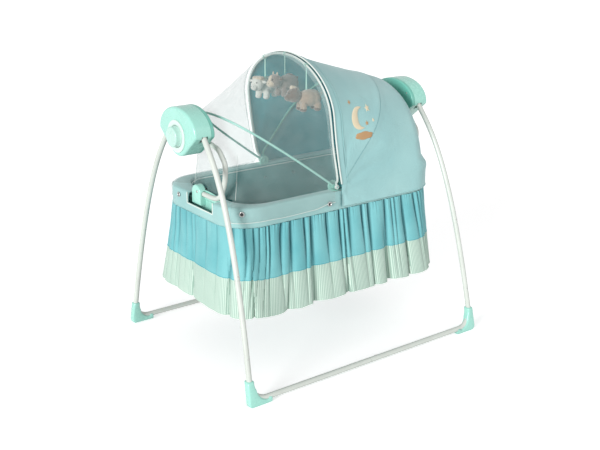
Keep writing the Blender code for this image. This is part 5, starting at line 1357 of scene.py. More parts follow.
print("rim loop", round(ring_length(0.446, 0.246, 0.12), 3), "m round")

# %% [markdown]
# ## Rim band
# The band is a padded strip that rolls over the rim tube. Its top bulges over the tube, its face is nearly
# upright, and its lower edge is sewn to the skirt. It has an opening at each end for the socket and the arm.
# Small puckers run along its seams, since thread always draws cloth in a little.

# %% The band
BAND_HALF_LENGTH = 0.446
BAND_HALF_WIDTH = 0.246
BAND_CORNER = 0.120
BAND_DROP = 0.067
BAND_FOOT = RIM_HEIGHT - BAND_DROP
NOTCH_NEAR_Y = 0.112
NOTCH_FAR_Y = 0.052
NOTCH_FOOT = 0.564
NOTCH_INNER_X = 0.389
NOTCH_BINDING_R = 0.0021
BAND_COLUMNS = 420
BAND_WEAVE_LENGTH = 2.3
PUCKER, FINE_PUCKER, PUCKER_IN = 0.0012, 0.0005, 0.0004
# How far each loop lies inside the outer one, its depth below the rim, and its share of the puckers.
BAND_SECTION = (
    (0.0640, 0.0065, 0), (0.0620, 0.0020, 0), (0.0580, 0.0003, 0), (0.0450, 0.0003, 0.3),
    (0.0280, 0.0, 0.5), (0.0120, 0.0002, 0.6), (0.0060, 0.0016, 0.7), (0.0022, 0.0052, 0.8),
    (0.0010, 0.0110, 1), (0.0006, 0.0220, 1), (0.0004, 0.0330, 1), (0.0002, 0.0450, 1),
    (0.0, 0.0560, 1), (0.0, 0.0640, 0.4), (0.0004, 0.0668, 0), (0.0028, 0.0668, 0),
    (0.0040, 0.0500, 0), (0.0046, 0.0200, 0), (0.0080, 0.0060, 0), (0.0140, 0.0034, 0),
    (0.0580, 0.0032, 0),
)


def band_loop(draw_in, height, puckers, columns=BAND_COLUMNS):
    size = (BAND_HALF_LENGTH - draw_in, BAND_HALF_WIDTH - draw_in * 0.58, BAND_CORNER - draw_in / 3)
    row = []
    for i in range(columns):
        place, out = ring_point(i / columns, *size)
        depth = wobble(place.x * 22, place.y * 22, height * 30 + 5)
        fine = wobble(place.x * 90, place.y * 90, height * 25)
        place = place + out * puckers * (depth * PUCKER + fine * FINE_PUCKER - PUCKER_IN)
        row.append(Vector((place.x, place.y, height)))
    return row


band_bm = bmesh.new()
band_rows = [band_loop(draw_in, RIM_HEIGHT - drop, puckers) for draw_in, drop, puckers in BAND_SECTION]
weave = band_bm.verts.layers.float_vector.new("weave")
grid = [[band_bm.verts.new(point) for point in row] for row in band_rows]
for r, row in enumerate(grid):
    for i, vert in enumerate(row):
        vert[weave] = (i / BAND_COLUMNS * BAND_WEAVE_LENGTH, BAND_SECTION[r][1], 0)
skin(band_bm, grid + grid[:1], True)
band = piece("rim_band_cloth", band_bm, PALE_AQUA, "cradle", ["rim_band"], sharp=70)


def box_cutter(low, high):
    bm = bmesh.new()
    bmesh.ops.create_cube(bm, size=1)
    size = [b - a for a, b in zip(low, high)]
    bmesh.ops.scale(bm, verts=bm.verts, vec=size)
    bmesh.ops.translate(bm, verts=bm.verts, vec=[(a + b) / 2 for a, b in zip(low, high)])
    return piece("cutter", bm, PALE_AQUA, None)


HINGE_X = -0.020
cutters = []
for end in ENDS.values():
    span = sorted((end * NOTCH_INNER_X, end * 0.47))
    cutters.append(box_cutter((span[0], -NOTCH_NEAR_Y, NOTCH_FOOT), (span[1], NOTCH_FAR_Y, 0.62)))
for side in SIDES.values():
    span = sorted((side * 0.2051, side * 0.2424))
    cutters.append(box_cutter((HINGE_X - 0.021, span[0], 0.5985), (HINGE_X + 0.021, span[1], 0.62)))
carve(band, cutters)
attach(band, "cradle")


def strip(points, normals, width, thick, into=None, lift=0.0):
    """A flat tape along a path: it lies across the given normals, with rounded edges."""
    rings = []
    for i, (point, normal) in enumerate(zip(points, normals)):
        after = points[min(i + 1, len(points) - 1)]
        before = points[max(i - 1, 0)]
        along = (after - before).normalized()
        normal = (normal - along * normal.dot(along)).normalized()
        side = along.cross(normal)
        centre = point + normal * (lift + thick / 2)
        ring = []
        for k in range(12):
            a = ROUND * k / 12
            across = math.copysign(abs(math.cos(a)) ** 0.35, math.cos(a)) * width / 2
            up = math.copysign(abs(math.sin(a)) ** 0.8, math.sin(a)) * thick / 2
            ring.append(centre + side * across + normal * up)
        rings.append(ring)
    return loft(rings, into=into)


bindings = bmesh.new()
for end in ENDS.values():
    x = end * (BAND_HALF_LENGTH - 0.0002)
    corners = [(-NOTCH_NEAR_Y - 0.001, 0.600), (-NOTCH_NEAR_Y - 0.001, NOTCH_FOOT - 0.001),
               (NOTCH_FAR_Y + 0.001, NOTCH_FOOT - 0.001), (NOTCH_FAR_Y + 0.001, 0.600)]
    path = []
    for (y1, z1), (y2, z2) in zip(corners, corners[1:]):
        path += [Vector((x, y1 + (y2 - y1) * k / 10, z1 + (z2 - z1) * k / 10)) for k in range(10)]
    path.append(Vector((x, *corners[-1])))
    sweep(path, NOTCH_BINDING_R, 10, into=bindings)
piece("notch_bindings", bindings, BINDING, "cradle")
seam_path = band_loop(-0.0002, BAND_FOOT + 0.0012, 0.4, 300)
piece("band_seam", sweep(seam_path + [seam_path[0]], 0.0013, 8, dome=0), PALE_AQUA, "cradle")
print("band", BAND_DROP, "m deep")

# %% [markdown]
# ## Two skirt tiers
# Each tier is a long strip gathered to the band. Gathered cloth falls in round lobes with narrow, deep
# creases between them. The creases are spaced unevenly, and some are deeper than others. Near a seam the
# folds break up into fine gathers. The places of the creases come from a seeded random row, so the skirt is
# the same each run. The outward folds are held back, most at the head end, so that the hem passes the leg
# tubes when the basket swings.

# %% Fold pattern
SKIRT_TOP = 0.5344
SKIRT_SEAM = 0.3646
SKIRT_HEM = 0.237
SKIRT_FLARE_X = 0.030
SKIRT_FLARE_Y = 0.050
WAVE_OUT = 0.016
HEAD_END_DRAW = 0.022
FOLD_MEAN = 0.60
FOLD_SHALLOW, FOLD_DEEP = 0.0085, 0.0145
BROAD_FOLD = 0.0200
BROAD_HEM_FOLD = 0.0260
GATHER_SHIFT = 0.37
SWAY = 0.0060
SKIRT_COLUMNS = 1500
SKIRT_ROWS = 56
LOOP_LENGTH = 2.24


def fold_places(seed, smallest, largest):
    """Creases round the loop, as shares of it from 0 to 1, each with a depth and a lean."""
    chance = random.Random(seed)
    places = [0.0]
    while places[-1] < LOOP_LENGTH:
        places.append(places[-1] + smallest + (largest - smallest) * chance.random() ** 1.6)
    total = places[-1]
    return [(place / total, chance.uniform(0.25, 1.0), chance.uniform(-0.45, 0.45)) for place in places]


def fold_lobe(share, folds):
    """The height of the folds from 0 in a crease to 1 on a lobe, at a share of the way round."""
    share %= 1
    low, high = 0, len(folds) - 1
    while high - low > 1:
        middle = (low + high) // 2
        if folds[middle][0] <= share:
            low = middle
        else:
            high = middle
    start, depth, lean = folds[low]
    t = (share - start) / (folds[low + 1][0] - start)
    t = min(1, max(0, t)) ** (2 ** lean)
    return 1 - depth * (1 - math.sin(math.pi * t) ** 0.75)


UPPER_FOLDS = fold_places(11, 0.015, 0.062)
LOWER_FOLDS = fold_places(29, 0.060, 0.170)
GATHERS = fold_places(5, 0.006, 0.013)


def ease(value):
    value = min(1, max(0, value))
    return value * value * (3 - 2 * value)


def fold_depth(fall):
    """How deep the folds are, by the share of the way down the upper tier."""
    return FOLD_SHALLOW + FOLD_DEEP * math.sin(math.pi * min(1, 0.10 + fall * 0.80)) ** 0.8


def skirt_point(share, height, tier):
    """A point of the skirt, by its share of the way round, its height, and the tier: upper or lower."""
    down = (SKIRT_TOP - height) / (SKIRT_TOP - SKIRT_HEM)
    turn = share * ROUND
    sway = SWAY * wobble(math.cos(turn) * 5, math.sin(turn) * 5, height * 3.5)
    upper = fold_lobe(share + sway, UPPER_FOLDS) - FOLD_MEAN
    broad = fold_lobe(share - sway, LOWER_FOLDS) - 0.5
    if tier == "upper":
        fall = (SKIRT_TOP - height) / (SKIRT_TOP - SKIRT_SEAM)
        wave = upper * fold_depth(fall) + broad * BROAD_FOLD * ease(fall)
        gather = 0.0042 * math.exp(-(SKIRT_TOP - height) / 0.040)
        gather += 0.0010 * math.exp(-(height - SKIRT_SEAM) / 0.012)
    else:
        fall = (SKIRT_SEAM - height) / (SKIRT_SEAM - SKIRT_HEM)
        wave = upper * fold_depth(1) * (1 - 0.30 * fall) + broad * (BROAD_FOLD + BROAD_HEM_FOLD * fall)
        gather = 0.0014 * math.exp(-(SKIRT_SEAM - height) / 0.010)
    for shift in (GATHER_SHIFT + sway, 0):
        wave += (fold_lobe(share + shift, GATHERS) - FOLD_MEAN) * gather
    half_length = BAND_HALF_LENGTH - 0.0024 + SKIRT_FLARE_X * down - 0.006 * ease(down * 3)
    half_width = BAND_HALF_WIDTH - 0.0024 + SKIRT_FLARE_Y * down
    place, out = ring_point(share, half_length, half_width, BAND_CORNER)
    calm = 1 - 0.35 * abs(out.x)
    if wave > 0:
        wave = WAVE_OUT * (1 - math.exp(-wave / WAVE_OUT))
    place = place + out * wave * calm
    if place.x > 0:
        place.x -= HEAD_END_DRAW * down * place.x / half_length
    return Vector((place.x, place.y, height))


print("folds", len(UPPER_FOLDS), len(LOWER_FOLDS), "gathers", len(GATHERS))

# %% [markdown]
# ## Hanging the tiers
# The upper tier is turquoise, and the lower one a pale pin-striped cloth, sewn under its edge. The hem isn't
# level: it dips and rises a few millimetres with the folds, and ends in a fine overlocked edge.

# %% The tiers
HEM_DIP = 0.0035


def tier_rows(top, foot, tier, uneven):
    rows = []
    for r in range(SKIRT_ROWS + 1):
        share_down = r / SKIRT_ROWS
        row = []
        for i in range(SKIRT_COLUMNS):
            share = i / SKIRT_COLUMNS
            point = skirt_point(share, top + (foot - top) * share_down, tier)
            dip = wobble(math.cos(share * ROUND) * 9, math.sin(share * ROUND) * 9, 3)
            point.z += uneven * share_down**3 * dip
            row.append(point)
        rows.append(row)
    return rows


upper_rows = tier_rows(SKIRT_TOP, SKIRT_SEAM, "upper", 0.0)
# The last pair of numbers sets how strongly each tier's creases are painted with shade, at its top and at its
# foot.
upper, upper_width, upper_drop = sheet_piece(
    "upper_skirt_cloth", upper_rows, TURQUOISE_CLOTH, "cradle", ["skirt_upper"], True,
    (1.0, 0.25))
lower_rows = tier_rows(SKIRT_SEAM, SKIRT_HEM + HEM_DIP, "lower", HEM_DIP)
lower, lower_width, lower_drop = sheet_piece(
    "lower_skirt_cloth", lower_rows, SAGE_CLOTH, "cradle", ["skirt_lower"], True, (0.45, 0.25))


def edge_cord(name, row, radius, material, step=2):
    """A thin sewn edge of the basket that follows a row of points round."""
    path = row[::step]
    return piece(name, sweep(path + [path[0]], radius, 6, dome=0), material, "cradle")


SAGE_EDGE = cloth("sage_edge", linear(206, 226, 212), linear(190, 212, 198), 0.8, 0.3)
TURQUOISE_EDGE = cloth("turquoise_edge", linear(86, 176, 186), linear(70, 160, 172), 0.7, 0.3)
hem_edge = edge_cord("skirt_hem_edge", lower_rows[-1], 0.0010, SAGE_EDGE)
tier_seam = edge_cord("tier_seam_edge", upper_rows[-1], 0.0012, TURQUOISE_EDGE)
print("upper tier", round(upper_width, 2), "x", round(upper_drop, 3), "lower", round(lower_width, 2))

# %% [markdown]
# ## Mesh liner
# Inside the band hangs a tub of knitted mesh with a bound top edge. The mesh hangs a little slack between the
# rim and the floor board, so its sides belly in by a few millimetres. Round press snaps hold it to the rim.

# %% The liner
LINER_TOP = (0.3800, 0.2090, 0.0970)
LINER_FOOT = (0.3540, 0.1850, 0.0990)
LINER_TOP_Z = 0.5950
LINER_FOOT_Z = 0.3765
LINER_ROWS = 40
LINER_COLUMNS = 360
# Sections of a press snap, as (height, share of its radius).
SNAP_RIM = ((-0.001, 0.9), (0, 1), (0.0016, 1), (0.0026, 0.88), (0.0026, 0.68), (0.0012, 0.60),
            (0.0010, 0.56), (-0.001, 0.54))
SNAP_EYE = ((-0.001, 0), (-0.001, 0.58), (0.0009, 0.58), (0.0014, 0.20), (0.0014, 0))
LINER_SNAP_R = 0.0062
BAND_SNAP_R = 0.0090


def liner_point(share, fall):
    size = [a + (b - a) * fall for a, b in zip(LINER_TOP, LINER_FOOT)]
    place, out = ring_point(share, *size)
    slack = math.sin(math.pi * fall) ** 0.8
    soft = wobble(place.x * 7, place.y * 7, fall * 2.5)
    fine = wobble(place.x * 26, place.y * 26, fall * 6)
    place = place - out * slack * (0.0050 + 0.0045 * soft + 0.0012 * fine)
    return Vector((place.x, place.y, LINER_TOP_Z + (LINER_FOOT_Z - LINER_TOP_Z) * fall))


liner_rows = [[liner_point(i / LINER_COLUMNS, r / LINER_ROWS) for i in range(LINER_COLUMNS)]
              for r in range(LINER_ROWS + 1)]
for share in (0.8, 0.55, 0.3, 0.1):
    size = [value * share for value in LINER_FOOT]
    liner_rows.append([Vector((*ring_point(i / LINER_COLUMNS, *size)[0], LINER_FOOT_Z))
                       for i in range(LINER_COLUMNS)])
liner, _, _ = sheet_piece("mesh_liner", liner_rows, MESH_CLOTH, "cradle", ["basket_liner"], True)
liner_edge = edge_cord("liner_binding", liner_rows[1], 0.0022, BINDING, 1)


def snaps(name, places, radius):
    """A row of press snaps, each with a flat rim round a dark sunk middle, as two pieces."""
    rim, middle = ([(along, radius * share) for along, share in section] for section in (SNAP_RIM, SNAP_EYE))
    rims, eyes = bmesh.new(), bmesh.new()
    for place, axis in places:
        lathe(rim, place, axis, 24, into=rims)
        lathe(middle, place, axis, 20, into=eyes)
    piece(name + "_snaps", rims, STEEL, "cradle", sharp=60)
    piece(name + "_snap_eyes", eyes, BLACK, "cradle", sharp=60)


snaps("liner", [((x, side * 0.2015, 0.548), (0, -side, 0))
                for x in (-0.285, -0.153, -0.021, 0.111, 0.243) for side in SIDES.values()], LINER_SNAP_R)
band_places = [((-0.4470, 0.108, 0.580), (-1, 0, 0))]
for x, y, z in ((-0.064, 0.2500, 0.563), (0.3075, 0.2466, 0.560)):
    band_places += [((x, side * y, z), (0, side, 0)) for side in SIDES.values()]
for side in SIDES.values():
    place, out = ring_point(0.5 - side * 0.092, BAND_HALF_LENGTH + 0.0035, BAND_HALF_WIDTH + 0.0035,
                            BAND_CORNER)
    band_places.append(((place.x, place.y, 0.584), (out.x, out.y, 0)))
snaps("band", band_places, BAND_SNAP_R)

# %% [markdown]
# ## Mattress
# The mattress is a thin foam pad in a ticking cover. Pressing air into a slack cover makes it swell between
# its edges, which is what a short cloth simulation does here: the mesh is remeshed evenly, blown up a little
# without gravity, and its movement is capped. Afterwards the sewn channels and the tufts are pressed in.

# %% The mattress
MATTRESS_HALF_LENGTH = 0.3510
MATTRESS_HALF_WIDTH = 0.1820
MATTRESS_LOW = 0.3857
MATTRESS_HIGH = 0.4320
START_INSET = 0.007
VOXEL = 0.006
PUFF_CAP = 0.009
CHANNEL_STEP = 0.088
CHANNEL_DEPTH, TUFT_DEPTH = 0.0022, 0.0030
PAD_EDGE = 0.012
PAD_FILL_SHARE = 0.998
PAD_PIPING_IN = 0.0035


def pad_rings(inset_by):
    rings = []
    low, high = MATTRESS_LOW + inset_by / 2, MATTRESS_HIGH - inset_by
    for draw_in, height in ((0.05, low), (0.012, low), (0.003, low + 0.004), (0, low + 0.012),
                            (0, high - 0.012), (0.004, high - 0.003), (0.014, high), (0.05, high)):
        size = (MATTRESS_HALF_LENGTH - inset_by - draw_in, MATTRESS_HALF_WIDTH - inset_by - draw_in,
                0.095 - draw_in / 2)
        rings.append([Vector((*ring_point(i / 160, *size)[0], height)) for i in range(160)])
    return rings


pad = piece("mattress_pad", loft(pad_rings(START_INSET)), TICKING, None)
remesh = pad.modifiers.new("even", "REMESH")
remesh.mode = "VOXEL"
remesh.voxel_size = VOXEL
settled(pad)
start_places = [vert.co.copy() for vert in pad.data.vertices]
puff = pad.modifiers.new("puff", "CLOTH")
puff.settings.use_pressure = True
puff.settings.uniform_pressure_force = 4
puff.settings.effector_weights.gravity = 0
puff.settings.quality = 5
puff.collision_settings.use_collision = False
for frame_number in range(1, 21):
    scene.frame_set(frame_number)
settled(pad)
scene.frame_set(1)
for vert, start_place in zip(pad.data.vertices, start_places):
    move = vert.co - start_place
    if move.length > PUFF_CAP:
        vert.co = start_place + move.normalized() * PUFF_CAP
finer = pad.modifiers.new("finer", "SUBSURF")
finer.levels = 1
settled(pad)
for vert in pad.data.vertices:
    co = vert.co
    if co.z > MATTRESS_LOW + 0.026:
        first = abs(math.sin(math.pi * (co.x + co.y) / CHANNEL_STEP))
        second = abs(math.sin(math.pi * (co.x - co.y) / CHANNEL_STEP))
        edge = ease((MATTRESS_HALF_WIDTH - PAD_EDGE - abs(co.y)) / 0.02) * ease(
            (MATTRESS_HALF_LENGTH - PAD_EDGE - abs(co.x)) / 0.02)
        groove = CHANNEL_DEPTH * math.exp(-(min(first, second) / 0.09) ** 2)
        tuft = TUFT_DEPTH * math.exp(-(first * first + second * second) / 0.05)
        vert.co.z -= (groove + tuft) * edge
    vert.co.z = min(MATTRESS_HIGH + 0.0016, max(MATTRESS_LOW + 0.0002, vert.co.z))
    reach = max(abs(co.x) / MATTRESS_HALF_LENGTH, abs(co.y) / MATTRESS_HALF_WIDTH)
    if reach > PAD_FILL_SHARE:
        vert.co.x *= PAD_FILL_SHARE / reach
        vert.co.y *= PAD_FILL_SHARE / reach
layer = pad.data.attributes.new("weave", "FLOAT_VECTOR", "POINT")
for vert, value in zip(pad.data.vertices, layer.data):
    value.vector = (vert.co.x, vert.co.y + vert.co.z, 0)
pad.data.materials.clear()
pad.data.materials.append(TICKING)
pad.data.shade_smooth()
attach(pad, "cradle")
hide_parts("mattress")
size = (MATTRESS_HALF_LENGTH - PAD_PIPING_IN, MATTRESS_HALF_WIDTH - PAD_PIPING_IN, 0.0935)
piping_path = [Vector((*ring_point(i / 200, *size)[0], MATTRESS_HIGH - 0.0075)) for i in range(200)]
piece("mattress_piping", sweep(piping_path + [piping_path[0]], 0.0022, 8, dome=0), BINDING, "cradle")
print("mattress points", len(pad.data.vertices))

# %% [markdown]
# ## The hood's shape
# The hood is one skin over three bows. In plan it runs along the near side, round a corner, across the head
# end, and back along the far side. Each upright slice of it is an arch: a straight side, and above it part of
# an ellipse. The spring, where the arch starts to bend, falls from high at the front to the rim at the back.

# %% Hood skin
HOOD_TOP = 1.050
HOOD_TOP_X = -0.070
HOOD_END_TOP = 0.908
HOOD_END_X = 0.402
HOOD_HALF_WIDTH = 0.2515
HOOD_HEM = 0.545
HOOD_CORNER_X = 0.330
HOOD_FRONT_SPRING = 0.860
HOOD_END_SPRING = 0.605
HOOD_FLARE_START = 0.250
HOOD_RIM_X = 0.449
HOOD_FLARE_HIGH = 0.668
HOOD_SIDE_SHARE = 0.80
HOOD_FIRST_SHARE = 0.018
RIDGE_ROUND_SHARE = 0.60
RIDGE_DROP_SHARE = 0.75
ARCH_SIDE = 3 / 18
HINGE_Z = 0.612
BOW_R = 0.004
BOW_SET_IN = 0.0057
REAR_ANGLE = math.radians(50)
HINGE = Vector((HINGE_X, 0, HINGE_Z))
REAR_NORMAL = Vector((math.sin(REAR_ANGLE), 0, -math.cos(REAR_ANGLE)))


def front_edge_x(height):
    share = min(1, max(0, (HOOD_TOP - height) / (HOOD_TOP - HINGE_Z)))
    return HOOD_TOP_X + (HINGE_X - HOOD_TOP_X) * share * share


def arch(t, half_width, base, top, spring):
    """An arch in (y, z), from the near foot at 0 to the far foot at 1."""
    if t <= ARCH_SIDE:
        return -half_width, base + (spring - base) * t / ARCH_SIDE
    if t >= 1 - ARCH_SIDE:
        return half_width, base + (spring - base) * (1 - t) / ARCH_SIDE
    a = math.pi * (t - ARCH_SIDE) / (1 - 2 * ARCH_SIDE)
    return -half_width * math.cos(a), spring + (top - spring) * math.sin(a)


def round_corner(x, y, amount):
    """Draws a point that stands past the rim's round corner in onto it, by an amount from 0 to 1."""
    inner_x, inner_y = BAND_HALF_LENGTH + 0.0045 - BAND_CORNER, BAND_HALF_WIDTH + 0.0055 - BAND_CORNER
    over = Vector((x - inner_x, abs(y) - inner_y))
    if over.x <= 0 or over.y <= 0 or over.length <= BAND_CORNER:
        return x, y
    over = over.lerp(over * (BAND_CORNER / over.length), amount)
    return inner_x + over.x, math.copysign(inner_y + over.y, y)


def hood_point(q, t, draw_in=0.0):
    """The skin, by its share along from the front edge to the end panel, and its share across."""
    corner = HOOD_END_X - HOOD_CORNER_X
    half_width = HOOD_HALF_WIDTH - draw_in
    if q <= HOOD_SIDE_SHARE:
        x = HOOD_TOP_X + (HOOD_CORNER_X - HOOD_TOP_X) * q / HOOD_SIDE_SHARE
    else:
        a = QUARTER * (q - HOOD_SIDE_SHARE) / (1 - HOOD_SIDE_SHARE)
        x = HOOD_CORNER_X + (corner - draw_in) * math.sin(a)
        half_width -= corner * (1 - math.cos(a))
    sunk = HOOD_HALF_WIDTH - draw_in - half_width
    ridge_x = min(x, HOOD_CORNER_X + corner * RIDGE_ROUND_SHARE)
    ridge = HOOD_TOP + (HOOD_END_TOP - HOOD_TOP) * (ridge_x - HOOD_TOP_X) / (HOOD_END_X - HOOD_TOP_X)
    share = min(1, max(0, (x - HOOD_TOP_X) / (HOOD_END_X - HOOD_TOP_X)))
    spring = HOOD_FRONT_SPRING + (HOOD_END_SPRING - HOOD_FRONT_SPRING) * share
    y, z = arch(t, half_width, HOOD_HEM, ridge - sunk * RIDGE_DROP_SHARE - draw_in, spring)
    low = min(1, max(0, (HOOD_FLARE_HIGH - z) / (HOOD_FLARE_HIGH - HOOD_END_SPRING)))
    if x > HOOD_FLARE_START:
        stretch_by = (HOOD_RIM_X - HOOD_FLARE_START) / (HOOD_END_X - HOOD_FLARE_START)
        x = HOOD_FLARE_START + (x - HOOD_FLARE_START) * (1 + (stretch_by - 1) * low)
        x, y = round_corner(x, y, low)
    x += (front_edge_x(z) - HOOD_TOP_X) * max(0, 1 - q / HOOD_SIDE_SHARE)
    return Vector((x, y, z))


print("hood ridge falls from", HOOD_TOP, "to", HOOD_END_TOP)

# %% [markdown]
# ## Wrinkles
# A sewn hood is pulled tight over its bows and sags a little between them. Short folds fan out from the
# hinges, where the cloth is drawn together, and the hem puckers over the rim. Moving each point along the
# skin's normal by a few slow and fast noises gives this, and the point order stays the same.

# %% Hood mesh
HOOD_UPS = 96
HOOD_ALONGS = 110
HOOD_PANEL = 40
HOOD_SLOW, HOOD_FAST = 0.0016, 0.0005
FAN_DEPTH, FAN_REACH, FAN_START = 0.0030, 0.16, 0.03
FRONT_ANGLE = math.radians(96)
FRONT_SAG, REAR_SAG, SAG_WIDTH = 0.0040, 0.0035, 0.15
BOW_RIDGE, BOW_RIDGE_WIDTH = 0.0008, 0.020
HEM_PUCKER, HEM_REACH = 0.0014, 0.030


def hood_wrinkle(point):
    """How far the cloth stands off the plain skin: wrinkles, the fan at the hinge, sags, bow and hem."""
    arm = point - HINGE
    radius = math.hypot(arm.x, arm.z)
    angle = math.atan2(arm.z, arm.x)
    slow = wobble(point.x * 6, point.y * 6, point.z * 6)
    fast = wobble(point.x * 20, point.y * 20, point.z * 20)
    depth = HOOD_SLOW * slow + HOOD_FAST * fast
    if abs(point.y) > 0.2:
        fan = math.sin(angle * 13 + 2.5 * wobble(angle * 2, radius * 7, 1))
        depth += FAN_DEPTH * fan * math.exp(-radius / FAN_REACH) * ease(radius / FAN_START)
    angle_share = (FRONT_ANGLE - angle) / (FRONT_ANGLE - REAR_ANGLE)
    if 0 < angle_share < 1:
        depth -= FRONT_SAG * math.sin(math.pi * angle_share) * ease((radius - 0.12) / SAG_WIDTH)
    if angle < REAR_ANGLE and point.z > 0.62:
        behind = min(1, max(0, 1 - angle / REAR_ANGLE))
        depth -= REAR_SAG * math.sin(math.pi * behind) * ease((radius - 0.15) / SAG_WIDTH)
    near_bow = math.exp(-((REAR_NORMAL.dot(arm) + 0.002) / BOW_RIDGE_WIDTH) ** 2)
    depth = depth * (1 - near_bow) + BOW_RIDGE * near_bow
    hem = math.exp(-(point.z - HOOD_HEM) / HEM_REACH)
    pucker = wobble(point.x * 45, point.y * 45, 2)
    return depth + hem * HEM_PUCKER * pucker


def hood_columns(first_q):
    """The (q, part, share of the panel) of each column of the skin, from near front to far front."""
    columns = [(first_q + (1 - first_q) * i / HOOD_ALONGS, "near", 0) for i in range(HOOD_ALONGS + 1)]
    columns += [(1, "panel", k / HOOD_PANEL) for k in range(1, HOOD_PANEL)]
    columns += [(q, "far", 0) for q, _, _ in reversed(columns[:HOOD_ALONGS + 1])]
    return columns


def skin_place(q, part, share, up):
    t = 0.5 * up
    if part == "near":
        return hood_point(q, t)
    if part == "far":
        return hood_point(q, 1 - t)
    return hood_point(1, t).lerp(hood_point(1, 1 - t), share)


hood_bm = bmesh.new()
weave = hood_bm.verts.layers.float_vector.new("weave")
hood_grid = []
for j in range(HOOD_UPS + 1):
    up = (j / HOOD_UPS) ** 0.92
    row = []
    run = 0.0
    for i, column in enumerate(hood_columns(HOOD_FIRST_SHARE)):
        vert = hood_bm.verts.new(skin_place(*column, up))
        if i:
            run += (vert.co - row[-1].co).length
        vert[weave] = (run, up * 0.5, 0)
        row.append(vert)
    hood_grid.append(row)
skin(hood_bm, hood_grid, False)
bmesh.ops.remove_doubles(hood_bm, verts=hood_bm.verts, dist=0.0002)
bmesh.ops.recalc_face_normals(hood_bm, faces=hood_bm.faces)
hood_bm.normal_update()
sample = max(hood_bm.verts, key=lambda vert: vert.co.z)
outward = 1 if sample.normal.z > 0 else -1
moves = [(vert, vert.normal * outward * hood_wrinkle(vert.co)) for vert in hood_bm.verts]
for vert, move in moves:
    vert.co += move
if outward < 0:
    bmesh.ops.reverse_faces(hood_bm, faces=hood_bm.faces)
hood_bm.normal_update()
skin_normal = hood_bm.verts.layers.float_vector.new("skin_normal")
for vert in hood_bm.verts:
    vert[skin_normal] = vert.normal
print("hood points", len(hood_bm.verts))

# %% [markdown]
# ## Two hood cloths
# The skin is parted along the rear bow into a front part and a rear part. Both parts keep the normals of
# the whole skin, so at rest the light runs across the line as on one sheet. The opening for the socket at
# the head end is cut straight. Each part is baked in place and rides on no body. Just inside it lies a
# second sheet in a deeper teal, which paints the shade inside the hood.

# %% Cut the hood
HOOD_CLOTH = cloth("hood_satin", linear(168, 210, 209), linear(150, 196, 197), 0.50, 0.35, 5)
# The sheets inside the hood are painted a deeper teal for the shade inside it.
INSIDE_SHADE_CLOTH = cloth("hood_inside_painted_shade", linear(72, 176, 186), linear(56, 156, 168), 0.7, 0.05, 5)
HOOD_NOTCH = (0.389, -0.160, 0.052, 0.662)
PARTING = 0.0006
INSIDE_SHADE_GAP = 0.0014


def hood_part(name, front):
    bm = hood_bm.copy()
    geom = bm.verts[:] + bm.edges[:] + bm.faces[:]
    place = HINGE + REAR_NORMAL * (-PARTING if front else PARTING)
    bmesh.ops.bisect_plane(bm, geom=geom, plane_co=place, plane_no=REAR_NORMAL, clear_outer=front,
                           clear_inner=not front)
    if not front:
        low_x, low_y, high_y, high_z = HOOD_NOTCH
        for co, no in (((0, low_y, 0), (0, 1, 0)), ((0, high_y, 0), (0, 1, 0)), ((0, 0, high_z), (0, 0, 1))):
            geom = bm.verts[:] + bm.edges[:] + bm.faces[:]
            bmesh.ops.bisect_plane(bm, geom=geom, plane_co=co, plane_no=no)
        gone = []
        for face in bm.faces:
            centre = face.calc_center_median()
            if centre.x > low_x and low_y < centre.y < high_y and centre.z < high_z:
                gone.append(face)
        bmesh.ops.delete(bm, geom=gone, context="FACES")
    mesh = bpy.data.meshes.new(name)
    bm.to_mesh(mesh)
    bm.free()
    item = bpy.data.objects.new(name, mesh)
    scene.collection.objects.link(item)
    mesh.shade_smooth()
    normals = [tuple(value.vector) for value in mesh.attributes["skin_normal"].data]
    mesh.normals_split_custom_set_from_vertices(normals)
    mesh.attributes.remove(mesh.attributes["skin_normal"])
    mesh.materials.append(HOOD_CLOTH)
    return item


rear_cloth = hood_part("hood_rear_cloth", False)
front_cloth = hood_part("hood_front_cloth", True)
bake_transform(rear_cloth)
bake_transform(front_cloth)
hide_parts("hood_rear_panel")
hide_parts("hood_front_panel")


def shaded_inside_of(item, name):
    """A sheet just inside a hood cloth, in a deeper teal, which paints the shade inside the hood."""
    mesh = item.data.copy()
    moved = [vert.co - vert.normal * INSIDE_SHADE_GAP for vert in mesh.vertices]
    for vert, place in zip(mesh.vertices, moved):
        vert.co = place
    mesh.materials.clear()
    mesh.materials.append(INSIDE_SHADE_CLOTH)
    inside_sheet = bpy.data.objects.new(name, mesh)
    scene.collection.objects.link(inside_sheet)
    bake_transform(inside_sheet)
    return inside_sheet


# Sheets just inside the hood's cloths, painted with the shade inside the hood.
rear_inside_shade = shaded_inside_of(rear_cloth, "hood_rear_inside_shade")
front_inside_shade = shaded_inside_of(front_cloth, "hood_front_inside_shade")

# %% [markdown]
# ## Piping, facing and hem
# A facing strip folds round the front bow, edged by a white piping between two dark cords. The hood's hem
# has a bound edge that follows the skin. These trims hide the cut edge of each sheet.

# %% Trims of the hood
def skin_run(q, first, last, steps, lift):
    """A path over the hood at one share of its length, and its outward normals."""
    points, normals = [], []
    for i in range(steps + 1):
        t = first + (last - first) * i / steps
        here = hood_point(q, t)
        along = hood_point(q, min(1, t + 0.002)) - hood_point(q, max(0, t - 0.002))
        forward = hood_point(min(1, q + 0.01), t) - here
        out = along.cross(forward).normalized()
        if out.dot(here - Vector((0.15, 0, 0.65))) < 0:
            out.negate()
        points.append(here + out * lift)
        normals.append(out)
    return points, normals


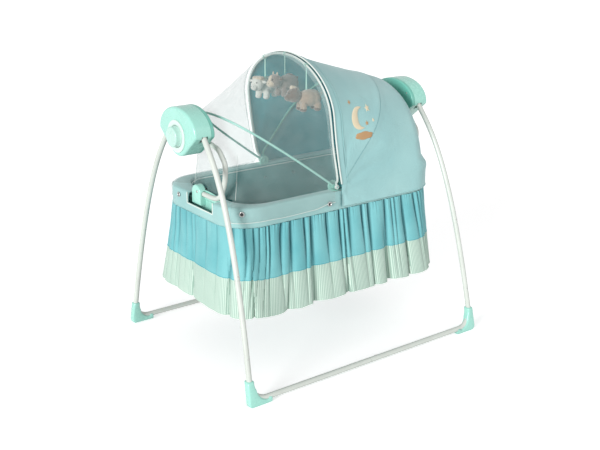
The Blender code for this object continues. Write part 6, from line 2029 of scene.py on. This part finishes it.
TRIM_FIRST, TRIM_LAST = 0.045, 0.955
STITCH_LINES = (
    ("piping_dark_line", 0.0275, 0.0008, DARK_CORD), ("edge_dark_line", 0.0128, 0.0010, DARK_CORD),
    ("facing_seam", 0.072, 0.0007, HOOD_CLOTH), ("facing_stitch", 0.088, 0.0007, HOOD_CLOTH),
)
HEM_R = 0.0019
points, normals = skin_run(0.020, TRIM_FIRST, TRIM_LAST, 220, 0.0022)
piece("hood_piping", sweep(points, 0.0031, 12), BINDING, "front_hood")
for name, q, radius, material in STITCH_LINES:
    points, normals = skin_run(q, TRIM_FIRST, TRIM_LAST, 200, 0.0010)
    piece("hood_" + name, sweep(points, radius, 6), material, "front_hood")
points, normals = skin_run(0.050, TRIM_FIRST, TRIM_LAST, 220, 0.0)
piece("hood_facing", strip(points, normals, 0.024, 0.0016), HOOD_CLOTH, "front_hood", sharp=60)


def column_run(up, first, last, part):
    points = []
    for i in range(first, last):
        q = HOOD_FIRST_SHARE + (1 - HOOD_FIRST_SHARE) * i / HOOD_ALONGS
        points.append(skin_place(q, part, 0, up))
    return points


hems = bmesh.new()
for side, part in ((-1, "near"), (1, "far")):
    run = column_run(0.0, 14, HOOD_ALONGS + 1, part)
    run = [point + Vector((0, side * 0.0004, 0)) for point in run if point.x > 0.055]
    sweep(run, HEM_R, 8, into=hems)
_, near_y, far_y, notch_top = HOOD_NOTCH
corner_half = HOOD_HALF_WIDTH - (HOOD_END_X - HOOD_CORNER_X)
for low_y, high_y in ((-corner_half, near_y), (far_y, corner_half)):
    run = [Vector((HOOD_RIM_X, low_y + (high_y - low_y) * k / 8, HOOD_HEM)) for k in range(9)]
    sweep(run, HEM_R, 8, into=hems)
piece("hood_hem", hems, HOOD_CLOTH, "cradle")
hood_tree = BVHTree.FromBMesh(hood_bm)


def on_skin(origin, towards, lift=0.0):
    """Where a line meets the hood's skin, lifted a little off it, and the skin's normal there."""
    place, normal, _, _ = hood_tree.ray_cast(Vector(origin), Vector(towards))
    return place + normal * lift, normal


corners = [(near_y, HOOD_HEM + 0.001), (near_y, notch_top), (far_y, notch_top), (far_y, HOOD_HEM + 0.001)]
notch_edge = []
for (y1, z1), (y2, z2) in zip(corners, corners[1:]):
    for k in range(12):
        y, z = y1 + (y2 - y1) * k / 12, z1 + (z2 - z1) * k / 12
        notch_edge.append(on_skin((1, y, z), (-1, 0, 0), 0.0004)[0])
piece("hood_notch_binding", sweep(notch_edge, NOTCH_BINDING_R, 8), HOOD_CLOTH, "cradle")
print("hood trims ready")

# %% [markdown]
# ## Appliqué on the hood's side
# A small night sky is sewn on: a crescent moon, stars and a cloud, in cream and tan cloth. Each shape is a
# thin padded patch. Its outline is drawn flat, every point is thrown against the hood's skin, and the patch
# is lifted off it, least at the edge and most in the middle, so it follows the curve of the hood.

# %% Appliqué
CREAM = cloth("cream_cloth", linear(232, 220, 192), linear(220, 204, 172), 0.8, 0.3)
TAN = cloth("tan_cloth", linear(196, 160, 118), linear(180, 142, 102), 0.8, 0.3)
PATCH_LIFT = 0.0016
PATCH_SECTION = [(1.0, 0.0002)] + [(share, raised * PATCH_LIFT) for share, raised in (
    (0.985, 0.55), (0.94, 0.8), (0.80, 1.0), (0.5, 1.05), (0.2, 1.05), (0.02, 1.05))]
MOON = ((0.070, 0.842), 0.038)
MOON_SECTION = ((0.0, 0.0002), (0.08, 0.0011), (0.25, 0.0018), (0.5, 0.0022), (0.75, 0.0018), (0.92, 0.0011),
                (1.0, 0.0002))
CLOUD = (0.083, 0.782)


def patch(name, outline, middle, material):
    """A padded patch with a given outline and middle, both in (x, z), on the hood's near side."""
    rings = []
    for share, raised in PATCH_SECTION:
        ring = []
        for x, z in outline:
            sx, sz = middle[0] + (x - middle[0]) * share, middle[1] + (z - middle[1]) * share
            ring.append(on_skin((sx, -1, sz), (0, 1, 0), raised)[0])
        rings.append(ring)
    item = piece(name, loft(rings), material, None, sharp=60)
    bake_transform(item)
    return item


def crescent():
    """Rows of points across the moon, from its outer arc to its inner one."""
    (x, z), radius = MOON
    rings = []
    for share, raised in MOON_SECTION:
        row = []
        for k in range(33):
            a = math.radians(62 + 236 * k / 32)
            outer = Vector((x + radius * math.cos(a), z + radius * math.sin(a)))
            thick = 0.62 * math.sin(math.pi * k / 32) ** 0.8 + 0.015
            inner = outer + (Vector((x + 0.010, z)) - outer) * thick
            point = outer.lerp(inner, share)
            row.append(on_skin((point.x, -1, point.y), (0, 1, 0), raised)[0])
        rings.append(row)
    return rings


moon, _, _ = sheet_piece("hood_moon", crescent(), CREAM, None)
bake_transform(moon)
STARS = (((0.118, 0.868), 0.0125), ((0.100, 0.822), 0.0085), ((0.132, 0.828), 0.0065),
         ((0.036, 0.898), 0.0075))
for number, ((x, z), radius) in enumerate(STARS):
    outline = []
    for k in range(10):
        a = QUARTER + math.pi * k / 5 + 0.12 * number
        size = radius if k % 2 == 0 else radius * 0.48
        outline.append((x + size * math.cos(a), z + size * math.sin(a)))
    fine = []
    for a, b in zip(outline, outline[1:] + outline[:1]):
        fine += [(a[0] + (b[0] - a[0]) * k / 4, a[1] + (b[1] - a[1]) * k / 4) for k in range(4)]
    patch(f"hood_star_{number}", fine, (x, z), TAN if number % 2 else CREAM)
cloud = []
for k in range(64):
    a = ROUND * k / 64
    swell = 1 + 0.16 * abs(math.sin(a * 3 + 0.4))
    cloud.append((CLOUD[0] + 0.034 * swell * math.cos(a), CLOUD[1] + 0.0125 * swell * math.sin(a)))
patch("hood_cloud", cloud, CLOUD, TAN)
print("patches", 2 + len(STARS))

# %% [markdown]
# ## Bows and hinges
# Three bent rods turn on a stud at each side. Each has a flat round eye at its foot, and the eyes stack side
# by side on the stud. The round hinge head sits on the rim, with a soft edge and a raised cap.

# %% Bows
STACK_START = 0.2120
STACK_STEP = 0.0086
EYE_R = 0.0080
EYE_HALF = 0.0035
EYE_EDGE = 0.0007
EYE_BORE_R = 0.0032
NET_ANGLE = math.radians(36.4)
NET_REACH = 0.4348
NET_ROUNDING = 0.80


def rear_bow_place(t):
    low, high = 0.0, 0.90
    for _ in range(24):
        middle = (low + high) / 2
        if REAR_NORMAL.dot(hood_point(middle, t, BOW_SET_IN) - HINGE) < 0:
            low = middle
        else:
            high = middle
    return hood_point(low, t, BOW_SET_IN)


def net_bow_place(t, outset=0.0):
    half_width = STACK_START + STACK_STEP / 2 + outset
    a = math.pi * t
    across = -half_width * math.copysign(abs(math.cos(a)) ** NET_ROUNDING, math.cos(a))
    along = (NET_REACH + outset) * abs(math.sin(a)) ** NET_ROUNDING
    return Vector((HINGE_X - along * math.cos(NET_ANGLE), across, HINGE_Z + along * math.sin(NET_ANGLE)))


def bow_eye(bm, foot):
    """The flat round eye of a bow's foot, added to its bmesh."""
    profile = [(-EYE_HALF, EYE_BORE_R), (-EYE_HALF, EYE_R - EYE_EDGE), (-EYE_HALF + EYE_EDGE, EYE_R),
               (EYE_HALF - EYE_EDGE, EYE_R), (EYE_HALF, EYE_R - EYE_EDGE), (EYE_HALF, EYE_BORE_R),
               (-EYE_HALF, EYE_BORE_R)]
    lathe(profile, foot, (0, 1, 0), 32, into=bm)


def bow(name, locate, foot_y, material, body, node):
    coarse = [locate(i / 18) for i in range(19)]
    coarse = [point for point in coarse if point.z > HINGE_Z + 3 * EYE_R]
    feet = [Vector((HINGE_X, side * foot_y, HINGE_Z)) for side in (-1, 1)]
    knees = []
    for foot, neighbour in zip(feet, (coarse[0], coarse[-1])):
        rise = (neighbour - foot).normalized() * 2 * EYE_R
        knees.append(Vector((foot.x + rise.x, foot.y, foot.z + rise.z)))
    path = [feet[0]] + smooth_path([knees[0]] + coarse + [knees[1]], 7) + [feet[1]]
    bm = sweep(path, BOW_R, 16, dome=0)
    for foot in feet:
        bow_eye(bm, foot)
    piece(name, bm, material, body, [node])


first = STACK_START + STACK_STEP / 2
# The rear bow is in the darker mint, which paints a line of shade under the hood's cloth.
bow("rear_bow_rod", rear_bow_place, first + STACK_STEP, SHADED_MINT, "rear_hood", "rear_bow")
bow("front_bow_rod", lambda t: hood_point(0, t, BOW_SET_IN), first + 2 * STACK_STEP, BINDING, "front_hood",
    "front_bow")
net_path = [net_bow_place(i / 120) for i in range(121)]
net_bm = sweep(net_path, BOW_R, 16, dome=0)
for side in SIDES.values():
    bow_eye(net_bm, (HINGE_X, side * first, HINGE_Z))
piece("net_bow_rod", net_bm, MINT, "net_frame", ["net_bow"])

HEAD_R = 0.020
HEAD_IN, HEAD_OUT = 0.2060, 0.2110
STUD_R, STUD_TIP = 0.003, 0.2378
FOOT_SIZE = (0.040, 0.0034)
FOOT_Z = 0.6009
for side_name, side in SIDES.items():
    profile = [(HEAD_IN - 0.0004, 0), (HEAD_IN - 0.0004, 0.0070), (HEAD_IN + 0.0006, 0.0085)]
    profile += corner_arc(HEAD_IN + 0.0018, HEAD_R - 0.0018, 0.0018, 2, 1, 4)
    profile += [(HEAD_OUT - SMALL_EDGE, HEAD_R), (HEAD_OUT, HEAD_R - SMALL_EDGE), (HEAD_OUT, STUD_R),
                (STUD_TIP - 0.0006, STUD_R), (STUD_TIP, STUD_R - 0.0006), (STUD_TIP, 0)]
    head = piece(side_name + "_hinge_head", lathe(profile, HINGE, (0, side, 0), 48), MINT, "cradle",
                 [side_name + "_hinge_base"])
    carve(head, [box_cutter((HINGE_X - 0.05, -0.3, 0.55), (HINGE_X + 0.05, 0.3, 0.5992))])
    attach(head, "cradle")
    span = sorted((side * HEAD_IN, side * 0.2365))
    foot = bmesh.new()
    bmesh.ops.create_cube(foot, size=1)
    bmesh.ops.scale(foot, verts=foot.verts, vec=(FOOT_SIZE[0], span[1] - span[0], FOOT_SIZE[1]))
    bmesh.ops.translate(foot, verts=foot.verts, vec=(HINGE_X, sum(span) / 2, FOOT_Z))
    bmesh.ops.bevel(foot, geom=foot.edges[:], offset=0.0012, segments=3, affect="EDGES")
    piece(side_name + "_hinge_foot", foot, MINT, "cradle")
print("bows ready")

# %% [markdown]
# ## Net
# The net is a fine white tulle. It runs from the hood's front edge over the net bow to the rim, and its hem
# lies outside the band. Tulle is mostly holes, far too small to draw one by one, so its finish lets most of
# the light through and scatters the rest. Its threads are painted a grey teal, which paints the shade that
# they lie in. The sheet hangs a little slack between its edges. A fine thread runs down each of its two
# corners.

# %% Net finish and sheet
def tulle(name, cover):
    material = finish(name, Base_Color=linear(244, 248, 246), Roughness=0.7, Sheen_Weight=0.3)
    tree = material.node_tree
    clear = tree.nodes.new("ShaderNodeBsdfTransparent")
    mix = tree.nodes.new("ShaderNodeMixShader")
    weave = coordinates(material, "weave")
    space = coordinates(material)
    thread_shade_tone = stretch(material, noise_value(material, space, 12, 3), 0.3, 0.7)
    # The threads are painted a grey teal instead of their white, for the shade that they lie in.
    colour = mix_colours(material, thread_shade_tone, linear(186, 208, 205), linear(170, 194, 191))
    to_shader(material, colour, "Base Color")
    first = wave_value(material, weave, 160, "X")
    second = wave_value(material, weave, 160, "Y")
    grid = arithmetic(material, "MAXIMUM", first, second)
    threads = stretch(material, grid, 0.4, 0.9, cover * 0.75, cover * 1.25)
    uneven = stretch(material, noise_value(material, space, 30, 3), 0.3, 0.7, 0.9, 1.1)
    amount = arithmetic(material, "MULTIPLY", threads, uneven)
    tree.links.new(amount, mix.inputs[0])
    tree.links.new(clear.outputs[0], mix.inputs[1])
    tree.links.new(tree.nodes["Principled BSDF"].outputs[0], mix.inputs[2])
    tree.links.new(mix.outputs[0], tree.nodes["Material Output"].inputs["Surface"])
    bump(material, [(noise_value(material, space, 40, 2), 0.0004)])
    return material


TULLE = tulle("net_tulle", 0.22)
TULLE_HEM = tulle("net_hem_tulle", 0.30)
NET_COLUMNS = 220
NET_START = 0.004
NET_RIM_X = 0.4000
NET_RIM_Y = 0.2250
NET_RIM_ROUNDING = 0.70
NET_BOW_Y, NET_FOOT_Y = 0.2448, 0.2440
NET_AHEAD = 0.0098
NET_OUTSET, NET_LIFT = 0.0018, 0.0012
TOP_SAG, LOW_SAG, SAG_CHANGE = 0.004, 0.003, 0.004
TOP_RIPPLE, LOW_RIPPLE, HEM_RIPPLE = 0.0016, 0.0018, 0.0014
HEM_STAND = 0.0006
NET_ON_RIM = RIM_HEIGHT + 0.0010
NET_HEM_Z = 0.552
TOP_SPLITS, LOW_SPLITS = 44, 44
# How the net's foot crosses the rim: the share of the way out to the band's face, and the height.
OVER_RIM = ((0.35, 0.6044), (0.7, 0.6052), (0.93, 0.6030), (1.0, 0.5950), (1.004, 0.5850), (1.006, 0.5740),
            (1.007, 0.5630))


def band_scale(direction):
    """How far from the hinge's middle the band's outer face lies in a level direction."""
    low, high = 0.0, 0.8
    for _ in range(22):
        middle = (low + high) / 2
        x, y = abs(HINGE_X + direction.x * middle), abs(direction.y * middle)
        size_x, size_y, corner = BAND_HALF_LENGTH + 0.0022, BAND_HALF_WIDTH + 0.0022, BAND_CORNER
        over = Vector((max(0, x - (size_x - corner)), max(0, y - (size_y - corner))))
        inside = x <= size_x and y <= size_y and over.length <= corner
        low, high = (middle, high) if inside else (low, middle)
    return low


def net_column(t):
    """A column of the net from the hood's edge down to its hem."""
    y, z = arch(t, HOOD_HALF_WIDTH, HINGE_Z + 2 * EYE_R, HOOD_TOP, HOOD_FRONT_SPRING)
    top = Vector((front_edge_x(z) - NET_AHEAD, y, z))
    lift = Vector((-math.sin(NET_ANGLE), 0, math.cos(NET_ANGLE))) * (BOW_R + NET_LIFT)
    over_bow = net_bow_place(t, BOW_R + NET_OUTSET) + lift
    side = -1 if t < 0.5 else 1
    near = 1 - ease((math.hypot(over_bow.x - HINGE_X, over_bow.z - HINGE_Z) - 0.03) / 0.09)
    over_bow.y += (side * NET_BOW_Y - over_bow.y) * near
    a = math.pi * t
    low = Vector((
        HINGE_X - (NET_RIM_X + HINGE_X) * math.sin(a) ** NET_RIM_ROUNDING,
        -NET_RIM_Y * math.copysign(abs(math.cos(a)) ** NET_RIM_ROUNDING, math.cos(a)),
        NET_ON_RIM,
    ))
    near = 1 - ease((HINGE_X - low.x - 0.03) / 0.06)
    low.y += (side * NET_FOOT_Y - low.y) * near
    low.z += 0.0030 * near
    column = []
    for k in range(TOP_SPLITS):
        share = k / TOP_SPLITS
        point = top.lerp(over_bow, share)
        sag = math.sin(math.pi * share) * (TOP_SAG + SAG_CHANGE * wobble(t * 6, share * 3, 1))
        ripple = TOP_RIPPLE * math.sin(math.pi * share) * wobble(t * 30, share * 2, 4)
        column.append(point - Vector((0.3, 0, 0.9)) * (sag + ripple) * ease(min(t, 1 - t) * 8))
    for k in range(LOW_SPLITS + 1):
        share = k / LOW_SPLITS
        point = over_bow.lerp(low, share)
        sag = math.sin(math.pi * share) * (LOW_SAG + SAG_CHANGE * wobble(t * 7, share * 3, 7))
        swell = LOW_RIPPLE * share * math.sin(math.pi * min(1, share * 1.1))
        ripple = swell * wobble(t * 34, share * 1.5, 9)
        column.append(point + (Vector((0, 0, point.z)) - point).normalized() * (sag + ripple))
    direction = Vector((low.x - HINGE_X, low.y, 0))
    direction = direction.normalized() if direction.length > 1e-6 else Vector((0, 1, 0))
    reach = band_scale(direction)
    outer = Vector((HINGE_X, 0, 0)) + direction * reach
    wide = ease((abs(outer.y) - 0.145) / 0.055)
    hem_dip = NET_HEM_Z + 0.010 * wobble(t * 7, 2, 2) + 0.012 * ease((outer.x + 0.13) / 0.08)
    for share_out, height in (*OVER_RIM, (1.008, hem_dip)):
        base = Vector((low.x, low.y, 0)).lerp(outer, share_out)
        if share_out >= 1:
            ripple = HEM_RIPPLE * wobble(t * 60, height * 20, 3)
            base = base + direction * (abs(ripple) + HEM_STAND)
        goal = Vector((base.x, base.y, height))
        rest = Vector((low.x, low.y, NET_ON_RIM + 0.0002))
        column.append(rest.lerp(goal, wide))
    return column


columns = []
for i in range(NET_COLUMNS + 1):
    columns.append(net_column(NET_START + (1 - 2 * NET_START) * i / NET_COLUMNS))
net_rows = [[column[r] for column in columns] for r in range(len(columns[0]))]
net, _, _ = sheet_piece("net_sheet", net_rows, TULLE, None, ["mosquito_net"])
net_bm = bmesh.new()
net_bm.from_mesh(net.data)
bmesh.ops.remove_doubles(net_bm, verts=net_bm.verts, dist=0.00005)
net_bm.to_mesh(net.data)
net_bm.free()
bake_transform(net)
trims = bmesh.new()
for side in SIDES.values():
    run = [point for point in net_rows[-1] if side * point.y > 0.16 and point.z < 0.60]
    sweep(run, 0.0011, 8, into=trims)
hem_cords = piece("net_hem_cords", trims, BINDING, None)
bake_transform(hem_cords)
edge_rows = [[column[r] + Vector((-0.0006, 0, 0.0004)) for column in columns] for r in range(3)]
net_edge, _, _ = sheet_piece("net_front_facing", edge_rows, TULLE_HEM, "front_hood")
seams = bmesh.new()
for t in (0.345, 0.655):
    column = net_column(t)[TOP_SPLITS + 18:TOP_SPLITS + LOW_SPLITS + 1]
    sweep(column[::2], 0.0007, 6, into=seams)
net_seams = piece("net_corner_seams", seams, BINDING, "net_frame")

# %% [markdown]
# ## Plush finishes
# Plush is short pile on a knitted back. At this size it reads as a soft, uneven surface with a strong sheen
# at its edges. A fine noise drives both the colour and a deep bump. The beads of the eyes are glossy black.

# %% Plush
def plush(name, light, dark):
    material = finish(name, Roughness=0.95, Sheen_Weight=0.8, Sheen_Roughness=0.5, Specular_IOR_Level=0.1)
    space = coordinates(material)
    pile = stretch(material, noise_value(material, space, 520, 4), 0.35, 0.65)
    to_shader(material, mix_colours(material, pile, dark, light), "Base Color")
    bump(material, [(pile, 0.0008), (noise_value(material, space, 120, 3), 0.0012)])
    return material


PLUSH = {
    "white": plush("plush_white", linear(238, 238, 230), linear(206, 206, 198)),
    "mint": plush("plush_mint", linear(150, 208, 196), linear(112, 172, 162)),
    "grey": plush("plush_grey", linear(150, 136, 128), linear(112, 98, 92)),
    "cream": plush("plush_cream", linear(222, 206, 184), linear(190, 172, 150)),
    "taupe": plush("plush_taupe", linear(186, 160, 140), linear(150, 124, 106)),
    "brown": plush("plush_brown", linear(112, 78, 62), linear(80, 54, 42)),
}
BEAD = finish("eye_bead", Roughness=0.15, Coat_Weight=0.5)
bead_tone = noise_value(BEAD, coordinates(BEAD), 300)
to_shader(BEAD, mix_colours(BEAD, bead_tone, linear(20, 16, 16), linear(34, 28, 26)), "Base Color")
print("plush colours", len(PLUSH))

# %% [markdown]
# ## Three plush animals
# Each animal is a stuffed trunk with four stub legs, a big head with a snout, ears, and a tail. Every part is
# an egg shape. The parts of one colour are joined by a voxel remesh, which rounds the creases where stuffed
# parts meet, and a noise then roughens the pile. They hang from the front bow on ribbons that loop round it.

# %% Stuffed parts
TOY_HALF = 0.029
TRUNK_R = 0.0195
TOY_HEAD_R = 0.0168
PILE_VOXEL = 0.0016
TOY_SCALE = 1.50
# Each toy's place on the bow, its drop, its ribbon's loop, the way it faces in degrees, and the colours of
# its trunk and ears.
TOYS = {
    "lamb": ((-0.0698, 0.1229, 1.0196), 0.104, 0.0070, 20, "white", "white"),
    "calf": ((-0.0700, 0.0, 1.0443), 0.102, 0.0056, 5, "grey", "brown"),
    "pony": ((-0.0698, -0.1229, 1.0196), 0.110, 0.0070, -15, "taupe", "brown"),
}


def stuffed(bm, place, radii, turn):
    """Adds an egg shape to a bmesh, in the toy's own space."""
    made = bmesh.ops.create_uvsphere(bm, u_segments=20, v_segments=14, radius=1)
    matrix = Matrix.Translation(place) @ turn @ Matrix.Diagonal((*radii, 1))
    bmesh.ops.transform(bm, matrix=matrix, verts=made["verts"])


def stuffed_piece(name, eggs, to_world, material, body, nodes_replaced=(), fluff=0.0006, seed=0):
    bm = bmesh.new()
    for place, radii, lean in eggs:
        stuffed(bm, Vector(place), radii, Matrix.Rotation(math.radians(lean), 4, "Y"))
    bmesh.ops.transform(bm, matrix=to_world, verts=bm.verts)
    item = piece(name, bm, material, None)
    remesh = item.modifiers.new("join", "REMESH")
    remesh.mode = "VOXEL"
    remesh.voxel_size = PILE_VOXEL
    soften = item.modifiers.new("soften", "SMOOTH")
    soften.iterations = 4
    settled(item)
    for vert in item.data.vertices:
        co = vert.co
        rough = noise.noise(co * 420 + Vector((seed, 0, 0)))
        rough += 0.6 * noise.noise(co * 160 + Vector((0, seed, 0)))
        vert.co = co + vert.normal * rough * fluff
    item.data.materials.clear()
    item.data.materials.append(material)
    item.data.shade_smooth()
    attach(item, body)
    if nodes_replaced:
        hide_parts(*nodes_replaced)
    return item


# The head's middle, and the eggs of the skull, the snout and the neck, with the face towards -X.
r = TOY_HEAD_R
base = Vector((-TOY_HALF - r * 0.52, 0, r * 0.5))
skull = (base, (r, r * 0.96, r * 0.98), 0)
snout = (base + Vector((-r * 0.72, 0, -r * 0.28)), (r * 0.58, r * 0.56, r * 0.50), 0)
neck = ((-TOY_HALF * 0.80, 0, r * 0.28), (0.0100, 0.0115, 0.0120), -20)
print("toys", list(TOYS))

# %% [markdown]
# ## Dressing the animals
# The lamb has a curly head and a mint coat over its back, the calf a pale muzzle, small horns and a patch,
# and the pony a dark face, a pale mane and dark socks. Each has beads for its eyes and nostrils.

# %% Build the animals
# How high and how far out the ears sit, in radii of the head, and their own radii.
UPRIGHT_EARS = (0.78, 0.62, (0.0034, 0.0042, 0.0064))
HANGING_EARS = (0.36, 1.06, (0.0036, 0.0070, 0.0038))
for toy, (hang, drop, _, facing, coat, trim) in TOYS.items():
    turn = Matrix.Rotation(math.radians(facing), 4, "Z")
    centre = Vector(hang) + turn @ Vector((0.0105, 0, -drop))
    to_world = Matrix.Translation(centre) @ turn @ Matrix.Scale(TOY_SCALE, 4)
    trunk = [((0.000, 0, 0), (TOY_HALF * 0.98, TRUNK_R, TRUNK_R), 0),
             ((0.012, 0, -0.001), (0.0165, TRUNK_R * 0.98, TRUNK_R * 0.98), 0)]
    for along in (-0.6, 0.6):
        for side in (-1, 1):
            x, y = along * TOY_HALF, side * TRUNK_R * 0.58
            trunk.append(((x, y, -0.0175), (0.0080, 0.0080, 0.0125), -6 * along))
            trunk.append(((x - 0.0012, y, -0.0240), (0.0084, 0.0078, 0.0052), 0))
    trunk.append(((TOY_HALF - 0.001, 0, 0.006), (0.0040, 0.0040, 0.0075), 35))
    stuffed_body = stuffed_piece(toy + "_body", trunk, to_world, PLUSH[coat], toy, [toy + "_trunk"], seed=3)
    if toy == "lamb":
        stuffed_piece("lamb_face", [skull, snout, neck], to_world, PLUSH["white"], toy, ["lamb_head"], seed=1)
        curls = [(base + Vector((r * 0.25, 0, r * 0.62)), (r * 0.72, r * 0.82, r * 0.50), 0)]
        for k in range(9):
            a = ROUND * k / 9
            curls.append((base + Vector((r * (0.2 + 0.45 * math.cos(a)), r * 0.62 * math.sin(a), r * 0.82)),
                          (0.0050, 0.0050, 0.0046), 0))
        stuffed_piece("lamb_curls", curls, to_world, PLUSH["cream"], toy, seed=4)
        jacket = [((0.004, 0, 0.0034), (TOY_HALF * 0.86, TRUNK_R * 1.03, TRUNK_R * 0.92), 0)]
        stuffed_piece("lamb_coat", jacket, to_world, PLUSH["mint"], toy, fluff=0.0004)
    elif toy == "calf":
        stuffed_piece("calf_face", [skull, neck], to_world, PLUSH["grey"], toy, ["calf_head"], seed=1)
        muzzle = [(base + Vector((-r * 0.72, 0, -r * 0.26)), (r * 0.60, r * 0.66, r * 0.52), 0),
                  (base + Vector((-r * 0.70, 0, r * 0.30)), (r * 0.34, r * 0.30, r * 0.62), 12)]
        stuffed_piece("calf_muzzle", muzzle, to_world, PLUSH["cream"], toy, fluff=0.0003)
        horns = [(base + Vector((r * 0.1, side * r * 0.42, r * 1.02)), (0.0022, 0.0022, 0.0050), 0)
                 for side in (-1, 1)]
        stuffed_piece("calf_horns", horns, to_world, PLUSH["cream"], toy, fluff=0.0001)
        patches = [((0.010, 0.004, 0.0042), (0.0140, TRUNK_R * 0.86, TRUNK_R * 0.86), 0)]
        stuffed_piece("calf_patch", patches, to_world, PLUSH["brown"], toy, fluff=0.0004)
    else:
        stuffed_piece("pony_face", [skull, snout, neck], to_world, PLUSH["brown"], toy, ["pony_head"], seed=1)
        mane = [(base + Vector((r * (-0.25 + 0.26 * k), 0, r * (1.02 - 0.05 * k * k))),
                 (0.0052, 0.0034, 0.0056), 20 * k) for k in range(5)]
        stuffed_piece("pony_mane", mane, to_world, PLUSH["cream"], toy, fluff=0.0007)
        socks = [((along * TOY_HALF - 0.0012, side * TRUNK_R * 0.58, -0.0240), (0.0088, 0.0082, 0.0056), 0)
                 for along in (-0.6, 0.6) for side in (-1, 1)]
        stuffed_piece("pony_socks", socks, to_world, PLUSH["brown"], toy, fluff=0.0003)
    lift, spread, shape = UPRIGHT_EARS if toy == "pony" else HANGING_EARS
    ears = [(base + Vector((r * 0.15, side * r * spread, r * lift)), shape, 0) for side in (-1, 1)]
    stuffed_piece(toy + "_ears", ears, to_world, PLUSH[trim], toy, fluff=0.0003)
    beads = bmesh.new()
    for side in (-1, 1):
        eye = base + Vector((-r * 0.80, side * r * 0.46, r * 0.34))
        stuffed(beads, eye, (0.0016, 0.0016, 0.0018), Matrix.Identity(4))
        nostril = base + Vector((-r * 1.28, side * r * 0.20, -r * 0.16))
        stuffed(beads, nostril, (0.0009, 0.0009, 0.0008), Matrix.Identity(4))
    bmesh.ops.transform(beads, matrix=to_world, verts=beads.verts)
    piece(toy + "_eyes", beads, BEAD, toy)
print("animals built")

# %% [markdown]
# ## Ribbons
# Each animal hangs on a satin ribbon: it loops round the front bow, and its two ends are sewn into the back
# of the animal. The middle one is a twisted cord. Where the loop closes, a stitch gathers it.

# %% Ribbons of the animals
RIBBON_WIDTH = 0.0060
TWIST_R = 0.0010
RIBBON = cloth("satin_ribbon", linear(176, 222, 208), linear(158, 208, 194), 0.4, 0.5)
for toy, (hang, drop, loop_r, *_) in TOYS.items():
    hang = Vector(hang)
    loop = []
    normals = []
    for k in range(33):
        a = -QUARTER + ROUND * k / 32
        loop.append(hang + Vector((math.cos(a) * (loop_r - 0.0004), 0, math.sin(a) * (loop_r - 0.0004))))
        normals.append(Vector((math.cos(a), 0, math.sin(a))))
    ribbon = strip(loop, normals, RIBBON_WIDTH, 0.0009)
    end_z = hang.z - drop + TRUNK_R * TOY_SCALE - 0.001
    fall = []
    for k in range(29):
        share = k / 28
        fall.append(Vector((hang.x, hang.y, hang.z - loop_r - (hang.z - loop_r - end_z) * share)))
    if toy == "calf":
        for strand in range(2):
            twist = []
            for i, point in enumerate(fall):
                a = i * 0.9 + strand * math.pi
                twist.append(point + TWIST_R * Vector((math.cos(a), math.sin(a), 0)))
            sweep(smooth_path(twist, 3), 0.0011, 8, into=ribbon)
    else:
        facing_out = [Vector((math.cos(0.5 * k / 28), math.sin(0.5 * k / 28), 0)) for k in range(29)]
        strip(fall, facing_out, RIBBON_WIDTH, 0.0011, into=ribbon)
    stitch = [hang + Vector((0.0014 * math.cos(a), 0.0034 * math.sin(a), -loop_r - 0.001))
              for a in (ROUND * k / 16 for k in range(17))]
    sweep(stitch, 0.0006, 6, dome=0, into=ribbon)
    piece(toy + "_strap", ribbon, RIBBON, toy, [toy + "_ribbon"], sharp=60)
print("ribbons", len(TOYS))

# %% The size of the scene
low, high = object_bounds()
